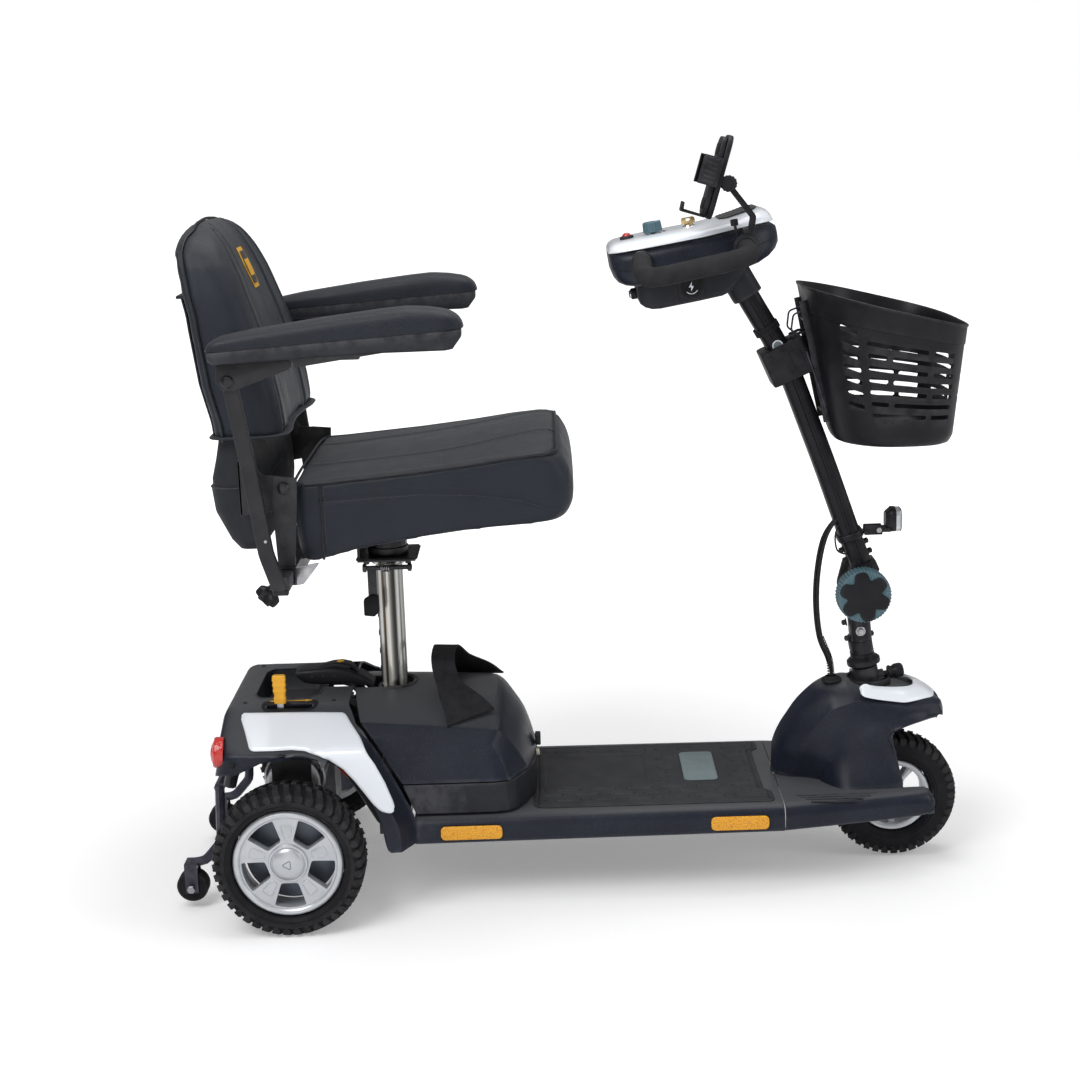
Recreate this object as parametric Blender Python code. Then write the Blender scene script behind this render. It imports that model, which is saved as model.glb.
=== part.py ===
"""Three-wheeled travel mobility scooter, modelled as separate named pieces.

+X is forward, +Y is left, +Z is up and the ground is z = 0. The dimensions below (metres) count x
from the rear axle; finish() shifts each piece so that the origin is the centre of the footprint.
"""

import math

import bmesh
import bpy
import numpy as np
from mathutils import Matrix, Vector

# ------------------------------------------------------------------ driving dimensions
FRAME_SHIFT = -0.4259        # rear axle's x in the finished frame
GAP = 0.0004                 # clearance kept between neighbours

REAR_RADIUS, REAR_WIDTH, REAR_HALF_TRACK = 0.1145, 0.072, 0.2333
FRONT_RADIUS, FRONT_WIDTH, FRONT_X = 0.1015, 0.058, 0.9428
REAR_RIM_RADIUS, FRONT_RIM_RADIUS = 0.0822, 0.0590
REAR_AXLE = (0.0, 0.0, REAR_RADIUS)
FRONT_AXLE = (FRONT_X, 0.0, FRONT_RADIUS)
DECK_TOP, DECK_BOTTOM = 0.1425, 0.1010
SEAM_X = 0.7520                                         # joint between the two footboards
POST_X, POST_RADIUS = 0.1495, 0.0210
STEER_LEAN = math.radians(10.0)
STEER_POINT = (0.9005, 0.0, 0.3050)                     # a point on the steering axis
TILT_X, TILT_Z = 0.8870, 0.4460                         # tiller fold axis, along Y
TILT = (TILT_X, 0.0, TILT_Z)
BACK_HINGE = (0.0240, 0.0, 0.6758)
ARM_Y = 0.2824
ARM_HINGE = (-0.0335, ARM_Y, 0.8416)

Y_AXIS = (0, 1, 0)
SIDES = (-1, 1)                                         # right, left
NAMED_SIDES = (("right", -1), ("left", 1))

scene = bpy.context.scene
for old in list(bpy.data.objects):
    bpy.data.objects.remove(old, do_unlink=True)


# ------------------------------------------------------------------ materials
def material(name, rgb, roughness, metallic=0.0):
    mat = bpy.data.materials.new(name)
    mat.use_nodes = True
    shader = mat.node_tree.nodes["Principled BSDF"]
    shader.inputs["Base Color"].default_value = (*rgb, 1.0)
    shader.inputs["Roughness"].default_value = roughness
    shader.inputs["Metallic"].default_value = metallic
    mat.diffuse_color = (*rgb, 1.0)
    return mat


PAINT = material("speckled_paint", rgb=(0.020, 0.023, 0.035), roughness=0.38)
TEXTURED = material("textured_plastic", rgb=(0.035, 0.036, 0.040), roughness=0.62)
WHITE = material("white_panel", rgb=(0.80, 0.83, 0.87), roughness=0.22)
RUBBER = material("rubber", rgb=(0.018, 0.018, 0.020), roughness=0.78)
FLOOR_RUBBER = material("floor_rubber", rgb=(0.030, 0.030, 0.032), roughness=0.72)
SILVER = material("silver_rim", rgb=(0.60, 0.62, 0.64), roughness=0.34, metallic=0.6)
STEEL = material("painted_steel", rgb=(0.025, 0.024, 0.034), roughness=0.36)
MACHINED = material("machined_metal", rgb=(0.42, 0.42, 0.43), roughness=0.34, metallic=1.0)
CHROME = material("chrome_post", rgb=(0.78, 0.78, 0.77), roughness=0.09, metallic=1.0)
RED_LENS = material("red_lens", rgb=(0.55, 0.012, 0.012), roughness=0.18)
YELLOW = material("yellow_grip", rgb=(0.90, 0.48, 0.01), roughness=0.5)
BATTERY = material("battery_case", rgb=(0.10, 0.11, 0.13), roughness=0.5)
WEBBING = material("strap", rgb=(0.028, 0.028, 0.032), roughness=0.7)
TEAL = material("teal_knob", rgb=(0.085, 0.150, 0.175), roughness=0.55)
FOAM = material("foam_grip", rgb=(0.038, 0.038, 0.040), roughness=0.8)
BLACK = material("black_plastic", rgb=(0.016, 0.016, 0.018), roughness=0.45)
BRASS = material("key_brass", rgb=(0.60, 0.45, 0.22), roughness=0.3, metallic=1.0)
RED_BUTTON = material("red_button", rgb=(0.62, 0.02, 0.015), roughness=0.3)
LAMP_BODY = material("headlight_body", rgb=(0.030, 0.030, 0.033), roughness=0.35)
VINYL = material("upholstery", rgb=(0.022, 0.025, 0.031), roughness=0.5)
ARM_VINYL = material("arm_pad", rgb=(0.020, 0.023, 0.029), roughness=0.48)


# ------------------------------------------------------------------ outlines and paths
def arc(cx, cy, radius, start, stop, step=30):
    """Points at whole degrees from start up to, but not including, stop."""
    return [(cx + radius * math.cos(math.radians(a)), cy + radius * math.sin(math.radians(a)))
            for a in range(start, stop, step)]


def turn(count):
    return [2 * math.pi * i / count for i in range(count)]


def circle(radius, count=12):
    return [(radius * math.cos(a), radius * math.sin(a)) for a in turn(count)]


def lobed(radius, depth, lobes, count):
    """Outline of a knob with rounded lobes; depth is half the depth of the hollows."""
    points = []
    for a in turn(count):
        r = radius - depth * (1 - math.cos(lobes * a))
        points.append((r * math.cos(a), r * math.sin(a)))
    return points


def round_rect(half_w, half_h, radius, steps=3):
    w, h = half_w - radius, half_h - radius
    points = []
    for cx, cy, start in ((w, h, 0), (-w, h, 90), (-w, -h, 180), (w, -h, 270)):
        points += arc(cx, cy, radius, start, start + 91, 90 // steps)
    return points


def moved(outline, x, z):
    return [(x + a, z + b) for a, b in outline]


def mirrored(half):
    """A closed (x, y) outline from its right half."""
    return half + [(x, -y) for x, y in reversed(half)]


def lookup(table, value):
    """Interpolates in a table of (position, result) rows."""
    return float(np.interp(value, *zip(*table)))


def rounded(points, radius, steps=4):
    """A polyline with its inner corners rounded."""
    points = [Vector(p) for p in points]
    path = [points[0]]
    for before, corner, after in zip(points, points[1:], points[2:]):
        back, ahead = (before - corner).normalized(), (after - corner).normalized()
        trim = min(radius / math.tan(back.angle(ahead) / 2),
                   0.48 * (before - corner).length, 0.48 * (after - corner).length)
        for i in range(steps + 1):
            t = i / steps
            path.append((corner + back * trim) * (1 - t) ** 2 + corner * 2 * t * (1 - t)
                        + (corner + ahead * trim) * t ** 2)
    path.append(points[-1])
    return path


# ------------------------------------------------------------------ solids
def loft(rings, closed=False):
    """A solid through rings of equal point count, with flat ends or closed on itself."""
    count, total = len(rings[0]), len(rings)
    faces = []
    if not closed:
        faces = [tuple(range(count - 1, -1, -1)),
                 tuple((total - 1) * count + i for i in range(count))]
    for k in range(total if closed else total - 1):
        this, following = k * count, (k + 1) % total * count
        for i in range(count):
            j = (i + 1) % count
            faces.append((this + i, this + j, following + j, following + i))
    mesh = bpy.data.meshes.new("part")
    mesh.from_pydata([tuple(p) for ring in rings for p in ring], [], faces)
    bm = bmesh.new()
    bm.from_mesh(mesh)
    bmesh.ops.recalc_face_normals(bm, faces=bm.faces)
    bm.to_mesh(mesh)
    bm.free()
    ob = bpy.data.objects.new("part", mesh)
    scene.collection.objects.link(ob)
    return ob


def frame_to(origin, axis):
    """Matrix that carries +Z to axis and the origin to a point."""
    turn_to = Vector((0, 0, 1)).rotation_difference(Vector(axis).normalized())
    return Matrix.Translation(Vector(origin)) @ turn_to.to_matrix().to_4x4()


def lathe(profile, origin, axis, segs):
    """Solid of revolution through (radius, height) stations, with flat ends."""
    place = frame_to(origin, axis)
    return loft([[place @ Vector((r * math.cos(a), r * math.sin(a), h)) for a in turn(segs)]
                 for r, h in profile])


def lathe_ring(profile, origin, axis, segs):
    """Revolved closed profile that stays off the axis, such as a tyre."""
    place = frame_to(origin, axis)
    return loft([[place @ Vector((r * math.cos(a), r * math.sin(a), h)) for r, h in profile]
                 for a in turn(segs)], closed=True)


def cyl(start, end, radius, segs=16, end_radius=None):
    """Cylinder or cone between two points."""
    axis = Vector(end) - Vector(start)
    end_radius = radius if end_radius is None else end_radius
    return lathe([(radius, 0.0), (end_radius, axis.length)], start, axis, segs)


def cyl_y(centre, y0, y1, radius, segs=16):
    """Cylinder along Y; only the x and z of centre count."""
    y0, y1 = sorted((y0, y1))
    return cyl((centre[0], y0, centre[2]), (centre[0], y1, centre[2]), radius, segs)


def prism_x(outline, x0, x1):
    """A polygon of (y, z) points, extruded along X."""
    return loft([[(x, y, z) for y, z in outline] for x in (x0, x1)])


def prism_y(outline, y0, y1):
    """A polygon of (x, z) points, extruded along Y."""
    return loft([[(x, y, z) for x, z in outline] for y in sorted((y0, y1))])


def prism_z(outline, z0, z1):
    """A polygon of (x, y) points, extruded along Z."""
    return loft([[(x, y, z) for x, y in outline] for z in (z0, z1)])


def box(corner, opposite):
    x0, y0, z0 = corner
    x1, y1, z1 = opposite
    y0, y1 = sorted((y0, y1))
    return prism_z([(x0, y0), (x1, y0), (x1, y1), (x0, y1)], z0, z1)


def tube(path, section, up=Y_AXIS):
    """Sweep of a section along a path, mitred at its bends; up is the section's first axis."""
    path = [Vector(p) for p in path]
    legs = [(b - a).normalized() for a, b in zip(path, path[1:])]
    across = Vector(up)
    rings = []
    for k, point in enumerate(path):
        before, after = legs[max(k - 1, 0)], legs[min(k, len(legs) - 1)]
        tangent = (before + after).normalized()
        across = (across - tangent * across.dot(tangent)).normalized()
        other = tangent.cross(across)
        bend = (after - before).normalized()
        stretch = 1.0 / max(0.5, before.dot(tangent)) - 1.0
        offsets = [across * a + other * b for a, b in section]
        rings.append([point + off + bend * (stretch * off.dot(bend)) for off in offsets])
    return loft(rings)


def combine(ob, others, operation):
    """Boolean of ob with each of others, which are used up."""
    for other in others:
        mod = ob.modifiers.new("b", "BOOLEAN")
        mod.operation = operation
        mod.solver = "EXACT"
        mod.object = other
        bpy.context.view_layer.update()
        graph = bpy.context.evaluated_depsgraph_get()
        result = bpy.data.meshes.new_from_object(ob.evaluated_get(graph))
        before = ob.data
        ob.modifiers.clear()
        ob.data = result
        bpy.data.meshes.remove(before)
        bpy.data.objects.remove(other, do_unlink=True)


def cut(ob, *others):
    combine(ob, others, "DIFFERENCE")


def join(ob, *others):
    combine(ob, others, "UNION")


def finish(name, ob, mat, at=(0, 0, 0)):
    """Names a finished piece, gives it its material and puts its origin on its joint."""
    ob.name = name
    ob.data.materials.clear()
    ob.data.materials.append(mat)
    ob.data.transform(Matrix.Translation(-Vector(at)))
    ob.location = Vector(at) + Vector((FRAME_SHIFT, 0, 0))
    ob.data.shade_smooth()
    ob.data.set_sharp_from_angle(angle=math.radians(35))


# ================================================================== wheels
def tyre(name, centre, radius, width, rim, segs):
    """Carcass with squared shoulders; the flats of its bore clear the round rim."""
    half = width / 2
    bore = (rim + 0.0006) / math.cos(math.pi / segs)
    # (radius, offset) from the bore to the tread
    flank = [(bore, half * 0.62), (rim + 0.010, half * 0.98), (radius - 0.012, half),
             (radius - 0.0035, half * 0.72), (radius, half * 0.25)]
    profile = [(r, -h) for r, h in flank] + flank[::-1]
    finish(name, lathe_ring(profile, centre, Y_AXIS, segs), RUBBER, centre)


def spokes(centre, outward, start, stations):
    """Five spokes through (radius, half width, inboard offset, outboard offset) stations."""
    parts = []
    for k in range(5):
        a = math.radians(start + 72 * k)
        radial = Vector((math.cos(a), 0, math.sin(a)))
        across = Vector((-math.sin(a), 0, math.cos(a)))
        parts.append(loft([[
            Vector(centre) + Vector((0, outward * off, 0)) + radial * radius + across * w
            for w, off in ((-half, near), (half, near), (half, far), (-half, far))]
            for radius, half, near, far in stations]))
    return parts


def rear_rim(name, side):
    """Five-spoke rim with a half shaft that runs into the transaxle."""
    y, radius = side * REAR_HALF_TRACK, REAR_RIM_RADIUS
    centre, outward = (0, y, REAR_RADIUS), (0, side, 0)
    rim = lathe_ring([(radius, -0.021), (radius, 0.021), (radius - 0.004, 0.027),
                      (radius - 0.014, 0.026), (radius - 0.016, 0.020), (radius - 0.010, -0.021)],
                     centre, outward, 24)
    hub = lathe([(0.0265, -0.016), (0.0265, 0.022), (0.021, 0.027), (0.010, 0.0295)],
                centre, outward, 16)
    shaft = cyl_y(centre, y - side * 0.010, y - side * 0.130, 0.0080, 10)
    join(rim, *spokes(centre, side, 90, [(0.020, 0.0105, 0.004, 0.0215),
                                         (radius - 0.0115, 0.0180, 0.008, 0.0235)]), hub, shaft)
    finish(name, rim, SILVER, centre)


for label, side in NAMED_SIDES:
    tyre(f"rear_tyre_{label}", (0.0, side * REAR_HALF_TRACK, REAR_RADIUS), REAR_RADIUS,
         REAR_WIDTH, REAR_RIM_RADIUS, 24)
    rear_rim(f"rear_rim_{label}", side)

tyre("front_tyre", FRONT_AXLE, FRONT_RADIUS, FRONT_WIDTH, FRONT_RIM_RADIUS, 20)
flange_radius, well_radius = FRONT_RIM_RADIUS - 0.009, FRONT_RIM_RADIUS - 0.010
front_rim = lathe_ring([(FRONT_RIM_RADIUS, -0.016), (FRONT_RIM_RADIUS, 0.016),
                        (flange_radius, 0.019), (well_radius, 0.013),
                        (well_radius, -0.013), (flange_radius, -0.019)], FRONT_AXLE, Y_AXIS, 20)
join(front_rim, *spokes(FRONT_AXLE, 1, 54, [(0.012, 0.004, -0.009, 0.009),
                                            (FRONT_RIM_RADIUS - 0.006, 0.0035, -0.009, 0.009)]),
     cyl_y(FRONT_AXLE, -0.024, 0.024, 0.016, 12))
cut(front_rim, cyl_y(FRONT_AXLE, -0.03, 0.03, 0.0068, 12))
finish("front_rim", front_rim, SILVER, FRONT_AXLE)

# ================================================================== rear section
AXLE_TUBE_RADIUS = 0.0170
MOTOR_Z = 0.205
RAIL_Y = 0.164
HOOP_TOP = 0.268
LEVER_X, LEVER_Y, LEVER_Z = -0.0180, -0.1150, 0.2640     # freewheel lever's stud

# transaxle: axle tube with a gear case that reaches up to the motor
transaxle = cyl_y(REAR_AXLE, -0.186, 0.186, AXLE_TUBE_RADIUS)
join(transaxle, prism_y(arc(0, REAR_RADIUS, 0.047, 180, 361) + arc(0, MOTOR_Z, 0.046, 0, 181),
                        -0.018, 0.052))
cut(transaxle, *[cyl_y(REAR_AXLE, side * 0.070, side * 0.2, 0.0088, 14) for side in SIDES])
finish("transaxle", transaxle, MACHINED)

motor = lathe([(0.030, -0.152), (0.038, -0.148), (0.044, -0.140), (0.044, -0.030),
               (0.040, -0.0186)], (0, 0, MOTOR_Z), Y_AXIS, 20)
finish("drive_motor", motor, MACHINED)

# steel weldment: hoops over the axle, saddle plates, cross tube, cross plate, seat-post socket
weldment = []
for side in SIDES:
    y = side * RAIL_Y
    weldment += [
        tube(rounded([(-0.096, y, 0.205), (-0.078, y, HOOP_TOP), (0.066, y, HOOP_TOP),
                      (0.140, y * 0.86, 0.122), (0.186, y * 0.80, 0.122)], 0.03, 2),
             circle(0.0100, 8)),
        box((-0.030, y - 0.0035, REAR_RADIUS - 0.030), (0.030, y + 0.0035, HOOP_TOP))]
rear_frame = weldment[0]
join(rear_frame, *weldment[1:],
     cyl_y((-0.0945, 0, 0.213), -RAIL_Y, RAIL_Y, 0.0090, 8),
     cyl_y((LEVER_X, 0, LEVER_Z), -RAIL_Y, -0.1090, 0.0041, 10),
     box((POST_X - 0.022, -0.146, 0.112), (POST_X + 0.022, 0.146, 0.130)),
     cyl((POST_X, 0, 0.106), (POST_X, 0, 0.3080), 0.0268))
cut(rear_frame, cyl((POST_X, 0, 0.095), (POST_X, 0, 0.32), POST_RADIUS + 0.0011),
    cyl_y(REAR_AXLE, -0.2, 0.2, AXLE_TUBE_RADIUS + 0.0012))
finish("rear_frame", rear_frame, STEEL)

# anti-tip bracket: a crossbar with two lugs behind the frame, and arms down to the rollers
ANTI_X, ANTI_Y, ANTI_Z, ANTI_RADIUS = -0.168, 0.140, 0.036, 0.0245     # rollers
CROSSBAR_X = -0.1160
bracket = cyl_y((CROSSBAR_X, 0, 0.195), -ANTI_Y - 0.004, ANTI_Y + 0.004, 0.0085, 8)
for side in SIDES:
    y = side * ANTI_Y
    arm = tube(rounded([(CROSSBAR_X, y, 0.198), (CROSSBAR_X - 0.004, y, 0.105),
                        (-0.146, y, 0.0750), (ANTI_X, y, 0.0725)], 0.02, 2), circle(0.0075, 8))
    fork_plates = [box((ANTI_X - 0.010, y + t * 0.0135 - 0.0015, ANTI_Z - 0.009),
                       (ANTI_X + 0.010, y + t * 0.0135 + 0.0015, 0.074)) for t in SIDES]
    fork_top = box((ANTI_X - 0.010, y - 0.0145, 0.0660), (ANTI_X + 0.010, y + 0.0145, 0.0745))
    pin = cyl_y((ANTI_X, 0, ANTI_Z), y - 0.0140, y + 0.0140, 0.0040, 10)
    lug = box((-0.1180, side * 0.06 - 0.010, 0.192), (-0.1041, side * 0.06 + 0.010, 0.218))
    join(bracket, arm, *fork_plates, fork_top, pin, lug)
finish("anti_tip_bracket", bracket, STEEL)

for label, side in NAMED_SIDES:
    centre = (ANTI_X, side * ANTI_Y, ANTI_Z)
    roller = lathe([(ANTI_RADIUS - 0.003, -0.0105), (ANTI_RADIUS, -0.007), (ANTI_RADIUS, 0.007),
                    (ANTI_RADIUS - 0.003, 0.0105)], centre, Y_AXIS, 18)
    cut(roller, cyl_y(centre, centre[1] - 0.02, centre[1] + 0.02, 0.0046, 10))
    finish(f"anti_tip_wheel_{label}", roller, RUBBER, centre)

# ================================================================== rear shroud
SHROUD_TOP = 0.3150
SHROUD_HALF_WIDTH = 0.2080
SHROUD_WALL = 0.0035
SHOULDER_Y, SHOULDER_Z = 0.1250, 0.3095     # where the slanted side shoulders start
SHOULDER_FALL = 0.519                       # their fall, z per y

# (x, z) side outline: up the rear, along the top, down the front, back along the wheel arch
SHROUD_OUTLINE = [
    (-0.1140, 0.2280), (-0.1100, 0.2620), (-0.1085, 0.2900), (-0.1050, 0.3040),
    (-0.0980, 0.3115), (-0.0880, SHROUD_TOP), (0.0860, SHROUD_TOP), (0.0945, 0.3060),
    (0.1040, 0.2900), (0.1350, 0.2560), (0.1640, 0.1930), (0.1710, 0.1500), (0.1680, 0.1080),
    (0.1484, 0.1060), (0.1420, 0.1140), (0.1370, 0.1489), (0.1215, 0.1902), (0.0945, 0.2308),
    (0.0590, 0.2560), (0.0296, 0.2640), (-0.0140, 0.2630), (-0.0515, 0.2480),
    (-0.0720, 0.2390)]
# (x before the wall is taken off the front and rear, z) of the hollow, open at the bottom
T = SHROUD_WALL
HOLLOW_OUTLINE = [
    (-0.1300, 0.2000), (-0.1140 + T, 0.2280), (-0.1100 + T, 0.2620), (-0.1085 + T, 0.2900),
    (-0.1010, 0.3030), (-0.0950, 0.3085), (-0.0880, SHROUD_TOP - T), (0.0840, SHROUD_TOP - T),
    (0.0925 - T, 0.3040), (0.1020 - T, 0.2880), (0.1330 - T, 0.2550), (0.1620 - T, 0.1930),
    (0.1690 - T, 0.1500), (0.1660 - T, 0.1000), (0.1000, 0.0900), (-0.1300, 0.1000)]


def shoulder_cutter(side, crown_y, edge_y, drop):
    """Everything above one slanted shoulder, lowered by drop."""
    return prism_x([(side * crown_y, 0.3200), (side * crown_y, SHROUD_TOP - drop),
                    (side * edge_y, SHOULDER_Z - drop),
                    (side * 0.2400, SHOULDER_Z - drop - SHOULDER_FALL * (0.2400 - edge_y)),
                    (side * 0.2400, 0.3200)], -0.2, 0.25)


shroud = prism_y(SHROUD_OUTLINE, -SHROUD_HALF_WIDTH, SHROUD_HALF_WIDTH)
hollow = prism_y(HOLLOW_OUTLINE, -SHROUD_HALF_WIDTH + T, SHROUD_HALF_WIDTH - T)
for side in SIDES:
    cut(shroud, shoulder_cutter(side, 0.1080, SHOULDER_Y, 0.0))
    cut(hollow, shoulder_cutter(side, 0.1065, SHOULDER_Y - 0.001, T))
cut(shroud, hollow)
# open at the front between the wheels, where the battery pack closes it
cut(shroud, prism_x([(-0.1680, 0.08), (0.1680, 0.08), (0.1680, 0.2830), (0.1235, 0.3058),
                     (0.1060, SHROUD_TOP - T), (-0.1060, SHROUD_TOP - T), (-0.1235, 0.3058),
                     (-0.1680, 0.2830)], 0.050, 0.25))
# slots for the freewheel lever on the right and the latch handle in the middle
cut(shroud, box((-0.0400, -0.1215, 0.295), (0.0310, -0.1080, 0.33)),
    box((-0.0120, -0.0260, 0.295), (0.1000, 0.0260, 0.33)))
finish("rear_shroud", shroud, PAINT)

# glossy side panels on the shoulders, running down the fenders; (x, z) outlines
FENDER_PANEL = [
    (-0.0510, 0.2690), (-0.0500, 0.2660), (0.0282, 0.2650), (0.0644, 0.2560), (0.0999, 0.2250),
    (0.1271, 0.1895), (0.1446, 0.1755), (0.1560, 0.1750), (0.1565, 0.1810), (0.1304, 0.2480),
    (0.1210, 0.2690)]
SHOULDER_PANEL = [(-0.0745, 0.3065), (0.0840, 0.3040), (0.0960, 0.2950), (0.1180, 0.2720),
                  (0.1230, 0.2655), (-0.0500, 0.2655)]


def shoulder_panel(side):
    rings = []
    for t in (0.0, 0.0032):
        rings.append([(x, side * (SHOULDER_Y + (SHOULDER_Z - z) / SHOULDER_FALL + 0.0014
                                  + 0.5 * t), z + 0.9 * t) for x, z in SHOULDER_PANEL])
    return loft(rings)


for label, side in NAMED_SIDES:
    y = SHROUD_HALF_WIDTH + GAP
    panel = prism_y(FENDER_PANEL, side * y, side * (y + 0.0030))
    join(panel, shoulder_panel(side))
    finish(f"trim_panel_{label}", panel, WHITE)

    lamp_tilt = math.radians(9)
    lamp = lathe([(0.0200, 0.0008), (0.0200, 0.0060), (0.0150, 0.0105)],
                 (-0.1118, side * 0.1830, 0.2650),
                 (-math.cos(lamp_tilt), 0, math.sin(lamp_tilt)), 18)
    finish(f"tail_lamp_{label}", lamp, RED_LENS)

# freewheel lever: flat bar with a grip, and an eye on the frame's stud
lever_at = (LEVER_X, LEVER_Y, LEVER_Z)
lever = box((LEVER_X - 0.0055, LEVER_Y - 0.0016, LEVER_Z),
            (LEVER_X + 0.0055, LEVER_Y + 0.0016, 0.3300))
grip = loft([[(x, y, z) for x, y in moved(round_rect(half, 0.0065, 0.003, 2), LEVER_X, LEVER_Y)]
             for z, half in ((0.3185, 0.0125), (0.3550, 0.0135), (0.3640, 0.0120))])
join(lever, grip, cyl_y(lever_at, LEVER_Y - 0.0022, LEVER_Y + 0.0022, 0.0085, 14))
cut(lever, cyl_y(lever_at, LEVER_Y - 0.01, LEVER_Y + 0.01, 0.0048, 12))
finish("freewheel_lever", lever, YELLOW, lever_at)

# latch handle on top of the rear shroud; (x, z) side outline
LATCH_OUTLINE = [
    (-0.0060, 0.3300), (0.0040, 0.3215), (0.0120, 0.3170), (0.0800, 0.3160), (0.1060, 0.3105),
    (0.1180, 0.3095), (0.1180, 0.3170), (0.0980, 0.3310), (0.0850, 0.3420), (0.0710, 0.3500),
    (0.0560, 0.3490), (0.0350, 0.3420), (-0.0060, 0.3390)]
finish("latch_handle", prism_y(LATCH_OUTLINE, -0.0225, 0.0225), BLACK, (-0.0020, 0, 0.3350))

# ================================================================== battery pack
POST_SLOT = 0.0310                          # half width of the slot round the seat post
PACK_CHAMFER = 0.030
SPLIT_Z = 0.1962                            # joint between cover and tray
PACK_ORIGIN = (0.26, 0, SPLIT_Z)
# (z, x) of the joint between the rear shroud and the pack
PACK_SEAM = [(0.1010, 0.1880), (0.1475, 0.1860), (0.2272, 0.1512), (0.2893, 0.1072),
             (0.3180, 0.0975), (0.3600, 0.0900)]


def pack_ring(z, half, front, inset=0.0):
    """Plan section of the pack: straight rear edge on the seam, chamfered front corners."""
    rear = lookup(PACK_SEAM, z) + 0.0012 + inset
    front -= inset
    half -= inset
    right = [(rear, -half), (front - PACK_CHAMFER, -half),
             (front - PACK_CHAMFER * 0.25, -half + PACK_CHAMFER * 0.9)]
    outline = right + [(front, 0.0)] + [(x, -y) for x, y in reversed(right)]
    return [(x, y, z) for x, y in outline]


def post_slot(z0, z1, wall=0.0):
    """Round-ended slot for the seat post, open to the rear."""
    half, length = POST_SLOT + wall, POST_SLOT * 1.1 + wall
    nose = [(POST_X + length * x, half * y) for x, y in arc(0, 0, 1, -90, 91)]
    return prism_z([(0.02, -half)] + nose + [(0.02, half)], z0, z1)


# stations: z, half width, front x
cover = loft([pack_ring(*station) for station in (
    (SPLIT_Z, 0.1585, 0.3745), (0.2100, 0.1560, 0.3705), (0.2660, 0.1340, 0.3450),
    (0.2860, 0.1210, 0.3330), (0.3100, 0.0900, 0.3080))])
hollow = loft([pack_ring(*station, inset=0.004) for station in (
    (SPLIT_Z - 0.01, 0.1585, 0.3755), (0.2100, 0.1560, 0.3705), (0.2660, 0.1340, 0.3450),
    (0.3050, 0.0935, 0.3110))])
cut(hollow, post_slot(0.15, 0.34, wall=0.003))
cut(cover, hollow)
cut(cover, post_slot(0.15, 0.36))
finish("battery_cover", cover, PAINT, PACK_ORIGIN)

tray = loft([pack_ring(0.1455, 0.1540, 0.3580), pack_ring(SPLIT_Z - GAP, 0.1580, 0.3735)])
cut(tray, box((0.2020, -0.140, 0.1495), (0.3400, 0.140, 0.22)))
cut(tray, post_slot(0.12, 0.36))
finish("battery_tray", tray, TEXTURED, PACK_ORIGIN)

cells = box((0.2060, -0.1150, 0.1500), (0.3190, 0.1150, 0.2480))
finish("battery_cells", cells, BATTERY, PACK_ORIGIN)

# carrying strap: a broad band bent over the cover; left half as x, y, z, half width
STRAP_HALF = [(0.2735, 0.1165, 0.2958, 0.040), (0.2600, 0.0900, 0.3220, 0.032),
              (0.2320, 0.0560, 0.3520, 0.021), (0.2270, 0.0400, 0.3560, 0.020)]
stations = [(x, -y, z, half) for x, y, z, half in STRAP_HALF] + STRAP_HALF[::-1]
points = [Vector(station[:3]) for station in stations]
rings = []
for k, point in enumerate(points):
    tangent = (points[min(k + 1, len(points) - 1)] - points[max(k - 1, 0)]).normalized()
    across = Vector((1, 0, 0))
    across = (across - tangent * across.dot(tangent)).normalized()
    thick = tangent.cross(across) * 0.0015
    wide = across * stations[k][3]
    rings.append([point + wide + thick, point - wide + thick,
                  point - wide - thick, point + wide - thick])
finish("battery_strap", loft(rings), WEBBING, PACK_ORIGIN)

# ================================================================== footboards
DECK_HALF_WIDTHS = [(0.19, 0.1690), (0.75, 0.1610), (0.99, 0.1250)]     # x, half width
DECK_SKIN = 0.0035


def deck_section(x, top=DECK_TOP, bottom=DECK_BOTTOM, inset=0.0):
    half = lookup(DECK_HALF_WIDTHS, x) - inset
    top -= inset
    return [(x, -half, bottom), (x, half, bottom), (x, half, bottom + 0.026),
            (x, half - 0.004, top - 0.006), (x, half - 0.014, top), (x, -half + 0.014, top),
            (x, -half + 0.004, top - 0.006), (x, -half, bottom + 0.026)]


main_deck = loft([deck_section(x) for x in (0.1885, SEAM_X - 0.0005)])
cut(main_deck, loft([deck_section(x, bottom=DECK_BOTTOM - 0.02, inset=DECK_SKIN)
                     for x in (0.1840, SEAM_X + 0.004)]))
finish("footboard_main", main_deck, PAINT)

mat_outline = []
for cx, cy, start in ((0.7180, 0.1170, 0), (0.3950, 0.1200, 90), (0.3950, -0.1200, 180),
                      (0.7180, -0.1170, 270)):
    mat_outline += arc(cx, cy, 0.020, start, start + 91)
finish("floor_mat", prism_z(mat_outline, DECK_TOP + GAP, DECK_TOP + 0.0024), FLOOR_RUBBER)

# stations: x, rise of the top, bottom
front_deck = loft([deck_section(x, top=DECK_TOP + rise, bottom=bottom) for x, rise, bottom in (
    (SEAM_X + 0.0005, 0.0, 0.1015), (0.90, 0.0015, 0.1040), (0.9700, 0.0030, 0.1065),
    (0.9880, -0.0120, 0.1120))])
cut(front_deck, loft([deck_section(x, top=DECK_TOP + rise, bottom=0.08, inset=DECK_SKIN)
                      for x, rise in ((SEAM_X - 0.004, 0.0), (0.90, 0.0015), (0.9660, 0.0020))]))
# openings for the front wheel and for the frame's neck
cut(front_deck, prism_z(mirrored([(0.826, -0.060), (0.850, -0.1005), (1.05, -0.1005)]),
                        0.05, 0.2))
cut(front_deck, box((0.7545, -0.0200, 0.05), (0.8180, 0.0200, 0.2)))
finish("footboard_front", front_deck, PAINT)


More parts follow.
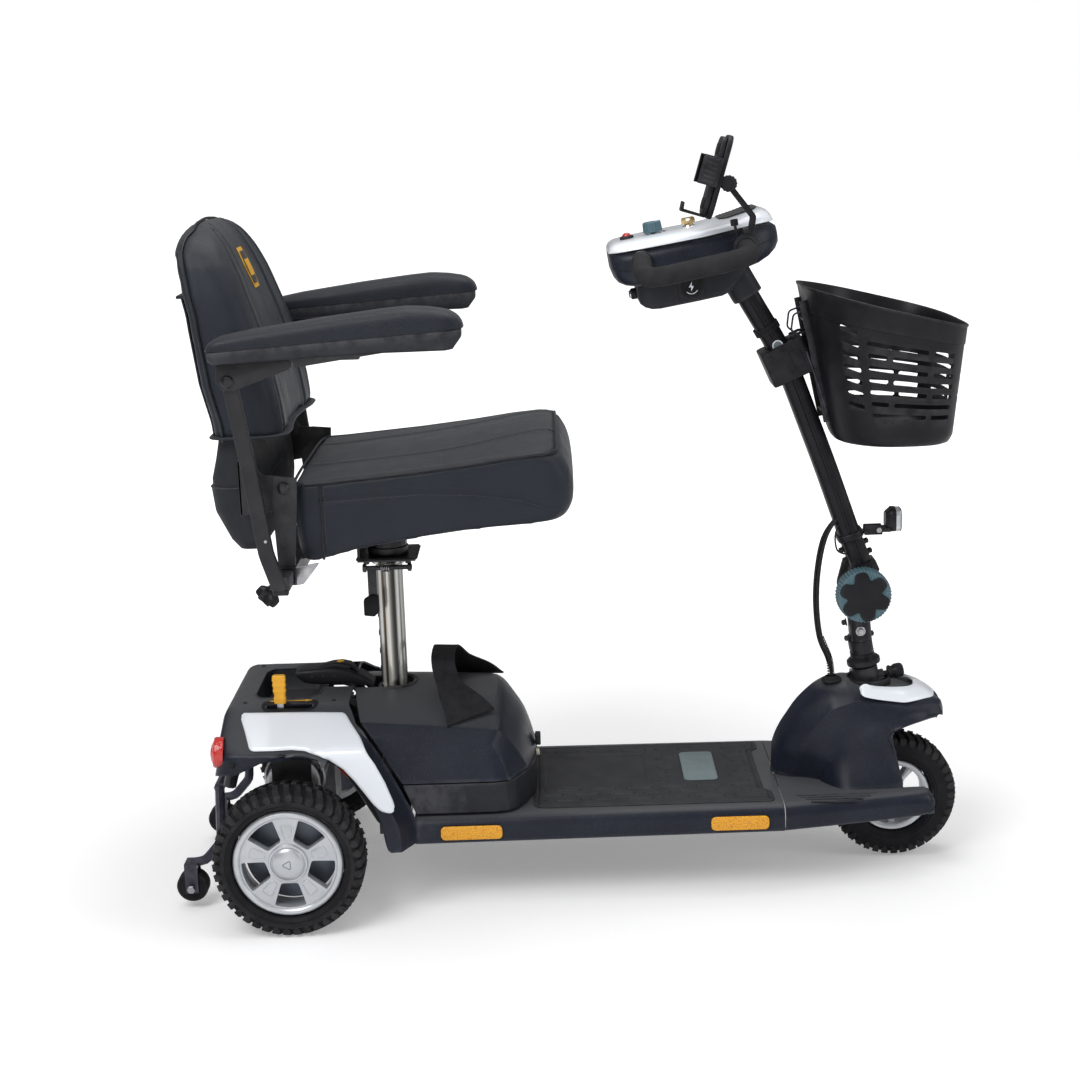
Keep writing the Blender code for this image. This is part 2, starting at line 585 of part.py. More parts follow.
# ================================================================== front frame
def steer(z, off=0.0):
    """Point on the steering axis at height z, moved forward along the axis' normal by off."""
    x = STEER_POINT[0] - (z - STEER_POINT[2]) * math.tan(STEER_LEAN)
    return Vector((x + off * math.cos(STEER_LEAN), 0.0, z + off * math.sin(STEER_LEAN)))


STEER_AXIS = Vector((-math.sin(STEER_LEAN), 0, math.cos(STEER_LEAN)))
FRAME_Y, FRAME_Z = 0.085, 0.1225            # the U-shaped tube under the deck
LOCK_Z = 0.2960                             # steering lock's height on the steering axis

u_tube = mirrored([(0.200, -FRAME_Y), (0.600, -FRAME_Y), (0.735, -0.030)])
front_frame = tube(rounded([(x, y, FRAME_Z) for x, y in u_tube], 0.05, 2),
                   circle(0.0110, 8), up=(0, 0, 1))
neck = tube(rounded([(0.700, 0, 0.1205), (0.766, 0, 0.1215), (0.800, 0, 0.2200),
                     (0.850, 0, 0.2640), steer(0.2740)], 0.03, 2), circle(0.0125, 8))
join(front_frame, neck,
     cyl_y((0.300, 0, FRAME_Z), -FRAME_Y, FRAME_Y, 0.0090, 8),
     cyl_y((0.560, 0, FRAME_Z), -0.086, 0.086, 0.0090, 8),
     cyl((0.552, 0, FRAME_Z), (0.712, 0, FRAME_Z), 0.0085, 8),
     cyl(steer(0.2560), steer(0.3140), 0.0200),
     cyl(steer(LOCK_Z, 0.010), steer(LOCK_Z, 0.0275), 0.0075, 12))
cut(front_frame, cyl(steer(0.24), steer(0.33), 0.0124, 14),
    cyl(steer(LOCK_Z, 0.008), steer(LOCK_Z, 0.035), 0.0044, 12))
finish("front_frame", front_frame, STEEL)

# steering lock plunger in front of the head tube
plunger_tip, plunger_end = steer(LOCK_Z, 0.0160), steer(LOCK_Z, 0.0620)
ahead = (plunger_end - plunger_tip).normalized()
plunger = cyl(plunger_tip, plunger_tip + ahead * 0.020, 0.0038, 12)
join(plunger, cyl(plunger_tip + ahead * 0.0180, plunger_end, 0.0110))
finish("lock_plunger", plunger, BLACK, plunger_tip)

# ================================================================== steering fork
CHEEK_IN, CHEEK_OUT = 0.0190, 0.0300        # y of the cheeks either side of the tiller hub
TILT_BORE = 0.0066
LEG_OUTLINE = [(0.9010, 0.2240), (0.9330, 0.2240), (0.9590, 0.1060), (0.9540, 0.0900),
               (0.9400, 0.0870), (0.9290, 0.0960)]      # (x, z)

fork = cyl(steer(0.2200), steer(0.3300), 0.0115, 14)
crown_x = steer(0.222).x
crown = box((crown_x - 0.016, -0.0425, 0.2120), (crown_x + 0.016, 0.0425, 0.2240))
legs = [prism_y(LEG_OUTLINE, side * 0.0365, side * 0.0415) for side in SIDES]
axle = cyl_y(FRONT_AXLE, -0.0440, 0.0440, 0.0060, 14)
flange = lathe([(0.0200, 0.0), (0.0255, 0.005), (0.0255, 0.011), (0.0180, 0.016),
                (0.0180, 0.028)], steer(0.3160), STEER_AXIS, 14)
stem = tube([steer(0.3380), (TILT_X - 0.001, 0, TILT_Z - 0.0500)],
            round_rect(0.0240, 0.0150, 0.0140))
stem_top = box((TILT_X - 0.016, -CHEEK_OUT, TILT_Z - 0.060),
               (TILT_X + 0.018, CHEEK_OUT, TILT_Z - 0.0375))
web_outline = moved([(-0.016, -0.052), (0.018, -0.052), (0.024, -0.010), (-0.024, -0.010)],
                    TILT_X, TILT_Z)
webs = [prism_y(web_outline, side * CHEEK_IN, side * CHEEK_OUT) for side in SIDES]
cheeks = [cyl_y(TILT, side * CHEEK_IN, side * CHEEK_OUT, 0.0290) for side in SIDES]
join(fork, crown, *legs, axle, flange, stem, stem_top, *webs, *cheeks)
cut(fork, cyl_y(TILT, -0.04, 0.04, TILT_BORE, 14))
finish("steering_fork", fork, STEEL, STEER_POINT)

# ================================================================== tiller column
HUB_HALF = 0.0184
# centre line from the fold joint up into the console, (x, y, z)
COLUMN_PATH = [
    (0.9000, 0, 0.4560), (0.8950, 0, 0.4740), (0.8715, 0, 0.5368), (0.8379, 0, 0.6336),
    (0.8088, 0, 0.7133), (0.7860, 0, 0.7748), (0.7700, 0, 0.8120), (0.7539, 0, 0.8440),
    (0.7249, 0, 0.8940), (0.7060, 0, 0.9270)]

column = tube(COLUMN_PATH, round_rect(0.0235, 0.0172, 0.0165, 2))
cut(column, box((0.84, -0.05, 0.40), (0.96, 0.05, 0.4790)))
hub_neck = prism_y([(TILT_X - 0.018, TILT_Z + 0.008), (TILT_X + 0.020, TILT_Z + 0.004),
                    (0.9190, 0.4760), (0.9120, 0.4900), (0.8750, 0.4820)], -HUB_HALF, HUB_HALF)
hub = cyl_y(TILT, -HUB_HALF, HUB_HALF, 0.0275)
band = tube([(0.8835, 0, 0.5240), (0.8805, 0, 0.5365)], round_rect(0.0270, 0.0207, 0.019))
lamp_ears = [box((0.8960, side * 0.0058 - 0.0017, 0.5300),
                 (0.9240, side * 0.0058 + 0.0017, 0.5440)) for side in SIDES]
join(column, hub_neck, hub, band, *lamp_ears)
cut(column, cyl_y(TILT, -0.04, 0.04, TILT_BORE, 14))
finish("tiller_column", column, STEEL, TILT)

# lock knob of the tiller with its clamp bolt
tiller_knob = prism_y(moved(lobed(0.0425, 0.0014, 6, 24), TILT_X, TILT_Z), -0.0720, -0.0400)
join(tiller_knob, cyl_y(TILT, -0.0410, -0.0306, 0.0150),
     cyl_y(TILT, -0.0350, 0.0400, 0.0058, 14),
     cyl_y(TILT, 0.0310, 0.0400, 0.0110, 6))
finish("tiller_knob", tiller_knob, TEAL, (TILT_X, -0.0500, TILT_Z))

# headlight with a tab between the column's ears; stations: share of the depth, scale
LAMP_X, LAMP_Z = 0.9190, 0.5370
headlight = loft([[(0.9300 + t * 0.0240, y * scale, 0.5525 - t * 0.0005 + z * scale)
                   for y, z in round_rect(0.0170, 0.0185, 0.012)]
                  for t, scale in ((0.0, 0.72), (0.35, 1.0), (1.0, 1.0))])
join(headlight, box((LAMP_X - 0.0050, -0.0036, LAMP_Z - 0.0050),
                    (0.9400, 0.0036, LAMP_Z + 0.0060)))
finish("headlight", headlight, LAMP_BODY, (LAMP_X, 0, LAMP_Z))

# ================================================================== console
CONSOLE_TURN = Matrix.Rotation(-math.radians(8.4), 4, "Y")
CONSOLE_POINT = Vector((0.6300, 0.0, 0.9800))
LEVER_U, LEVER_V = -0.0160, -0.0215         # throttle lever's centre
BAR_U, BAR_V = 0.0730, -0.0020              # handlebar's centre
CONTROL_Y = -0.0300                         # row of controls on the top
HORN_U, SPEED_U, KEY_U = -0.0920, -0.0520, 0.0020


def console(u, y, v):
    """Console coordinates (u forward, y left, v up) to the frame."""
    return CONSOLE_POINT + CONSOLE_TURN @ Vector((u, y, v))


def console_ring(u, bottom, top, half, radius):
    half_h, middle = (top - bottom) / 2, (bottom + top) / 2
    corner = min(radius, half_h * 0.9, half * 0.9)
    return [console(u, y, middle + v) for y, v in round_rect(half, half_h, corner, 2)]


def console_prism(outline, v0, v1):
    """A polygon of (u, y) points, extruded along v."""
    return loft([[console(u, y, v) for u, y in outline] for v in (v0, v1)])


def control_cyl(u, v0, v1, radius, segs, end_radius=None):
    return cyl(console(u, CONTROL_Y, v0), console(u, CONTROL_Y, v1), radius, segs, end_radius)


# stations: u, bottom, top, half width
BODY_STATIONS = [
    (-0.1225, -0.0120, 0.0195, 0.062), (-0.1150, -0.0250, 0.0195, 0.078),
    (-0.0950, -0.0330, 0.0195, 0.088), (-0.0300, -0.0350, 0.0200, 0.094),
    (0.0400, -0.0370, 0.0215, 0.094), (0.0850, -0.0330, 0.0240, 0.088),
    (0.1120, -0.0230, 0.0240, 0.074), (0.1275, -0.0110, 0.0180, 0.056)]
POD_STATIONS = [
    (-0.0900, -0.0600, -0.0100, 0.042), (-0.0800, -0.0710, -0.0100, 0.049),
    (-0.0640, -0.0755, -0.0100, 0.051), (0.0350, -0.0730, -0.0100, 0.051),
    (0.0500, -0.0660, -0.0100, 0.049), (0.0720, -0.0480, -0.0100, 0.044)]
TOP_STATIONS = [
    (-0.1235, 0.0200, 0.0255, 0.062), (-0.1120, 0.0200, 0.0340, 0.080),
    (-0.0650, 0.0202, 0.0365, 0.091), (0.0150, 0.0215, 0.0370, 0.0945),
    (0.0600, 0.0240, 0.0400, 0.0920), (0.0900, 0.0250, 0.0455, 0.0860),
    (0.1110, 0.0250, 0.0465, 0.0740), (0.1240, 0.0250, 0.0330, 0.0590)]

body = loft([console_ring(*station, 0.012) for station in BODY_STATIONS])
join(body, loft([console_ring(*station, 0.010) for station in POD_STATIONS]))
# socket for the column, waisted slot for the throttle lever, hole for the handlebar
cut(body, tube(COLUMN_PATH[5:9] + [(0.7035, 0, 0.9305)], round_rect(0.0241, 0.0178, 0.0168)))
slot = moved([(-0.010, 0.0), (-0.051, -0.14), (0.051, -0.14), (0.010, 0.0), (0.051, 0.14),
              (-0.051, 0.14)], LEVER_U, 0)
cut(body, console_prism(slot, LEVER_V - 0.0042, LEVER_V + 0.0042))
bar_centre = console(BAR_U, 0, BAR_V)
cut(body, cyl_y(bar_centre, -0.2, 0.2, 0.0116))
finish("console_body", body, PAINT, TILT)

rings = []
for u, bottom, crown_v, half in TOP_STATIONS:
    waist = bottom + (crown_v - bottom) * 0.45
    rings.append([console(u, y, v) for y, v in (
        (-half, bottom), (half, bottom), (half, waist), (half - 0.012, crown_v - 0.0015),
        (0.0, crown_v), (-half + 0.012, crown_v - 0.0015), (-half, waist))])
console_top = loft(rings)
cut(console_top, control_cyl(HORN_U, 0.0290, 0.05, 0.0078, 14),
    control_cyl(SPEED_U, 0.0290, 0.05, 0.0036, 10),
    control_cyl(KEY_U, 0.0270, 0.05, 0.0046, 10))
finish("console_top", console_top, WHITE, TILT)

finish("horn_button", control_cyl(HORN_U, 0.0335, 0.0415, 0.0072, 14), RED_BUTTON,
       console(HORN_U, CONTROL_Y, 0.0335))

speed_knob = control_cyl(SPEED_U, 0.0385, 0.0540, 0.0145, 14, end_radius=0.0132)
pointer = moved([(0.006, -0.0012), (0.0150, -0.0012), (0.0150, 0.0012), (0.006, 0.0012)],
                SPEED_U, CONTROL_Y)
join(speed_knob, control_cyl(SPEED_U, 0.0310, 0.0420, 0.0031, 10),
     console_prism(pointer, 0.0400, 0.0556))
finish("speed_knob", speed_knob, TEAL, console(SPEED_U, CONTROL_Y, 0.0385))

key = control_cyl(KEY_U, 0.0290, 0.0440, 0.0040, 10)
key_bow = loft([[console(KEY_U + a, CONTROL_Y + b, v)
                 for a, b in ((-half, -0.0014), (half, -0.0014), (half, 0.0014), (-half, 0.0014))]
                for v, half in ((0.0415, 0.007), (0.0470, 0.0115), (0.0560, 0.0115),
                                (0.0610, 0.007))])
join(key, key_bow)
finish("ignition_key", key, BRASS, console(KEY_U, CONTROL_Y, 0.0290))

# handlebar: a bar through the console with a foam-covered loop each side
handlebar = cyl_y(bar_centre, -0.1250, 0.1250, 0.0110, 12)
for side in SIDES:
    loop = [console(u, side * y, BAR_V + dv) for u, y, dv in (
        (BAR_U, 0.070, 0.0), (BAR_U, 0.125, -0.001), (BAR_U - 0.004, 0.2060, -0.006),
        (-0.0830, 0.2060, -0.012), (-0.0800, 0.1400, 0.004), (-0.0780, 0.0965, 0.006))]
    # the loop starts at its first rounded corner, inside the bar's end
    join(handlebar, tube(rounded(loop, 0.034, 2)[1:], circle(0.0140, 10), up=(0, 0, 1)))
finish("handlebar", handlebar, FOAM, TILT)

# wig-wag throttle lever: a thin bar with a paddle at each end
lever_outline = mirrored([(-0.006, -0.092), (-0.015, -0.100), (-0.015, -0.132),
                          (0.015, -0.132), (0.015, -0.100), (0.006, -0.092)])
throttle = console_prism(moved(lever_outline, LEVER_U, 0), LEVER_V - 0.0025, LEVER_V + 0.0025)
finish("throttle_lever", throttle, BLACK, console(LEVER_U, 0, LEVER_V))

# round flap over the charging socket on the right of the pod, hung from its lower edge
FLAP_U, FLAP_Y, FLAP_V, FLAP_RADIUS = -0.0100, -0.0514, -0.0510, 0.0155
flap = cyl_y(console(FLAP_U, 0, FLAP_V), FLAP_Y - 0.0030, FLAP_Y, FLAP_RADIUS)
finish("charge_port_cover", flap, BLACK, console(FLAP_U, FLAP_Y, FLAP_V - FLAP_RADIUS))

# ================================================================== basket and its clamp
# clamp block square to the column; t runs along the column, a across it
clamp = loft([[Vector((0.7700, 0, 0.8080)) + Vector((-0.40, 0, 0.917)) * t
               + Vector((0.917, 0, 0.40)) * a + Vector((0, y, 0))
               for a, y in mirrored([(-0.0300, -0.0340), (0.0395, -0.0340)])]
              for t in (-0.0300, 0.0260)])
cut(clamp, tube(COLUMN_PATH[3:9], round_rect(0.0240, 0.0177, 0.0166)))
finish("basket_clamp", clamp, BLACK, TILT)


def basket_ring(level, inset=0.0):
    """Plan section of the basket, from the floor (0) to the rim (1), which falls to the front."""
    x_rear = 0.8440 + (0.7960 - 0.8440) * level + inset
    x_front = 1.0200 + (1.0370 - 1.0200) * level - inset
    half_front = 0.1180 + (0.1550 - 0.1180) * level - inset
    half_rear = 0.0800 + (0.0900 - 0.0800) * level - inset
    z_floor = 0.6850
    ring = []
    for i in range(18):
        a = 2 * math.pi * (i + 0.5) / 18
        ca, sa = math.cos(a), math.sin(a)
        x = ((x_rear + x_front) / 2
             + (x_front - x_rear) / 2 * math.copysign(abs(ca) ** 0.62, ca))
        t = (x - x_rear) / (x_front - x_rear)
        half = half_rear + (half_front - half_rear) * (t * 2.2) if t < 0.45 else half_front
        z_rim = 0.9245 - (x - 0.7970) * 0.2546
        ring.append((x, half * math.copysign(abs(sa) ** 0.62, sa),
                     z_floor + (z_rim - z_floor) * level))
    return ring


basket = loft([basket_ring(level) for level in (0.0, 0.10, 1.0)])
inside = [basket_ring(level, 0.0035) for level in (0.015, 0.10, 1.0)]
inside.append([(x, y, z + 0.03) for x, y, z in inside[-1]])
cut(basket, loft(inside))
# two hooks that reach back over the clamp
HOOK_OUTLINE = [(0.7820, 0.8432), (0.7965, 0.8494), (0.8135, 0.8494), (0.8135, 0.8534),
                (0.7955, 0.8534), (0.7806, 0.8470)]     # (x, z)
join(basket, *[prism_y(HOOK_OUTLINE, side * 0.0120, side * 0.0200) for side in SIDES])
finish("basket", basket, BLACK, TILT)

# ================================================================== phone holder on the right
PHONE_Y = -0.1130
PHONE_PIN = Vector((0.6765, PHONE_Y, 1.0815))
PLATE_UP = Vector((0.2850, 0, 0.9585)).normalized()
TO_RIDER = Vector((-PLATE_UP.z, 0, PLATE_UP.x))
PIN_BORE = 0.0033

phone_arm = tube(rounded([(0.7100, PHONE_Y, 1.0140), (0.7135, PHONE_Y, 1.0330),
                          (0.6760, PHONE_Y, 1.0820)], 0.006, 2),
                 round_rect(0.0080, 0.0042, 0.002, 1))
clip_centre = console(BAR_U, PHONE_Y, BAR_V - 0.0006)
clip = lathe_ring([(0.0146, -0.009), (0.0190, -0.009), (0.0190, 0.009), (0.0146, 0.009)],
                  clip_centre, Y_AXIS, 16)
boss = cyl_y(PHONE_PIN, PHONE_Y - 0.010, PHONE_Y + 0.010, 0.0080, 14)
foot = box((0.6975, PHONE_Y - 0.0080, 0.9990), (0.7140, PHONE_Y + 0.0080, 1.0170))
cut(foot, cyl_y(clip_centre, PHONE_Y - 0.02, PHONE_Y + 0.02, 0.0165))
join(phone_arm, foot, clip, boss)
cut(phone_arm, cyl_y(PHONE_PIN, PHONE_Y - 0.02, PHONE_Y + 0.02, PIN_BORE, 10))
finish("phone_arm", phone_arm, BLACK, TILT)


def cradle_point(a, y, out):
    """From the tilt pin: a up the plate, y sideways, out towards the rider."""
    return PHONE_PIN + PLATE_UP * a + Vector((0, y, 0)) + TO_RIDER * out


def cradle_box(a, y, out):
    return loft([[cradle_point(aa, yy, level) for aa, yy in
                  ((a[0], y[0]), (a[1], y[0]), (a[1], y[1]), (a[0], y[1]))] for level in out])


def gripping_wall(outline):
    """Hooked side wall; outline lists (y, out)."""
    return loft([[cradle_point(a, y, out) for y, out in outline] for a in (-0.0100, 0.0320)])


cradle = cradle_box((-0.0560, 0.0660), (-0.0330, 0.0330), (0.0130, 0.0240))
cut(cradle, cradle_box((-0.0044, 0.0264), (-0.0360, 0.0100), (0.0176, 0.0214)))
cheeks = [cradle_box((-0.0080, 0.0080), sorted((side * 0.0104, side * 0.0150)),
                     (-0.0080, 0.0140)) for side in SIDES]
FOOT_OUTLINE = [(-0.0555, 0.0200), (-0.0520, 0.0200), (-0.0520, 0.0670), (-0.0420, 0.0670),
                (-0.0420, 0.0700), (-0.0555, 0.0700)]   # (a, out)
foot = loft([[cradle_point(a, y, out) for a, out in FOOT_OUTLINE] for y in (-0.0180, 0.0180)])
wall = gripping_wall([(0.0325, 0.0150), (0.0355, 0.0150), (0.0355, 0.0700), (0.0280, 0.0700),
                      (0.0280, 0.0670), (0.0325, 0.0670)])
join(cradle, *cheeks, foot, wall)
cut(cradle, cyl_y(PHONE_PIN, PHONE_Y - 0.03, PHONE_Y + 0.03, PIN_BORE, 10))
finish("phone_cradle", cradle, BLACK, PHONE_PIN)

# sliding jaw in the cradle's guide
jaw = cradle_box((-0.0040, 0.0260), (-0.0380, 0.0040), (0.0180, 0.0210))
join(jaw, gripping_wall([(-0.0400, 0.0170), (-0.0365, 0.0170), (-0.0365, 0.0670),
                         (-0.0320, 0.0670), (-0.0320, 0.0700), (-0.0400, 0.0700)]))
finish("phone_jaw", jaw, BLACK, PHONE_PIN)

phone_knob = cyl_y(PHONE_PIN, PHONE_Y - 0.0200, PHONE_Y + 0.0120, 0.0030, 10)
join(phone_knob, cyl_y(PHONE_PIN, PHONE_Y - 0.0280, PHONE_Y - 0.0154, 0.0120))
finish("phone_knob", phone_knob, BLACK, PHONE_PIN)

# ================================================================== seat
SWIVEL = (POST_X, 0, 0.5205)
RECEIVER_X, RECEIVER_Z = 0.0220, 0.5460     # cross tube that takes the arm bars
SEAT_TILT = math.radians(5.2)
ARM_KNOB_Y = 0.2080

post = cyl((POST_X, 0, 0.1350), (POST_X, 0, 0.5180), POST_RADIUS, 18)
join(post, cyl((POST_X, 0, 0.5120), (POST_X, 0, 0.5195), 0.0270, 18))
cut(post, cyl((POST_X, 0, 0.12), (POST_X, 0, 0.5050), POST_RADIUS - 0.0022))
finish("seat_post", post, CHROME, (POST_X, 0, 0.3))


def seat_z(x):
    """Underside of the seat pan along the seat."""
    return 0.5950 + (x - 0.24) * math.tan(SEAT_TILT)


def receiver_box(half, y0, y1):
    """Square bar on the receiver's axis."""
    return box((RECEIVER_X - half, y0, RECEIVER_Z - half),
               (RECEIVER_X + half, y1, RECEIVER_Z + half))


# swivel bracket: pan, plate and hub on the post, riser, receiver with its straps, hinge ears
swivel = loft([[(x, y, seat_z(x) + t) for x, y in mirrored([(0.0950, -0.1600),
                                                           (0.4000, -0.1600)])]
               for t in (0.0, 0.0035)])
plate = box((0.1050, -0.0480, 0.5205), (0.1950, 0.0480, 0.5255))
hub = cyl((POST_X, 0, 0.5230), (POST_X, 0, 0.5893), 0.0300, 18)
riser = box((0.1050, -0.045, 0.5210), (0.1090, 0.045, 0.5845))
straps = []
for side in SIDES:
    near, far = side * 0.120, side * 0.150
    straps.append(loft([[(x, near, z), (x, far, z), (x, far, z - 0.005), (x, near, z - 0.005)]
                        for x, z in ((RECEIVER_X + 0.0100, RECEIVER_Z + 0.0120),
                                     (0.0560, RECEIVER_Z + 0.0160),
                                     (0.1080, seat_z(0.108) + 0.003))]))
EAR_OUTLINE = [(0.0100, 0.5560), (0.0340, 0.5560), (0.0420, 0.6500), (0.0440, 0.6900),
               (0.0120, 0.6930), (0.0060, 0.6600)]      # (x, z)
ears = [prism_y(EAR_OUTLINE, side * 0.2190, side * 0.2225) for side in SIDES]
join(swivel, hub, plate, riser, *straps, receiver_box(0.0135, -0.2260, 0.2260), *ears)
cut(swivel, receiver_box(0.0108, -0.24, 0.24), cyl_y(BACK_HINGE, -0.25, 0.25, 0.0058, 12))
for side in SIDES:      # clearance holes for the arm knobs' bolts
    cut(swivel, cyl((RECEIVER_X, side * ARM_KNOB_Y, RECEIVER_Z),
                    (RECEIVER_X - 0.04, side * ARM_KNOB_Y, RECEIVER_Z - 0.04), 0.0048, 10))
finish("swivel_bracket", swivel, STEEL, SWIVEL)

swivel_lever = box((0.1180, -0.0440, 0.4500), (0.1340, -0.0390, 0.5150))
join(swivel_lever, box((0.1120, -0.0480, 0.4340), (0.1340, -0.0350, 0.4650)),
     cyl((0.1120, -0.0415, 0.5100), (0.1900, -0.0415, 0.5100), 0.0040, 10))
finish("swivel_lever", swivel_lever, BLACK, (0.1500, -0.0415, 0.5100))

CUSHION_HALF = 0.2080
# stations: x, bottom, top, half width
CUSHION_STATIONS = [
    (0.0500, 0.5680, 0.6680, 0.200), (0.0720, 0.5640, 0.6800, CUSHION_HALF),
    (0.2000, 0.5860, 0.6900, CUSHION_HALF), (0.3000, 0.5990, 0.7010, CUSHION_HALF),
    (0.3900, 0.6060, 0.7160, CUSHION_HALF), (0.4200, 0.6080, 0.7080, 0.202),
    (0.4370, 0.6180, 0.6650, 0.192)]
rings = []
for x, bottom, top, half in CUSHION_STATIONS:
    half_h, middle = (top - bottom) / 2, (bottom + top) / 2
    rings.append([(x, y, middle + z)
                  for y, z in round_rect(half, half_h, min(0.022, half_h * 0.9), 2)])
cushion = loft(rings)
# pocket in the underside that takes the pan
cut(cushion, loft([[(x, -0.1760, 0.50), (x, 0.1760, 0.50), (x, 0.1760, seat_z(x) + 0.0065),
                    (x, -0.1760, seat_z(x) + 0.0065)] for x in (0.0400, 0.4120)]))
finish("seat_cushion", cushion, VINYL, SWIVEL)

# ================================================================== seat back
# (z, x) of the board's rear face
BACK_LINE = [(0.736, -0.0760), (0.767, -0.0790), (0.823, -0.0905), (0.919, -0.1040),
             (1.012, -0.1190), (1.05, -0.1100)]
# (x, z) outlines of the board's thick foot and of its hinge ears
BOARD_FOOT = [(-0.0600, 0.5920), (-0.0820, 0.6300), (-0.0900, 0.6800), (-0.0800, 0.7420),
              (-0.0420, 0.7420), (-0.0250, 0.7000), (-0.0150, 0.6400), (-0.0150, 0.6020),
              (-0.0250, 0.5920)]
BOARD_EAR = [(-0.0350, 0.6300), (0.0240, 0.6640), (0.0345, 0.6680), (0.0365, 0.6758),
             (0.0330, 0.6850), (0.0240, 0.6890), (-0.0300, 0.7200)]

board = prism_y(BOARD_FOOT, -0.1880, 0.1880)
upper = []
for z in (0.7300, 0.8200, 0.9200, 1.0000):
    x = lookup(BACK_LINE, z)
    upper.append([(x, -0.150, z), (x + 0.0085, -0.150, z), (x + 0.0085, 0.150, z),
                  (x, 0.150, z)])
side_arms = [box((-0.0400, side * 0.1860, 0.6400), (-0.0300, side * 0.2180, 0.7100))
             for side in SIDES]
board_ears = [prism_y(BOARD_EAR, side * 0.2140, side * 0.2180) for side in SIDES]
pins = [cyl_y(BACK_HINGE, side * 0.2150, side * 0.2270, 0.0052, 12) for side in SIDES]
join(board, loft(upper), *side_arms, *board_ears, *pins)
finish("back_board", board, BLACK, BACK_HINGE)


def back_ring(z, thick, half):
    """Plan section of the back pad: wrapped sides, gently hollow front."""
    rear = lookup(BACK_LINE, z) + 0.0095
    front = rear + thick
    return [(x, y, z) for x, y in mirrored([
        (rear, -half * 0.86), (rear + 0.012, -half), (rear + thick * 0.75, -half),
        (front + 0.004, -half * 0.84), (front - 0.003, -half * 0.40)])]


# stations: z, thickness, half width
back_cushion = loft([back_ring(*station) for station in (
    (0.7440, 0.0700, 0.176), (0.7600, 0.0800, 0.186), (0.8300, 0.0880, 0.1930),
    (0.9200, 0.0800, 0.1930), (0.9900, 0.0620, 0.184), (1.0250, 0.0480, 0.160),
    (1.0460, 0.0300, 0.115))])
finish("back_cushion", back_cushion, VINYL, BACK_HINGE)

# ================================================================== arms
# pad stations: x, z, half width, half height
PAD_STATIONS = [
    (-0.0600, 0.8790, 0.026, 0.0160), (-0.0400, 0.8850, 0.030, 0.0230),
    (0.0600, 0.8980, 0.031, 0.0265), (0.1600, 0.9060, 0.031, 0.0295),
    (0.2300, 0.9080, 0.031, 0.0285), (0.2750, 0.9040, 0.030, 0.0250),
    (0.2930, 0.9020, 0.026, 0.0130)]
PAD_BRACKET = [(-0.0470, 0.8700), (-0.0490, 0.8400), (-0.0400, 0.8290), (-0.0270, 0.8290),
               (0.0600, 0.8560), (0.1500, 0.8840), (0.1500, 0.8900), (-0.0300, 0.8900)]  # (x, z)


def arm_upright(name, side):
    """Flat upright with the width-adjusting bar that slides in the receiver."""
    top_y = ARM_Y * 0.9995
    path = [(-0.0340, top_y, 0.8560), (-0.0278, top_y, 0.8120), (-0.0140, 0.2760, 0.7130),
            (0.0010, 0.2700, 0.5900), (0.0180, 0.2700, 0.5360)]
    upright = tube([(x, side * y, z) for x, y, z in path],
                   [(-0.0060, -0.0110), (0.0060, -0.0110), (0.0060, 0.0110), (-0.0060, 0.0110)])
    join(upright, receiver_box(0.0100, side * 0.1200, side * 0.2650))
    cut(upright, cyl_y(ARM_HINGE, side * 0.25, side * 0.31, 0.0047, 12))
    finish(name, upright, STEEL, (RECEIVER_X, side * 0.2, RECEIVER_Z))


def arm_pad(name, side):
    """Flip-up pad with two bracket plates and the hinge pin."""
    y = side * ARM_Y
    pad = loft([[(x, y + a, z + b) for a, b in round_rect(w, h, min(0.010, h * 0.8), 2)]
                for x, z, w, h in PAD_STATIONS])
    plates = [prism_y(PAD_BRACKET, y + t * 0.0090 - 0.0013, y + t * 0.0090 + 0.0013)
              for t in SIDES]
    join(pad, *plates, cyl_y(ARM_HINGE, y - 0.0115, y + 0.0115, 0.0042, 12))
    finish(name, pad, ARM_VINYL, (ARM_HINGE[0], y, ARM_HINGE[2]))


def arm_knob(name, side):
    """Star knob whose bolt points up and forward at the receiver."""
    outward = Vector((-1, 0, -1)).normalized()
    start = Vector((RECEIVER_X, side * ARM_KNOB_Y, RECEIVER_Z))
    place = frame_to(start + outward * 0.0400, outward)
    knob = loft([[place @ Vector((x, y, h)) for x, y in lobed(0.0165, 0.0022, 5, 20)]
                 for h in (0.0, 0.0150)])
    join(knob, cyl(start + outward * 0.0152, start + outward * 0.0420, 0.0040, 10))
    finish(name, knob, BLACK, start + outward * 0.0400)


for label, side in NAMED_SIDES:
    arm_upright(f"arm_upright_{label}", side)
    arm_pad(f"arm_pad_{label}", side)
    arm_knob(f"arm_knob_{label}", side)

# ================================================================== front shroud
# dome over the steering head: x, top, half width at the foot
DOME_STATIONS = [
    (0.7360, 0.1640, 0.030), (0.7480, 0.1900, 0.050), (0.7720, 0.2360, 0.066),
    (0.8020, 0.2745, 0.080), (0.8330, 0.2930, 0.094), (0.8640, 0.2965, 0.104),
    (0.9050, 0.2905, 0.109), (0.9460, 0.2820, 0.104), (0.9800, 0.2745, 0.088),
    (1.0060, 0.2620, 0.064), (1.0240, 0.2420, 0.034)]


def dome_ring(x, top, half, base=DECK_TOP + 0.0040):
    """Cross-section of the dome: flat foot, bulging side, rounded crown."""
    ring = []
    for i in range(9):
        a = math.pi * i / 8
        ca, sa = math.cos(a), math.sin(a)
        ring.append((x, half * math.copysign(abs(ca) ** 0.72, ca),
                     base + (top - base) * abs(sa) ** 0.80))
    return ring


def dome_skin(offset):
    return loft([dome_ring(x, top + offset, half + offset) for x, top, half in DOME_STATIONS])


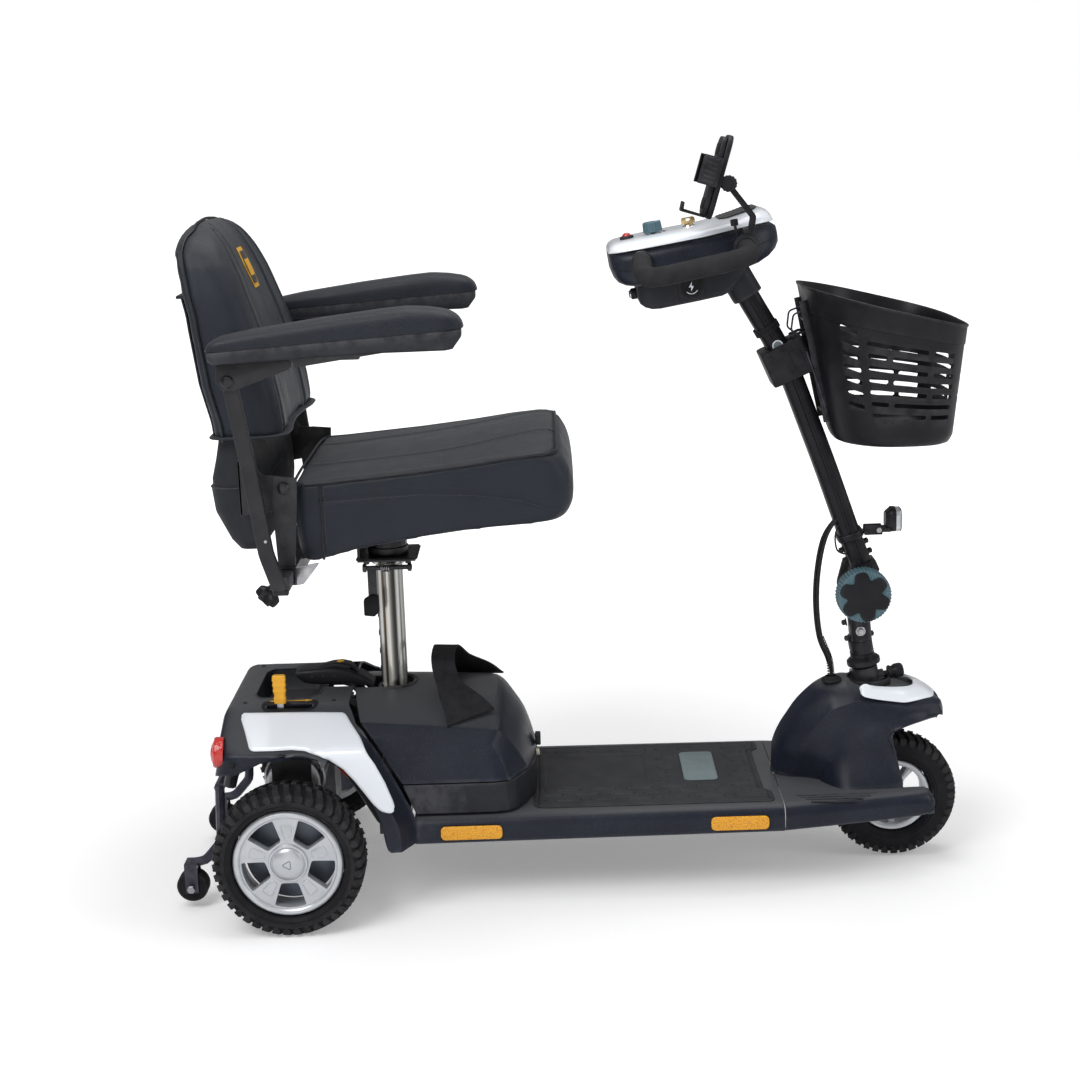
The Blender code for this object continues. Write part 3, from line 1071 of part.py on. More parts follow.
dome = loft([dome_ring(*station) for station in DOME_STATIONS])
inside = []
for x, top, half in DOME_STATIONS:
    shift = 0.004 if x < 0.8 else -0.0045 if x > 1.0 else 0.0
    inside.append(dome_ring(x + shift, top - 0.0045, half - 0.0042, base=DECK_TOP - 0.01))
cut(dome, loft(inside))
# the nose is open from below
cut(dome, prism_y([(0.9460, 0.10), (0.9460, 0.1640), (0.9280, 0.2100), (0.9580, 0.2290),
                   (1.0120, 0.2330), (1.06, 0.2360), (1.06, 0.10)], -0.2, 0.2))
# openings for the head tube and the plunger, and a round hole behind them on the right
cut(dome, cyl(steer(0.2700), steer(0.3300), 0.0290))
cut(dome, box((0.9050, -0.0150, 0.2700), (0.9780, 0.0150, 0.3300)))
cut(dome, cyl((0.8443, -0.0150, 0.28), (0.8443, -0.0150, 0.31), 0.0090, 12))
finish("front_shroud", dome, PAINT)

# white insert on the nose: a patch of thin skin over the dome, open round the plunger
trim = dome_skin(0.0030)
cut(trim, dome_skin(0.0010))
patch = mirrored([(0.9020, -0.0520), (0.9280, -0.0560), (0.9760, -0.0540), (1.0080, -0.0300)])
combine(trim, [prism_z(patch, 0.2560, 0.3100)], "INTERSECT")
cut(trim, prism_z(mirrored([(0.8600, -0.0400), (0.9200, -0.0400), (0.9800, -0.0180)]),
                  0.24, 0.33))
finish("front_trim", trim, WHITE)
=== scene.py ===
"""Looks of a three-wheeled mobility scooter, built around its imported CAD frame.

Metres, +X forward, +Y left, +Z up. Shapes are written in the design frame, whose x = 0 is the
rear axle and y = 0 the centre plane; add() moves them by AXLE_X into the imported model's frame.
A side of -1 is the right and +1 the left.
"""
import math
from contextlib import contextmanager

import bmesh
import bpy
import numpy as np
from mathutils import Matrix, Vector
from mathutils.bvhtree import BVHTree
from mathutils.kdtree import KDTree


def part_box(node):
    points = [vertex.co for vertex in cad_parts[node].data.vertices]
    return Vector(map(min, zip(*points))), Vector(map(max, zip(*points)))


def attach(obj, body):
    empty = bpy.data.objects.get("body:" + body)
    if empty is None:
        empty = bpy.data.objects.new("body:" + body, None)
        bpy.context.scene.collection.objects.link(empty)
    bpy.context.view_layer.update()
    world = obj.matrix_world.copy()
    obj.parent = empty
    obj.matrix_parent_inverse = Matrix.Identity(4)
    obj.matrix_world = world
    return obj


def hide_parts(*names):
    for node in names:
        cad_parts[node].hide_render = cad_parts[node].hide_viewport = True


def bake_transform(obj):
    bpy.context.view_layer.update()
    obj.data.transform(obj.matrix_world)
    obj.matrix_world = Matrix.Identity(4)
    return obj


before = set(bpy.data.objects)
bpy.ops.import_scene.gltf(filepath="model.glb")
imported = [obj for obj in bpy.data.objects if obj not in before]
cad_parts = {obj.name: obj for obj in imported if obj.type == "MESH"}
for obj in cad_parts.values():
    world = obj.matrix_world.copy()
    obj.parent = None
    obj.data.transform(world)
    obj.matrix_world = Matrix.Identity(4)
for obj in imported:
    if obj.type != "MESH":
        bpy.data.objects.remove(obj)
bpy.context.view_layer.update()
_tyre_lo, _tyre_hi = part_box("rear_tyre_right")
AXLE_X = (_tyre_lo.x + _tyre_hi.x) / 2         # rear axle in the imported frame
scene = bpy.context.scene
Vec = Vector
pi = math.pi
SIDES = (("right", -1), ("left", 1))
Y_AXIS = (0, 1, 0)
Z_AXIS = (0, 0, 1)


# ============================================================ mesh helpers
@contextmanager
def editing(me):
    bm = bmesh.new()
    bm.from_mesh(me)
    yield bm
    bm.to_mesh(me)
    bm.free()


def link(me):
    ob = bpy.data.objects.new("part", me)
    scene.collection.objects.link(ob)
    return ob


def mesh(verts, faces):
    me = bpy.data.meshes.new("part")
    me.from_pydata([tuple(v) for v in verts], [], [tuple(f) for f in faces])
    with editing(me) as bm:
        bmesh.ops.recalc_face_normals(bm, faces=bm.faces)
    return link(me)


def bake(ob):
    dg = bpy.context.evaluated_depsgraph_get()
    dg.update()
    me = bpy.data.meshes.new_from_object(ob.evaluated_get(dg))
    ob.modifiers.clear()
    old = ob.data
    ob.data = me
    bpy.data.meshes.remove(old)
    return ob


def modify(ob, kind, **settings):
    """Applies one modifier."""
    m = ob.modifiers.new(kind.lower(), kind)
    for key, value in settings.items():
        setattr(m, key, value)
    return bake(ob)


def bevel(ob, width, seg=2, angle=35):
    return modify(ob, "BEVEL", width=width, segments=seg, limit_method="ANGLE",
                  angle_limit=math.radians(angle), harden_normals=False, use_clamp_overlap=True)


def solid(ob, thickness, offset=-1):
    return modify(ob, "SOLIDIFY", thickness=thickness, offset=offset, use_even_offset=True)


def solid_inward(ob, thickness, z_limit):
    """Thickens a sheet on the side that keeps it below z_limit, found on a trial copy."""
    trial = ob.copy()
    trial.data = ob.data.copy()
    scene.collection.objects.link(trial)
    solid(trial, thickness, -1)
    grows = max(v.co.z for v in trial.data.vertices) > z_limit
    bpy.data.objects.remove(trial, do_unlink=True)
    return solid(ob, thickness, 1 if grows else -1)


def weld(ob, dist):
    with editing(ob.data) as bm:
        bmesh.ops.remove_doubles(bm, verts=bm.verts, dist=dist)
        bmesh.ops.dissolve_degenerate(bm, edges=bm.edges, dist=1e-6)
        bmesh.ops.recalc_face_normals(bm, faces=bm.faces)
    return ob


def cut(ob, *cutters):
    for cutter in cutters:
        modify(ob, "BOOLEAN", operation="DIFFERENCE", solver="EXACT", object=cutter)
        bpy.data.objects.remove(cutter, do_unlink=True)
    return ob


def merge(*obs):
    """Several meshes as the loose parts of one object."""
    bm = bmesh.new()
    for o in obs:
        bm.from_mesh(o.data)
    me = bpy.data.meshes.new("part")
    bm.to_mesh(me)
    bm.free()
    for o in obs:
        bpy.data.objects.remove(o, do_unlink=True)
    return link(me)


def frame_on(origin, axis, up=None):
    """Matrix with its z along axis and, if up is given, its x towards up."""
    z = Vec(axis).normalized()
    if up is None:
        turn = Vec((0, 0, 1)).rotation_difference(z)
        return Matrix.Translation(Vec(origin)) @ turn.to_matrix().to_4x4()
    x = (Vec(up) - z * Vec(up).dot(z)).normalized()
    y = z.cross(x)
    return Matrix.Translation(Vec(origin)) @ Matrix((x, y, z)).transposed().to_4x4()


def skin(verts, faces, rings, cap=(True, True), closed=True, ring=False):
    """Appends the faces that join equal rings of points; ring = the last joins the first."""
    base, n, m = len(verts), len(rings[0]), len(rings)
    verts += [p for r in rings for p in r]
    if cap[0]:
        faces.append(tuple(base + i for i in range(n - 1, -1, -1)))
    if cap[1]:
        faces.append(tuple(base + (m - 1) * n + i for i in range(n)))
    for k in range(m if ring else m - 1):
        a, b = base + k * n, base + (k + 1) % m * n
        for i in range(n if closed else n - 1):
            j = (i + 1) % n
            faces.append((a + i, a + j, b + j, b + i))


def loft(rings, **how):
    verts, faces = [], []
    skin(verts, faces, rings, **how)
    return mesh(verts, faces)


def grid(rows):
    return loft(rows, cap=(False, False), closed=False)


def circle(r, n):
    return [(r * math.cos(2 * pi * i / n), r * math.sin(2 * pi * i / n)) for i in range(n)]


def rrect(w, h, r, n=4):
    """Rounded rectangle about the origin from its half sizes."""
    pts = []
    for cx, cy, a0 in ((w - r, h - r, 0), (-(w - r), h - r, 90),
                       (-(w - r), -(h - r), 180), (w - r, -(h - r), 270)):
        for i in range(n + 1):
            a = math.radians(a0 + 90 * i / n)
            pts.append((cx + r * math.cos(a), cy + r * math.sin(a)))
    return pts


def lathe(prof, origin, axis, segs=48, ring=False):
    """Solid of revolution of (radius, height) points; ring = a closed profile off the axis."""
    m = frame_on(origin, axis)
    rings = [[m @ Vec((x, y, h)) for x, y in circle(r, segs)] for r, h in prof]
    return loft(rings, cap=(not ring, not ring), ring=ring)


def rod(p, q, r, segs=24, chamfer=0.0):
    p, q = Vec(p), Vec(q)
    d = (q - p).length
    prof = [(r, 0), (r, d)]
    if chamfer:
        prof = [(r - chamfer, 0), (r, chamfer), (r, d - chamfer), (r - chamfer, d)]
    return lathe(prof, p, q - p, segs)


def slab(poly, origin, axis, up, h, r=0.0, seg=3):
    """Polygon in the plane through origin with normal axis, extruded h, edges rounded by r."""
    m = frame_on(origin, axis, up)
    ob = loft([[m @ Vec((a, b, z)) for a, b in poly] for z in (0.0, h)])
    return bevel(ob, r, seg) if r else ob


def prism_z(poly, z0, z1):
    return loft([[(x, y, z) for x, y in poly] for z in (z0, z1)])


def prism_y(poly, y0, y1, r=0.0, seg=2):
    ob = loft([[(x, y, z) for x, z in poly] for y in (y0, y1)])
    return bevel(ob, r, seg) if r else ob


def block(xs, ys, zs, r=0.002, seg=3):
    ob = prism_z([(xs[0], ys[0]), (xs[1], ys[0]), (xs[1], ys[1]), (xs[0], ys[1])], *zs)
    return bevel(ob, r, seg) if r else ob


def span(side, inner, outer):
    """y range on one side of the centre plane."""
    return sorted((side * inner, side * outer))


def resample(points, n):
    """n points along a polyline, spaced evenly by length."""
    out = np.array([tuple(p) for p in points], float)
    s = np.concatenate([[0], np.cumsum(np.linalg.norm(np.diff(out, axis=0), axis=1))])
    return [Vec([float(np.interp(t, s, out[:, d])) for d in range(out.shape[1])])
            for t in np.linspace(0, s[-1], n)]


def spline(points, n):
    """n evenly spaced points along a Catmull-Rom curve through the points."""
    P = [np.array(p, float) for p in points]
    out = []
    for i in range(len(P) - 1):
        p1, p2 = P[i], P[i + 1]
        p0 = P[i - 1] if i else 2 * p1 - p2
        p3 = P[i + 2] if i + 2 < len(P) else 2 * p2 - p1
        for k in range(14):
            t = k / 14
            out.append(0.5 * (2 * p1 + (p2 - p0) * t + (2 * p0 - 5 * p1 + 4 * p2 - p3) * t * t
                              + (3 * p1 - p0 - 3 * p2 + p3) * t ** 3))
    out.append(P[-1])
    return resample(out, n)


def rounded(points, radius, steps=6, closed=False):
    """Polyline with its corners replaced by short quadratic arcs."""
    pts = [Vec(p) for p in points]
    out = [] if closed else [pts[0]]
    m = len(pts)
    for i in range(m) if closed else range(1, m - 1):
        a, b, c = pts[i - 1], pts[i], pts[(i + 1) % m]
        d1, d2 = (a - b), (c - b)
        len1, len2 = d1.length, d2.length
        d1.normalize()
        d2.normalize()
        corner = d1.angle(d2)
        trim = min(radius / max(1e-6, math.tan(corner / 2)), 0.48 * len1, 0.48 * len2)
        for k in range(steps + 1):
            t = k / steps
            out.append((b + d1 * trim) * (1 - t) ** 2 + b * 2 * t * (1 - t)
                       + (b + d2 * trim) * t ** 2)
    if not closed:
        out.append(pts[-1])
    return out


def round_poly(points, radius, steps):
    """Closed (x, y) outline with rounded corners."""
    return [(p.x, p.y) for p in
            rounded([(x, y, 0) for x, y in points], radius, steps, closed=True)]


def round_rect(x0, x1, y0, y1, radius, steps):
    return round_poly([(x0, y0), (x1, y0), (x1, y1), (x0, y1)], radius, steps)


def sweep(path, section, up=Z_AXIS, closed=False):
    """Sweeps (u, v) points along a path; u starts out towards up."""
    path = [Vec(p) for p in path]
    rings, u, n = [], None, len(path)
    for k, p in enumerate(path):
        a = path[k - 1] if (k or closed) else p
        b = path[(k + 1) % n] if (k < n - 1 or closed) else p
        t = (b - a).normalized()
        ref = Vec(up) if u is None else u
        u = ref - t * ref.dot(t)
        if u.length < 1e-6:
            u = Vec((1, 0, 0)) - t * t.x
        u.normalize()
        w = t.cross(u)
        rings.append([p + u * x + w * y for x, y in section])
    return loft(rings, cap=(not closed, not closed), ring=closed)


def interp(x, xs, ys):
    return float(np.interp(x, xs, ys))


def bvh(ob):
    return BVHTree.FromPolygons([v.co.copy() for v in ob.data.vertices],
                                [tuple(p.vertices) for p in ob.data.polygons])


def on_surface(tree, points, lift=0.0):
    """Nearest surface points raised by lift, each with its normal."""
    out = []
    for p in points:
        loc, normal, _, _ = tree.find_nearest(Vec(p))
        out.append((loc + normal * lift, normal))
    return out


def laid(tree, points, lift=0.0):
    return [loc for loc, _ in on_surface(tree, points, lift)]


def path_length(path):
    return sum((b - a).length for a, b in zip(path, path[1:]))


STITCH_PITCH, STITCH_LENGTH, STITCH_LIFT = 0.005, 0.0034, 0.0004


def stitches(tree, path, r):
    """Short thread dashes along a path laid onto a surface."""
    count = max(2, int(path_length(resample(path, 220)) / STITCH_PITCH))
    knots = resample(path, count + 1)
    verts, faces = [], []
    for a, b in zip(knots, knots[1:]):
        mid = (a + b) / 2
        d = (b - a).normalized()
        ends = [mid - d * STITCH_LENGTH / 2, mid, mid + d * STITCH_LENGTH / 2]
        (p, _), (c, normal), (q, _) = on_surface(tree, ends, STITCH_LIFT)
        across = (q - p).normalized().cross(normal)
        if across.length < 1e-6:
            continue
        across.normalize()
        up = across.cross((q - p).normalized())
        rings = []
        for pt, k in ((p - normal * 0.0006, 0.5), (c + normal * r * 0.5, 1.0),
                      (q - normal * 0.0006, 0.5)):
            rings.append([pt + across * (math.cos(2 * pi * i / 6) * r * k)
                          + up * (math.sin(2 * pi * i / 6) * r * k) for i in range(6)])
        skin(verts, faces, rings)
    return mesh(verts, faces)


def bolt(center, direction, r=0.0055, h=0.004, washer=True):
    """Parts of a hex head with a socket dimple and, by default, a washer."""
    obs = []
    if washer:
        obs.append(lathe([(r * 1.55, 0.0), (r * 1.55, 0.001), (r * 1.45, 0.0013)],
                         center, direction, 28))
    seat = Vec(center) + Vec(direction).normalized() * 0.0012
    obs.append(lathe([(r * 0.98, 0.0), (r * 1.12, 0.0006), (r * 1.12, h * 0.8), (r * 0.95, h)],
                     seat, direction, 6))
    obs.append(lathe([(r * 0.45, h * 0.9), (r * 0.45, h * 1.15)], seat, direction, 16))
    return obs


def paint(ob, mat):
    ob.data.materials.clear()
    ob.data.materials.append(mat)
    for p in ob.data.polygons:
        p.material_index = 0


def add(ob, name, body, mat, slot, *nodes, angle=38):
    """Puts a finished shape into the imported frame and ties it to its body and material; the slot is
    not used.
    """
    ob.name = name
    ob.data.transform(Matrix.Translation((AXLE_X, 0, 0)))
    paint(ob, mat)
    ob.data.shade_smooth()
    ob.data.set_sharp_from_angle(angle=math.radians(angle))
    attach(ob, body)
    if nodes:
        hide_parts(*nodes)
    return ob


def add_blend(ob, name, start, end, mat):
    """Like add(), but ties the piece to no body; start and end are not used."""
    ob.name = name
    ob.data.materials.clear()
    ob.data.materials.append(mat)
    ob.data.transform(Matrix.Translation((AXLE_X, 0, 0)))
    for p in ob.data.polygons:
        p.use_smooth = True
    ob.data.set_sharp_from_angle(angle=math.radians(40))
    shift = Vec((AXLE_X, 0, 0))
    tuple(Vec(start) + shift)
    tuple(Vec(end) + shift)
    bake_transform(ob)


def dress(node, mat, edge=None):
    """Gives a carried-over CAD node a material and, with edge, softened edges."""
    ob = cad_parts[node]
    paint(ob, mat)
    if edge:
        m = ob.modifiers.new("soft_edge", "BEVEL")
        m.width, m.segments, m.limit_method, m.angle_limit = edge, 2, "ANGLE", math.radians(35)


# ============================================================ materials
def add_node(tree, kind, **values):
    nd = tree.nodes.new(kind)
    for key, value in values.items():
        nd.inputs[key].default_value = value
    return nd


class Mat:
    """Principled material whose colour and bump are layered by chained calls."""

    def __init__(self, name, base, rough=0.5, metal=0.0, coat=0.0, coat_rough=0.08, spec=0.5):
        self.material = bpy.data.materials.new(name)
        self.material.use_nodes = True
        self.tree = self.material.node_tree
        self.shader = self.tree.nodes["Principled BSDF"]
        if max(base) < 0.06:                       # dark plastics and paints: low, soft sheen
            spec, coat = spec * 0.55, coat * 0.55
        rgb = self.node("ShaderNodeRGB")
        rgb.outputs[0].default_value = (*base, 1)
        self.col = rgb.outputs[0]
        for key, value in (("Roughness", rough), ("Metallic", metal), ("Coat Weight", coat),
                           ("Coat Roughness", coat_rough), ("Specular IOR Level", spec)):
            self.set(key, value)
        self.material.diffuse_color = (*base, 1)
        coords = self.node("ShaderNodeTexCoord")
        self.co = coords.outputs["Object"]
        self.normal = coords.outputs["Normal"]
        self.bumps = []
        self.base_rough = rough

    def node(self, kind, **values):
        return add_node(self.tree, kind, **values)

    def set(self, key, value):
        self.shader.inputs[key].default_value = value

    def link(self, a, b):
        self.tree.links.new(a, b)

    def calc(self, op, a, b, clamp=False):
        nd = self.node("ShaderNodeMath")
        nd.operation = op
        nd.use_clamp = clamp
        self.link(a, nd.inputs[0])
        if isinstance(b, (int, float)):
            nd.inputs[1].default_value = b
        else:
            self.link(b, nd.inputs[1])
        return nd.outputs[0]

    def mix(self, fac, color):
        """Mixes color over the colour so far."""
        nd = self.node("ShaderNodeMix")
        nd.data_type = "RGBA"
        self.link(fac, nd.inputs[0])
        self.link(self.col, nd.inputs[6])
        nd.inputs[7].default_value = (*color, 1)
        self.col = nd.outputs[2]
        return self

    def ramp(self, x, lo, hi, a=0.0, b=1.0):
        nd = self.node("ShaderNodeMapRange",
                       **{"From Min": lo, "From Max": hi, "To Min": a, "To Max": b})
        self.link(x, nd.inputs["Value"])
        return nd.outputs[0]

    def texture(self, kind, **values):
        nd = self.node(kind, **values)
        self.link(self.co, nd.inputs["Vector"])
        return nd

    def noise(self, scale, detail=3.0):
        return self.texture("ShaderNodeTexNoise", Scale=scale, Detail=detail,
                            Roughness=0.5).outputs["Fac"]

    def voronoi(self, scale, feature="F1"):
        nd = self.texture("ShaderNodeTexVoronoi", Scale=scale)
        nd.feature = feature
        return nd

    def wave(self, scale, distortion, direction="X"):
        nd = self.texture("ShaderNodeTexWave", Scale=scale, Distortion=distortion)
        nd.bands_direction = direction
        return nd.outputs["Fac"]

    def facing(self, axis, lo, hi):
        """Runs from 0 to 1 as the normal's axis component goes from lo to hi."""
        nd = self.node("ShaderNodeSeparateXYZ")
        self.link(self.normal, nd.inputs[0])
        return self.ramp(nd.outputs[axis], lo, hi)

    def vary(self, color, scale):
        return self.mix(self.ramp(self.noise(scale, 5.0), 0.35, 0.7), color)

    def top(self, color, lo, hi):
        """Painted light: another, lighter colour where the surface faces up, standing in for the
        light on upward faces.
        """
        return self.mix(self.facing("Z", lo, hi), color)

    def speck(self, color, scale, size):
        nd = self.voronoi(scale)
        sep = self.node("ShaderNodeSeparateColor")
        self.link(nd.outputs["Color"], sep.inputs[0])
        pick = self.ramp(sep.outputs[0], 0.55, 1.0)
        inside = self.calc("LESS_THAN", nd.outputs["Distance"], size)
        return self.mix(self.calc("MULTIPLY", inside, pick), color)

    def wear(self, color, lo=0.52, hi=0.6, amount=0.6):
        """Lighter convex edges."""
        geo = self.node("ShaderNodeNewGeometry")
        edge = self.calc("MULTIPLY", self.ramp(geo.outputs["Pointiness"], lo, hi), amount, True)
        return self.mix(self.calc("MULTIPLY", edge, self.ramp(self.noise(60.0), 0.3, 0.6)), color)

    def roughen(self, scale, amount):
        low = max(0.02, self.base_rough - amount)
        self.link(self.ramp(self.noise(scale, 4.0), 0.3, 0.7, low, self.base_rough + amount),
                  self.shader.inputs["Roughness"])
        return self

    def bump(self, src, strength, depth):
        self.bumps.append((src, strength, depth))
        return self

    def grain(self, scale, strength, depth, detail=2.0):
        return self.bump(self.noise(scale, detail), strength, depth)

    def cells(self, scale, strength, depth):
        return self.bump(self.voronoi(scale).outputs["Distance"], strength, depth)

    def done(self):
        self.link(self.col, self.shader.inputs["Base Color"])
        prev = None
        for src, strength, depth in self.bumps:
            nd = self.node("ShaderNodeBump", Strength=strength, Distance=depth)
            self.link(src, nd.inputs["Height"])
            if prev:
                self.link(prev, nd.inputs["Normal"])
            prev = nd.outputs[0]
        if prev:
            self.link(prev, self.shader.inputs["Normal"])
        return self.material


# The .top colour is painted light: a lighter sheen on the upward faces of the shell.
PAINT = (Mat("speckled_shell", (0.009, 0.011, 0.02), rough=0.36, spec=0.5)
         .vary((0.014, 0.017, 0.028), scale=14)
         .speck((0.13, 0.17, 0.3), scale=950, size=0.2)
         .top((0.08, 0.082, 0.088), lo=0.72, hi=0.97)
         .grain(scale=1500, strength=0.28, depth=0.0003)
         .roughen(scale=30, amount=0.05).wear((0.07, 0.075, 0.09)).done())
# The .top colour is painted light: upward faces are lighter.
TEXTURED = (Mat("textured_shell", (0.017, 0.018, 0.022), rough=0.5, spec=0.4)
            .vary((0.025, 0.026, 0.031), scale=20).top((0.052, 0.053, 0.057), lo=0.6, hi=0.95)
            .cells(scale=1400, strength=0.25, depth=0.0002)
            .grain(scale=500, strength=0.15, depth=0.0003)
            .roughen(scale=25, amount=0.06).wear((0.1, 0.1, 0.11)).done())
MOULDED = (Mat("moulded_black", (0.008, 0.008, 0.01), rough=0.4, spec=0.4)
           .vary((0.013, 0.013, 0.016), scale=30)
           .grain(scale=1300, strength=0.18, depth=0.0002)
           .roughen(scale=40, amount=0.07).wear((0.06, 0.06, 0.065)).done())
GLOSS_BLACK = (Mat("gloss_black", (0.008, 0.008, 0.01), rough=0.14, coat=0.4, spec=0.5)
               .vary((0.012, 0.012, 0.014), scale=20)
               .grain(scale=300, strength=0.03, depth=0.0002).done())
WHITE = (Mat("gloss_white", (0.88, 0.92, 0.97), rough=0.2, coat=0.6, coat_rough=0.06)
         .vary((0.84, 0.88, 0.94), scale=6).grain(scale=220, strength=0.02, depth=0.0003)
         .roughen(scale=18, amount=0.03).done())
RUBBER = (Mat("tyre_rubber", (0.008, 0.008, 0.01), rough=0.66, spec=0.35)
          .vary((0.014, 0.014, 0.016), scale=35).grain(scale=900, strength=0.3, depth=0.0003)
          .roughen(scale=45, amount=0.08)
          .wear((0.055, 0.055, 0.056), lo=0.52, hi=0.62, amount=0.5).done())
MAT_RUBBER = (Mat("mat_rubber", (0.026, 0.027, 0.03), rough=0.55, spec=0.6)
              .vary((0.038, 0.039, 0.043), scale=30)
              .cells(scale=1200, strength=0.22, depth=0.0002)
              .grain(scale=700, strength=0.2, depth=0.0002).wear((0.07, 0.07, 0.072)).done())
SILVER = (Mat("silver_wheel", (0.58, 0.6, 0.63), rough=0.33, metal=0.55, spec=0.5)
          .vary((0.52, 0.54, 0.57), scale=25).grain(scale=1600, strength=0.1, depth=0.0002)
          .roughen(scale=40, amount=0.05).wear((0.78, 0.79, 0.81)).done())
# Darker copy of the silver, as painted shade, for the wheels' inner faces, the cap marks and the
# headlight bezel.
SILVER_SHADED = (Mat("silver_shaded", (0.15, 0.17, 0.2), rough=0.42, metal=0.5)
               .vary((0.11, 0.13, 0.16), scale=30)
               .grain(scale=1400, strength=0.1, depth=0.0002).done())
STEEL = (Mat("violet_steel", (0.026, 0.024, 0.04), rough=0.33, metal=0.15, coat=0.25,
             coat_rough=0.2)
         .vary((0.036, 0.034, 0.052), scale=18).grain(scale=1100, strength=0.16, depth=0.0002)
         .roughen(scale=30, amount=0.05).wear((0.1, 0.1, 0.13)).done())
BLACK_STEEL = (Mat("black_steel", (0.014, 0.014, 0.016), rough=0.38, metal=0.1, coat=0.2,
                   coat_rough=0.25)
               .vary((0.022, 0.022, 0.025), scale=25)
               .grain(scale=1000, strength=0.2, depth=0.0002)
               .roughen(scale=30, amount=0.06).wear((0.08, 0.08, 0.085)).done())
ZINC = (Mat("zinc_plate", (0.46, 0.46, 0.47), rough=0.34, metal=1.0)
        .vary((0.34, 0.34, 0.36), scale=60).roughen(scale=90, amount=0.1)
        .grain(scale=900, strength=0.08, depth=0.0002).done())
CAST = (Mat("cast_metal", (0.3, 0.3, 0.31), rough=0.45, metal=0.85)
        .vary((0.2, 0.2, 0.22), scale=45).roughen(scale=60, amount=0.1)
        .grain(scale=420, strength=0.3, depth=0.0005).done())
CHROME = (Mat("chrome", (0.78, 0.78, 0.79), rough=0.07, metal=1.0)
          .vary((0.7, 0.7, 0.72), scale=30).roughen(scale=50, amount=0.03)
          .grain(scale=600, strength=0.02, depth=0.0001).done())
# bands of reflection from the tube's rear (0) to its front (1): position, colour
TUBE_BANDS = [
    (0.07, (0.1, 0.1, 0.09)), (0.12, (0.8, 0.8, 0.76)), (0.19, (0.85, 0.84, 0.8)),
    (0.23, (0.16, 0.11, 0.06)), (0.3, (0.05, 0.045, 0.04)), (0.34, (0.62, 0.6, 0.54)),
    (0.44, (0.8, 0.79, 0.74)), (0.5, (0.34, 0.33, 0.29)), (0.56, (0.12, 0.11, 0.1)),
    (0.62, (0.03, 0.03, 0.03)), (0.7, (0.025, 0.025, 0.025)), (0.74, (0.4, 0.4, 0.37)),
    (0.8, (0.75, 0.75, 0.72)), (0.87, (0.3, 0.32, 0.28)), (0.93, (0.55, 0.56, 0.52))]


def chrome_tube():
    """Chrome whose reflections are painted as bands round the upright tube."""
    m = Mat("chrome_tube", (0.5, 0.5, 0.48), rough=0.16, metal=0.45, spec=0.5)
    m.tree.nodes.remove(m.col.node)            # the bands take the place of the flat colour
    position = m.facing("X", -1.0, 1.0)
    bands = m.node("ShaderNodeValToRGB")
    stops = bands.color_ramp.elements
    stops[0].position, stops[0].color = 0.0, (0.03, 0.03, 0.03, 1)
    stops[1].position, stops[1].color = 1.0, (0.04, 0.04, 0.04, 1)
    for at, color in TUBE_BANDS:
        stops.new(at).color = (*color, 1)
    m.link(position, bands.inputs[0])
    m.col = bands.outputs["Color"]
    return m.grain(scale=600, strength=0.02, depth=0.0001).done()


CHROME_TUBE = chrome_tube()
BRASS = (Mat("brass", (0.62, 0.47, 0.24), rough=0.28, metal=1.0)
         .vary((0.5, 0.37, 0.17), scale=90).roughen(scale=80, amount=0.08)
         .grain(scale=700, strength=0.05, depth=0.0002).done())


def leather(name, side_color, lit_top_color, scale):
    """Pebbled leatherette whose upward faces get a lighter colour as painted light, and whose pebble
    creases are darkened as painted shade.
    """
    m = Mat(name, side_color, rough=0.4, coat=0.12, coat_rough=0.35, spec=0.45)
    m.vary(tuple(c * 1.35 for c in side_color), scale=9)
    # painted light: a lighter colour on the upward faces
    m.top(lit_top_color, lo=0.35, hi=0.92)
    pebble = m.voronoi(scale, "DISTANCE_TO_EDGE").outputs["Distance"]
    m.bump(m.ramp(pebble, 0.0, 0.12), strength=0.42, depth=0.00045)
    m.grain(scale=160, strength=0.16, depth=0.0012, detail=4.0)
    m.roughen(scale=26, amount=0.07)
    # painted shade: darker colour in the creases between the pebbles
    m.mix(m.ramp(pebble, 0.0, 0.07, 0.55, 0.0), tuple(c * 0.5 for c in side_color))
    m.set("Sheen Weight", 0.08)
    return m.done()


# the second colour of each leatherette is painted light on its upward faces
LEATHER = leather("leatherette", (0.01, 0.014, 0.022), (0.03, 0.032, 0.039), scale=520.0)
PIPING = (Mat("piping", (0.014, 0.015, 0.019), rough=0.38, coat=0.15, coat_rough=0.3)
          .vary((0.024, 0.025, 0.03), scale=40)
          .cells(scale=900, strength=0.25, depth=0.0002).done())
THREAD = (Mat("thread", (0.05, 0.052, 0.058), rough=0.62)
          .vary((0.075, 0.077, 0.083), scale=300)
          .grain(scale=2500, strength=0.4, depth=0.0002).done())
ARM_LEATHER = leather("arm_leatherette", (0.009, 0.012, 0.019), (0.021, 0.023, 0.03), scale=430)
FOAM = (Mat("foam_grip", (0.022, 0.022, 0.024), rough=0.8, spec=0.25)
        .vary((0.032, 0.032, 0.034), scale=40)
        .cells(scale=1100, strength=0.55, depth=0.0005)
        .grain(scale=500, strength=0.25, depth=0.0006).done())
YELLOW = (Mat("yellow_plastic", (0.86, 0.42, 0.008), rough=0.4, coat=0.15, coat_rough=0.2)
          .vary((0.78, 0.36, 0.006), scale=30)
          .grain(scale=800, strength=0.12, depth=0.0002).wear((0.95, 0.6, 0.08)).done())
RED = (Mat("red_plastic", (0.5, 0.01, 0.008), rough=0.22, coat=0.6)
       .vary((0.4, 0.008, 0.008), scale=40).grain(scale=500, strength=0.04, depth=0.0002).done())
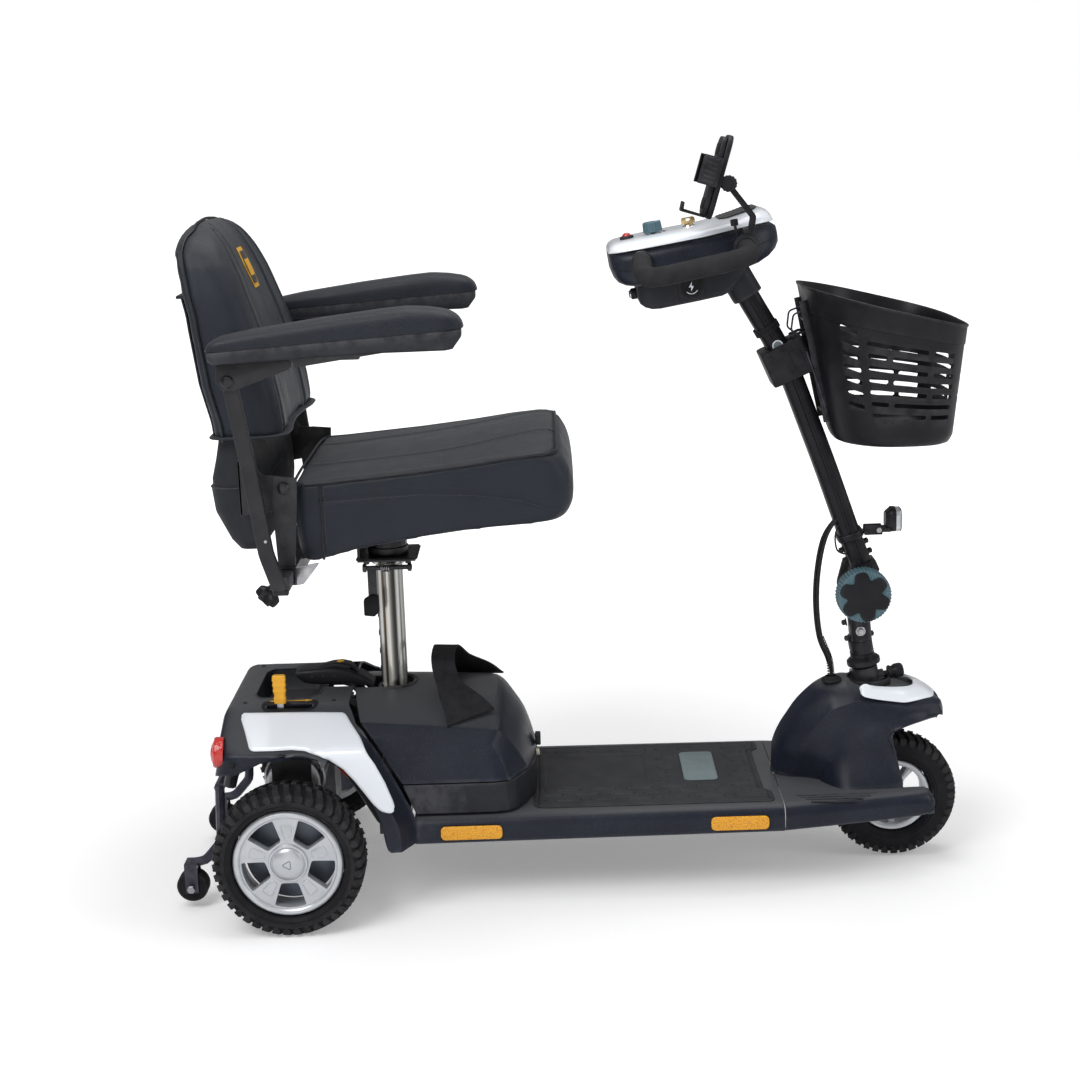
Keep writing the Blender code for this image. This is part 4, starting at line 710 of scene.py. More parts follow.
_lens = (Mat("red_lens", (0.42, 0.006, 0.006), rough=0.12, coat=0.8, coat_rough=0.04)
         .vary((0.62, 0.02, 0.012), scale=60).cells(scale=260, strength=0.6, depth=0.0012))
_lens.set("Emission Color", (0.5, 0.01, 0.01, 1))
_lens.set("Emission Strength", 0.12)
RED_LENS = _lens.done()
_amber = Mat("amber_reflector", (0.62, 0.2, 0.002), rough=0.22, coat=0.35, coat_rough=0.08)
_facets = _amber.voronoi(330, "DISTANCE_TO_EDGE").outputs["Distance"]
AMBER = (_amber.mix(_amber.ramp(_facets, 0.0, 0.16), (0.9, 0.44, 0.006))
         .bump(_facets, strength=0.8, depth=0.0009).done())
TEAL = (Mat("teal_plastic", (0.06, 0.125, 0.155), rough=0.46)
        .vary((0.075, 0.145, 0.175), scale=40)
        .grain(scale=1200, strength=0.15, depth=0.0002).wear((0.16, 0.26, 0.3)).done())
BADGE = (Mat("badge_grey", (0.155, 0.2, 0.215), rough=0.55)
         .vary((0.185, 0.23, 0.245), scale=50)
         .cells(scale=1400, strength=0.35, depth=0.0003).done())
CREAM = (Mat("cream_plastic", (0.72, 0.68, 0.55), rough=0.4)
         .vary((0.65, 0.61, 0.48), scale=60).grain(scale=900, strength=0.1, depth=0.0002).done())
_webbing = Mat("webbing", (0.022, 0.022, 0.025), rough=0.72, spec=0.3)
STRAP = (_webbing.bump(_webbing.wave(scale=520.0, distortion=0.6), strength=0.6, depth=0.0006)
         .vary((0.034, 0.034, 0.038), scale=80)
         .grain(scale=1500, strength=0.3, depth=0.0003).done())
CABLE = (Mat("cable_jacket", (0.012, 0.012, 0.013), rough=0.46, spec=0.4)
         .vary((0.02, 0.02, 0.021), scale=60)
         .grain(scale=500, strength=0.15, depth=0.0003).done())
RED_CABLE = (Mat("red_cable", (0.48, 0.02, 0.02), rough=0.42)
             .vary((0.4, 0.015, 0.015), scale=80)
             .grain(scale=500, strength=0.1, depth=0.0002).done())
_ridged = Mat("ridged_display", (0.02, 0.021, 0.023), rough=0.3, coat=0.3)
DISPLAY = _ridged.bump(_ridged.wave(scale=190.0, distortion=0.0, direction="Y"),
                       strength=0.5, depth=0.0008).done()

# ============================================================ stage, light, camera
LENS_MM = 60.9776667
CAMERA_AT = (0.4099, -2.7998, 1.1801)          # design frame
CAMERA_AZIMUTH, CAMERA_ELEVATION, CAMERA_ROLL = 0.4391, 12.9467, -1.9204     # degrees


def studio_floor():
    """White floor that glows more away from the middle, and more to the camera."""
    ob = mesh([(-30, -30, -0.0005), (30, -30, -0.0005), (30, 30, -0.0005), (-30, 30, -0.0005)],
              [(0, 1, 2, 3)])
    ob.name = "studio_floor"
    m = Mat("studio_white", (0.86, 0.86, 0.87), rough=0.75, spec=0.1)
    m.vary((0.84, 0.84, 0.85), scale=2)
    m.set("Emission Color", (1, 1, 1, 1))
    distance = m.node("ShaderNodeVectorMath")
    distance.operation = "LENGTH"
    m.link(m.co, distance.inputs[0])
    light_path = m.node("ShaderNodeLightPath")
    seen = m.ramp(light_path.outputs["Is Camera Ray"], 0.0, 1.0, 0.22, 1.0)
    glow = m.ramp(distance.outputs["Value"], 0.7, 2.6, 0.26, 1.0)
    m.link(m.calc("MULTIPLY", glow, seen), m.shader.inputs["Emission Strength"])
    ob.data.materials.append(m.done())


def studio_world():
    """White to the camera, a soft vertical gradient as light."""
    world = bpy.data.worlds.new("studio")
    scene.world = world
    world.use_nodes = True
    tree = world.node_tree
    tree.nodes.clear()
    output = add_node(tree, "ShaderNodeOutputWorld")
    backdrop = add_node(tree, "ShaderNodeBackground", Color=(1, 1, 1, 1), Strength=1.0)
    light = add_node(tree, "ShaderNodeBackground", Strength=0.34)
    coords = add_node(tree, "ShaderNodeTexCoord")
    split = add_node(tree, "ShaderNodeSeparateXYZ")
    gradient = add_node(tree, "ShaderNodeMapRange",
                        **{"From Min": -0.1, "From Max": 0.9, "To Min": 0.42, "To Max": 1.0})
    light_path = add_node(tree, "ShaderNodeLightPath")
    mix = add_node(tree, "ShaderNodeMixShader")
    for a, b in ((coords.outputs["Generated"], split.inputs[0]),
                 (split.outputs[2], gradient.inputs["Value"]),
                 (gradient.outputs[0], light.inputs[0]),
                 (light_path.outputs["Is Camera Ray"], mix.inputs[0]),
                 (light.outputs[0], mix.inputs[1]), (backdrop.outputs[0], mix.inputs[2]),
                 (mix.outputs[0], output.inputs[0])):
        tree.links.new(a, b)


def area_light(name, at, target, size, power):
    data = bpy.data.lights.new(name, "AREA")
    data.shape = "RECTANGLE"
    data.size = data.size_y = size
    data.energy = power
    ob = bpy.data.objects.new(name, data)
    scene.collection.objects.link(ob)
    ob.location = at
    ob.rotation_euler = (Vec(target) - Vec(at)).to_track_quat("-Z", "Y").to_euler()


def studio_camera():
    cam = bpy.data.cameras.new("camera")
    ob = bpy.data.objects.new("camera", cam)
    scene.collection.objects.link(ob)
    az, el, roll = map(math.radians, (CAMERA_AZIMUTH, CAMERA_ELEVATION, CAMERA_ROLL))
    back = Vec((math.sin(az) * math.cos(el), -math.cos(az) * math.cos(el), math.sin(el)))
    right = Vec((math.cos(az), math.sin(az), 0))
    up = back.cross(right)
    pose = Matrix((right * math.cos(roll) + up * math.sin(roll),
                   up * math.cos(roll) - right * math.sin(roll), back)).transposed().to_4x4()
    pose.translation = Vec((CAMERA_AT[0] + AXLE_X, *CAMERA_AT[1:]))
    ob.matrix_world = pose
    cam.sensor_width = 36
    cam.lens = LENS_MM
    cam.clip_end = 100
    scene.camera = ob


def stage():
    studio_floor()
    studio_world()
    area_light("key", at=(-1.6, -2.2, 3.1), target=(0, 0, 0.4), size=2.0, power=74)
    area_light("top", at=(0.3, 0.2, 3.4), target=(0, 0, 0.4), size=2.4, power=48)
    area_light("front_fill", at=(3.0, -1.2, 1.7), target=(0.1, 0, 0.5), size=1.8, power=22)
    area_light("low_fill", at=(-0.4, -3.2, 0.8), target=(0, 0, 0.4), size=2.0, power=9)
    studio_camera()
    scene.view_settings.view_transform = "Standard"
    scene.view_settings.look = "None"


# ============================================================ wheels
REAR_R, REAR_Y, RIM_R = 0.1145, 0.2333, 0.0822
FRONT_R, FRONT_X = 0.1015, 0.9428
REAR_TYRE_W, FRONT_TYRE_W, FRONT_RIM_R = 0.072, 0.058, 0.059
LUG_H = 0.0042                                 # tread blocks above the carcass


def tyre(name, center, radius, width, rim, lug_count, body, node):
    """Carcass with beads and sidewall rings, and a tread of angled blocks."""
    half = width / 2
    base_r = radius - LUG_H
    prof = [(rim + 0.0012, -half * 0.6), (rim + 0.004, -half * 0.8),
            (rim + 0.0075, -half * 0.86), (rim + 0.0085, -half * 0.905),
            (rim + 0.011, -half * 0.905), (rim + 0.012, -half * 0.945),
            (rim + 0.018, -half * 0.95), (base_r - 0.011, -half * 0.945),
            (base_r - 0.006, -half * 0.9), (base_r - 0.0022, -half * 0.78),
            (base_r, -half * 0.55), (base_r + 0.0006, 0.0)]
    prof = prof + [(r, -h) for r, h in prof[-2::-1]]
    carcass = lathe(prof, center, Y_AXIS, 96, ring=True)
    center = Vec(center)

    def polar(a, y, r):
        return center + Vec((r * math.cos(a), y, r * math.sin(a)))

    verts, faces = [], []

    def lug(poly, r0, r1):
        """Block over (angle, y) points between two radii; the top is drawn in a little."""
        ca = sum(a for a, y in poly) / len(poly)
        cy = sum(y for a, y in poly) / len(poly)
        rings = []
        for r, k in ((r0, 1.0), (r1 - 0.0011, 0.97), (r1, 0.86)):
            ring = []
            for a, y in poly:
                yk = cy + (y - cy) * k
                drop = max(0.0, abs(yk) - half * 0.72) / (half * 0.28)
                depth = (0.006 if r > r0 else 0.004) * drop ** 1.5
                ring.append(polar(ca + (a - ca) * k, yk, r - depth))
            rings.append(ring)
        skin(verts, faces, rings)

    step = 2 * pi / lug_count
    for i in range(lug_count):
        a0 = i * step
        for side in (-1, 1):
            a = a0 + (0.5 * step if side > 0 else 0)
            g = 0.34 * step
            lug([(a - g, side * half * 0.98), (a + g, side * half * 0.98),
                 (a + g * 0.9 + step * 0.28, side * half * 0.6),
                 (a + g * 0.2 + step * 0.55, side * half * 0.28),
                 (a - g * 1.0 + step * 0.5, side * half * 0.28),
                 (a - g * 0.9 + step * 0.25, side * half * 0.6)], base_r - 0.0045, radius)
        lug([(a0 + step * 0.1, -half * 0.2), (a0 + step * 0.66, -half * 0.13),
             (a0 + step * 0.8, half * 0.2), (a0 + step * 0.22, half * 0.13)],
            base_r - 0.003, radius)
    lugs = mesh(verts, faces)
    # shoulder bars that run down the sidewall
    verts, faces = [], []
    for i in range(lug_count):
        for side in (-1, 1):
            a = i * step + (0.5 * step if side > 0 else 0)
            base = len(verts)
            for r, hw in ((base_r - 0.003, 0.27), (base_r - 0.007, 0.26), (base_r - 0.011, 0.18)):
                for da in (-hw, hw):
                    for y in (half * 0.88, half * (0.975 if r > base_r - 0.009 else 0.955)):
                        verts.append(polar(a + da * step, side * y, r))
            for b in (base, base + 4):
                faces += [(b, b + 2, b + 6, b + 4), (b + 1, b + 5, b + 7, b + 3),
                          (b, b + 4, b + 5, b + 1), (b + 2, b + 3, b + 7, b + 6)]
            faces += [(base, base + 1, base + 3, base + 2),
                      (base + 8, base + 10, base + 11, base + 9)]
    add(merge(carcass, lugs, mesh(verts, faces)), name, body, RUBBER, "rubber", node, angle=32)


def unit_pair(a):
    """Radial and tangential unit vectors at angle a in a local xy plane."""
    return Vec((math.cos(a), math.sin(a), 0)), Vec((-math.sin(a), math.cos(a), 0))


def five_spoke(name, center, side, body, node):
    """Rim with five openings between broad spokes; heights point outward."""
    axis = (0, side, 0)
    barrel = lathe([
        (RIM_R, -0.024), (RIM_R + 0.0006, -0.021), (RIM_R - 0.0015, 0.0), (RIM_R, 0.0215),
        (RIM_R + 0.0004, 0.024), (RIM_R - 0.0016, 0.0275), (RIM_R - 0.0036, 0.0285),
        (RIM_R - 0.0078, 0.0281), (RIM_R - 0.0096, 0.0264), (RIM_R - 0.0104, 0.0225),
        (RIM_R - 0.01, 0.005), (RIM_R - 0.008, -0.022)], center, axis, 96, ring=True)
    disc = lathe([(0.01, 0.006), (0.03, 0.0065), (RIM_R - 0.0095, 0.009),
                  (RIM_R - 0.0095, 0.0244), (0.05, 0.0222), (0.031, 0.0212), (0.01, 0.0215)],
                 center, axis, 80, ring=True)
    m = frame_on(center, axis, Z_AXIS)
    r_in, r_out = 0.0325, 0.07                 # radial extent of an opening
    half_in = r_in * math.tan(math.radians(36)) - 0.0108
    half_arc = math.radians(36) - 0.0195 / r_out
    windows = []
    for k in range(5):
        u, v = unit_pair(math.radians(36 + 72 * k))
        pts = [u * r_in + v * -half_in]
        for j in range(9):
            t = -half_arc + 2 * half_arc * j / 8
            pts.append((u * math.cos(t) + v * math.sin(t)) * r_out)
        pts.append(u * r_in + v * half_in)
        loop = rounded(pts, 0.0052, 4, closed=True)
        windows.append(loft([[m @ Vec((p.x, p.y, z)) for p in loop] for z in (-0.01, 0.035)]))
    disc = bevel(cut(disc, *windows), 0.0011, 2, 50)
    hub = lathe([(0.0295, 0.004), (0.0295, 0.0235), (0.0285, 0.0252), (0.0262, 0.0258),
                 (0.0254, 0.0245), (0.01, 0.0245)], center, axis, 64)
    ribs = []                                  # raised oblong outline on each spoke
    for k in range(5):
        u, v = unit_pair(math.radians(72 * k))
        loop = [u * r + v * w for r, w in
                ((0.037, -0.0048), (0.037, 0.0048), (0.06, 0.0088), (0.06, -0.0088))]
        path = [m @ Vec((p.x, p.y, 0.0213 + (p.length - 0.031) * 0.067))
                for p in rounded(loop, 0.0042, 5, closed=True)]
        ribs.append(sweep(path, circle(0.001, 8), up=axis, closed=True))
    add(merge(barrel, disc, hub, *ribs), name, body, SILVER, "silver_rim", node, angle=32)
    cap = lathe([(0.024, 0.024), (0.0242, 0.0262), (0.0232, 0.0276), (0.018, 0.03),
                 (0.01, 0.0316), (0.003, 0.032)], center, axis, 64)
    add(cap, name + "_hub_cap", body, SILVER, "silver_rim")
    corners = [(0.0085 * math.cos(t), 0.0085 * math.sin(t), 0)
               for t in (pi / 2, pi / 2 + 2 * pi / 3, pi / 2 + 4 * pi / 3)]
    mark = sweep([m @ Vec((p.x, p.y, 0.0316)) for p in rounded(corners, 0.002, 4, closed=True)],
                 circle(0.0007, 6), up=axis, closed=True)
    # cap mark in the silver with painted shade
    add(mark, name + "_cap_mark", body, SILVER_SHADED, "silver_rim")
    # inner face behind the openings, in the silver with painted shade
    face = lathe([(0.07, -0.02), (0.07, -0.0165), (0.064, -0.015), (0.045, -0.0125),
                  (0.03, -0.013), (0.012, -0.006)], center, axis, 64)
    add(face, name + "_inner_face", body, SILVER_SHADED, "silver_rim")
    center = Vec(center)
    shaft = rod(center + Vec((0, -side * 0.004, 0)), center + Vec((0, -side * 0.13, 0)),
                0.0078, 20)
    add(shaft, name + "_half_shaft", body, ZINC, "machined_metal")


def rear_wheels():
    for label, side in SIDES:
        center = (0, side * REAR_Y, REAR_R)
        body = f"rear_wheel_{label}"
        tyre(f"tyre_rear_{label}", center, REAR_R, REAR_TYRE_W, RIM_R, 42, body,
             f"rear_tyre_{label}")
        five_spoke(f"wheel_rear_{label}", center, side, body, f"rear_rim_{label}")


def front_wheel():
    center = (FRONT_X, 0, FRONT_R)
    tyre("tyre_front", center, FRONT_R, FRONT_TYRE_W, FRONT_RIM_R, 40, "front_wheel",
         "front_tyre")
    parts = [lathe([(0.0592, -0.019), (0.059, 0.0), (0.0592, 0.019), (0.0575, 0.0212),
                    (0.053, 0.021), (0.05, 0.019), (0.049, 0.012), (0.049, -0.012),
                    (0.05, -0.019), (0.053, -0.021), (0.0575, -0.0212)],
                   center, Y_AXIS, 72, ring=True)]
    for k in range(5):
        a = math.radians(54 + 72 * k)
        u, v = Vec((math.cos(a), 0, math.sin(a))), Vec((-math.sin(a), 0, math.cos(a)))
        # radius, half width and half depth along the spoke
        spoke = loft([[Vec(center) + u * r + v * x + Vec((0, y, 0))
                       for x, y in ((-w, -d), (w, -d), (w, d), (-w, d))] for r, w, d in
                      ((0.012, 0.0062, 0.013), (0.03, 0.0042, 0.01), (0.051, 0.006, 0.012))])
        parts.append(bevel(spoke, 0.0015, 2))
    parts.append(lathe([(0.0075, -0.0225), (0.014, -0.0235), (0.016, -0.0215), (0.016, 0.0215),
                        (0.014, 0.0235), (0.0075, 0.0225)], center, Y_AXIS, 48, ring=True))
    add(merge(*parts), "wheel_front", "front_wheel", SILVER, "silver_rim", "front_rim", angle=35)


ROLLER_X, ROLLER_Y, ROLLER_Z = -0.168, 0.14, 0.036


def anti_tip_rollers():
    half = [(0.0052, -0.0105), (0.01, -0.012), (0.0185, -0.0115), (0.0195, -0.0122),
            (0.0232, -0.0118), (0.0245, -0.009)]
    for label, side in SIDES:
        y = side * ROLLER_Y
        wheel = lathe(half + [(r, -h) for r, h in half[::-1]], (ROLLER_X, y, ROLLER_Z), Y_AXIS,
                      56, ring=True)
        add(wheel, f"anti_tip_roller_{label}", f"anti_tip_roller_{label}", RUBBER,
            "roller_rubber", f"anti_tip_wheel_{label}")
        head = lathe([(0.0068, 0.0), (0.0068, 0.0035), (0.0058, 0.0045), (0.002, 0.0047)],
                     (ROLLER_X, y + side * 0.0195, ROLLER_Z), (0, side, 0), 6)
        add(head, f"anti_tip_bolt_{label}", "chassis", ZINC, "machined_metal", angle=25)


# ============================================================ rear cover
COVER_TOP, COVER_LOW, COVER_Y, ARCH_FOOT = 0.315, 0.2283, 0.208, 0.1062
# height of the shoulder against |y|
SHOULDER_Y = [0, 0.104, 0.108, 0.113, 0.118, 0.123, 0.129, 0.202, 0.206, 0.208]
SHOULDER_Z = [0.315, 0.315, 0.3148, 0.314, 0.3126, 0.3104, 0.3074, 0.2695, 0.2668, 0.2635]
# (x, z): rear face upward, front seam downward, wheel arch forward
REAR_FACE = [
    (-0.114, 0.2283), (-0.1118, 0.245), (-0.11, 0.262), (-0.1088, 0.278), (-0.108, 0.292),
    (-0.1052, 0.3035), (-0.0985, 0.3115), (-0.088, 0.315)]
SEAM = [
    (0.086, 0.315), (0.0935, 0.306), (0.1034, 0.2896), (0.1222, 0.2699), (0.137, 0.246),
    (0.164, 0.193), (0.177, 0.165), (0.184, 0.1487), (0.1872, 0.125), (0.1872, 0.106)]
ARCH = [
    (-0.084, 0.237), (-0.07, 0.2408), (-0.0515, 0.2486), (-0.033, 0.257), (-0.014, 0.2632),
    (0.008, 0.2658), (0.0296, 0.2645), (0.059, 0.256), (0.08, 0.244), (0.0945, 0.2308),
    (0.11, 0.211), (0.1215, 0.1902), (0.131, 0.169), (0.137, 0.1489), (0.1408, 0.125),
    (0.144, 0.111), (0.1484, 0.1062)]
# |y| of the cover's fore-and-aft rows
COVER_ROWS = [0.0, 0.03, 0.06, 0.09, 0.104, 0.108, 0.1105, 0.113, 0.1155, 0.118, 0.1205, 0.123,
              0.126, 0.129, 0.14, 0.152, 0.165, 0.168, 0.176, 0.184, 0.191, 0.197, 0.202, 0.2042,
              0.206, 0.2072, 0.208]
TOP_STEPS, WALL_STEPS = 22, 24
POCKET = round_poly([
    (-0.065, -0.058), (-0.056, -0.078), (0.024, -0.081), (0.037, -0.062), (0.037, 0.062),
    (0.024, 0.081), (-0.056, 0.078), (-0.065, 0.058)], 0.016, 5)


def z_shoulder(y):
    return interp(abs(y), SHOULDER_Y, SHOULDER_Z)


def x_seam(z, y=0.0):
    beyond = max(0.0, abs(y) - 0.168)
    return (interp(z, [p[1] for p in SEAM][::-1], [p[0] for p in SEAM][::-1])
            - beyond * 0.55 * max(0.0, min(1.0, (0.300 - z) / 0.05)))


def x_round(y):
    """How far the rear face steps forward round its vertical corner."""
    y = abs(y)
    if y <= 0.176:
        return 0.0
    return 0.032 - math.sqrt(max(0.0, 0.032 ** 2 - (y - 0.176) ** 2))


def top_line(y, side):
    """Up the rear face and forward over the top to the seam."""
    zt = z_shoulder(y)
    zb = COVER_LOW + 0.0087 * max(0.0, min(1.0, (abs(y) - 0.175) / 0.033)) ** 1.5
    k = (zt - zb) / (COVER_TOP - COVER_LOW)
    row = [Vec((p.x + x_round(y), side * y, zb + (p.y - COVER_LOW) * k))
           for p in spline(REAR_FACE, 17)]
    x0, x1 = row[-1].x, x_seam(zt, y)
    return row + [Vec((x0 + (x1 - x0) * i / TOP_STEPS, side * y, zt))
                  for i in range(1, TOP_STEPS + 1)]


def seam_line(y, side):
    """Down the front seam from the shoulder."""
    zt = z_shoulder(y)
    zs = [zt + (ARCH_FOOT - zt) * i / WALL_STEPS for i in range(WALL_STEPS + 1)]
    return [Vec((x_seam(z, y), side * y, z)) for z in zs]


def rear_shell_half(side):
    """Sheets of half the cover: rear and top, front corner, side wall down to the arch."""
    over = grid([top_line(y, side) for y in COVER_ROWS])
    corner = grid([seam_line(y, side) for y in COVER_ROWS if y >= 0.168])
    y = COVER_Y
    outer = top_line(y, side) + seam_line(y, side)[1:]
    arch = spline([(a, 0, b) for a, b in ARCH], 120)
    inner = resample([Vec((p.x, side * y, p.z)) for p in arch], len(outer))
    # share of the way to the arch, outward bulge
    rows = [[o.lerp(i, t) + Vec((0, side * bulge, 0)) for o, i in zip(outer, inner)]
            for t, bulge in ((0.0, 0), (0.3, 0.0002), (0.6, 0.0004), (0.8, 0.0014),
                             (0.9, 0.0018), (0.97, 0.001), (1.0, -0.0008))]
    rows.append([(p.x, side * 0.203, p.z - 0.001) for p in inner])
    rows.append([(p.x, side * 0.199, p.z + 0.0004) for p in inner])
    return [over, corner, grid(rows)]


def rear_cover():
    shell = solid(weld(merge(*rear_shell_half(-1), *rear_shell_half(1)), 0.0003), 0.0028, -1)
    cut(shell, prism_z(POCKET, 0.3, 0.33),
        prism_z(round_rect(-0.04, 0.031, -0.1215, -0.1085, 0.0062, 5), 0.295, 0.33),
        block((0.03, 0.12), (-0.0265, 0.0265), (0.295, 0.33), 0))
    bucket = loft([[(x, y, 0.3146) for x, y in POCKET],
                   [(x * 0.985 - 0.0002, y * 0.99, 0.309) for x, y in POCKET],
                   [(-0.014 + (x + 0.014) * 0.92, y * 0.94, 0.288) for x, y in POCKET],
                   [(-0.014 + (x + 0.014) * 0.84, y * 0.88, 0.282) for x, y in POCKET]],
                  cap=(False, True))
    lip = sweep([(x, y, COVER_TOP) for x, y in POCKET], circle(0.0015, 8), closed=True)
    bucket = solid(bucket, 0.002, 1)
    add(merge(shell, lip), "rear_cover", "chassis", PAINT, "speckled_paint", "rear_shroud",
        angle=30)
    add(bucket, "hand_hold_pocket", "chassis", TEXTURED, "textured_plastic", angle=35)
    screws = [lathe([(0.0036, 0.0), (0.0036, 0.0008), (0.0026, 0.0014), (0.0012, 0.001),
                     (0.0004, 0.0004)], (x, side * 0.098, COVER_TOP), Z_AXIS, 20)
              for side in (-1, 1) for x in (-0.075, 0.062)]
    add(merge(*screws), "rear_cover_screws", "chassis", BLACK_STEEL, "painted_steel")


def lever_guide():
    """Raised surround of the lever slot, with a double arrow beside the slot."""
    outer = round_rect(-0.048, 0.039, -0.127, -0.0915, 0.015, 8)
    inner = [(-0.0045 + (x + 0.0045) * 0.86, -0.115 + (y + 0.1093) * 0.42) for x, y in outer]
    rows = []
    for t, lift in ((0.0, 0.0001), (0.04, 0.0012), (0.3, 0.0015), (0.6, 0.0016),
                    (0.93, 0.0012), (1.0, -0.0012)):
        row = []
        for (xa, ya), (xb, yb) in zip(outer, inner):
            x, y = xa + (xb - xa) * t, ya + (yb - ya) * t
            row.append((x, y, z_shoulder(y) + lift))
        rows.append(row)
    add(solid(loft(rows, cap=(False, False)), 0.0012, -1), "lever_guide", "chassis", MOULDED,
        "textured_plastic", angle=40)
    arrow = [(-0.033, 0), (-0.023, 0.0042), (-0.023, 0.0017), (0.023, 0.0017),
             (0.023, 0.0042), (0.033, 0), (0.023, -0.0042), (0.023, -0.0017),
             (-0.023, -0.0017), (-0.023, -0.0042)]
    mark = prism_z([(x - 0.004, -0.0985 + y) for x, y in arrow],
                   COVER_TOP + 0.0014, COVER_TOP + 0.0022)
    add(mark, "lever_direction_mark", "chassis", YELLOW, "yellow_grip", angle=20)


# upper and lower edge (x, z) of the white side panels
PANEL_TOP = [
    (-0.0742, 0.3045), (-0.0722, 0.3062), (-0.04, 0.3062), (0.0, 0.3058), (0.04, 0.3052),
    (0.079, 0.3044), (0.084, 0.3026), (0.0895, 0.2965), (0.107, 0.2812), (0.118, 0.2672),
    (0.1304, 0.247), (0.144, 0.218), (0.1545, 0.188), (0.156, 0.18)]
PANEL_LOW = [
    (-0.0735, 0.302), (-0.064, 0.288), (-0.055, 0.2735), (-0.0515, 0.2712), (-0.02, 0.271),
    (0.008, 0.2715), (0.0285, 0.27), (0.048, 0.2655), (0.065, 0.259), (0.085, 0.244),
    (0.0999, 0.2262), (0.115, 0.205), (0.1271, 0.187), (0.137, 0.1765), (0.144, 0.1735),
    (0.151, 0.1725), (0.1556, 0.175)]


def on_cover(p, side, lift):
    """Point on the cover's shoulder or wall at p's x and z, raised by lift."""
    y = COVER_Y
    if p.z > 0.2635:
        y = interp(-p.z, [-z for z in SHOULDER_Z[1:]], SHOULDER_Y[1:])
    k = max(0.0, min(1.0, (p.z - 0.263) / 0.0075))
    normal = Vec((0, 1, 0)).lerp(Vec((0, 0.46, 0.888)), k).normalized()
    return p.x, side * (y + lift * normal.y), p.z + lift * normal.z


def side_panels():
    count = 80
    for label, side in SIDES:
        upper = resample([Vec((a, 0, b)) for a, b in PANEL_TOP], count)
        lower = resample([Vec((a, 0, b)) for a, b in PANEL_LOW], count)
        rows = []
        for t in [0, 0.02, 0.06, 0.12, 0.2, 0.3, 0.4, 0.5, 0.6, 0.7, 0.8, 0.88, 0.94, 0.98, 1.0]:
            e = min(t, 1 - t)
            lift = 0.0032 if e >= 0.06 else (0.0026 if e >= 0.02 else 0.0005)
            row = []
            for i, (a, b) in enumerate(zip(upper, lower)):
                end = min(i, count - 1 - i)
                edge_lift = lift if end > 1 else min(lift, 0.0005 + 0.0015 * end)
                row.append(on_cover(a.lerp(b, t), side, edge_lift))
            rows.append(row)
        add(solid(grid(rows), 0.0022, -side), f"white_side_panel_{label}", "chassis", WHITE,
            "white_panel", f"trim_panel_{label}", angle=50)


def tail_lamps():
    for label, side in SIDES:
        axis = Vec((-0.985, side * 0.12, 0.1)).normalized()
        center = Vec((-0.109, side * 0.18, 0.265))
        bezel = lathe([(0.0235, -0.01), (0.0235, 0.001), (0.022, 0.004), (0.0195, 0.0045),
                       (0.0188, 0.002), (0.0188, -0.01)], center, axis, 56, ring=True)
        add(bezel, f"tail_lamp_bezel_{label}", "chassis", RED_LENS, "red_lens")
        lens = lathe([(0.0184, -0.004), (0.0184, 0.003), (0.0172, 0.0052), (0.013, 0.007),
                      (0.007, 0.0082), (0.002, 0.0086)], center, axis, 56)
        rings = [lathe([(r, h), (r + 0.0016, h + 0.0012), (r + 0.0032, h)], center, axis, 48,
                       ring=True) for r, h in ((0.005, 0.0076), (0.011, 0.0064))]
        add(merge(lens, *rings), f"tail_lamp_lens_{label}", "chassis", RED_LENS, "red_lens",
            f"tail_lamp_{label}")
        plug = lathe([(0.001, 0.004), (0.0032, 0.0036), (0.0044, 0.0016), (0.0044, -0.002)],
                     (-0.0815, side * 0.2085, 0.253), (-0.25, side * 0.97, 0), 24)
        add(plug, f"cover_plug_{label}", "chassis", RUBBER, "rubber")


LEVER_X, LEVER_Y = -0.018, -0.115
# height and half width up the yellow grip; the heights are drawn GRIP_DROP too high
GRIP_DROP = 0.033
GRIP_RINGS = [
    (0.3515, 0.0084), (0.353, 0.0092), (0.36, 0.0094), (0.3618, 0.0094), (0.363, 0.0086),
    (0.365, 0.0086), (0.37, 0.0096), (0.3715, 0.0102), (0.373, 0.0102), (0.3745, 0.0092),
    (0.379, 0.0098), (0.3805, 0.0105), (0.382, 0.0105), (0.3835, 0.0096), (0.3875, 0.01),
    (0.3888, 0.0106), (0.39, 0.0106), (0.3915, 0.0102), (0.395, 0.01), (0.3965, 0.009),
    (0.397, 0.007)]


def freewheel_lever():
    """Steel stem and ribbed yellow grip."""
    stem = block((LEVER_X - 0.005, LEVER_X + 0.005), (LEVER_Y - 0.0016, LEVER_Y + 0.0016),
                 (0.26, 0.326), 0.0006, 2)
    eye = lathe([(0.0048, -0.0022), (0.01, -0.0022), (0.01, 0.0022), (0.0048, 0.0022)],
                (LEVER_X, LEVER_Y, 0.264), Y_AXIS, 32, ring=True)
    add(merge(stem, eye), "freewheel_stem", "freewheel", ZINC, "machined_metal")
    grip = loft([[(LEVER_X + a, LEVER_Y + b, z - GRIP_DROP)
                  for a, b in rrect(w, 0.0046 * (w / 0.0098), 0.003, 4)] for z, w in GRIP_RINGS])
    add(grip, "freewheel_grip", "freewheel", YELLOW, "yellow_grip", "freewheel_lever", angle=45)


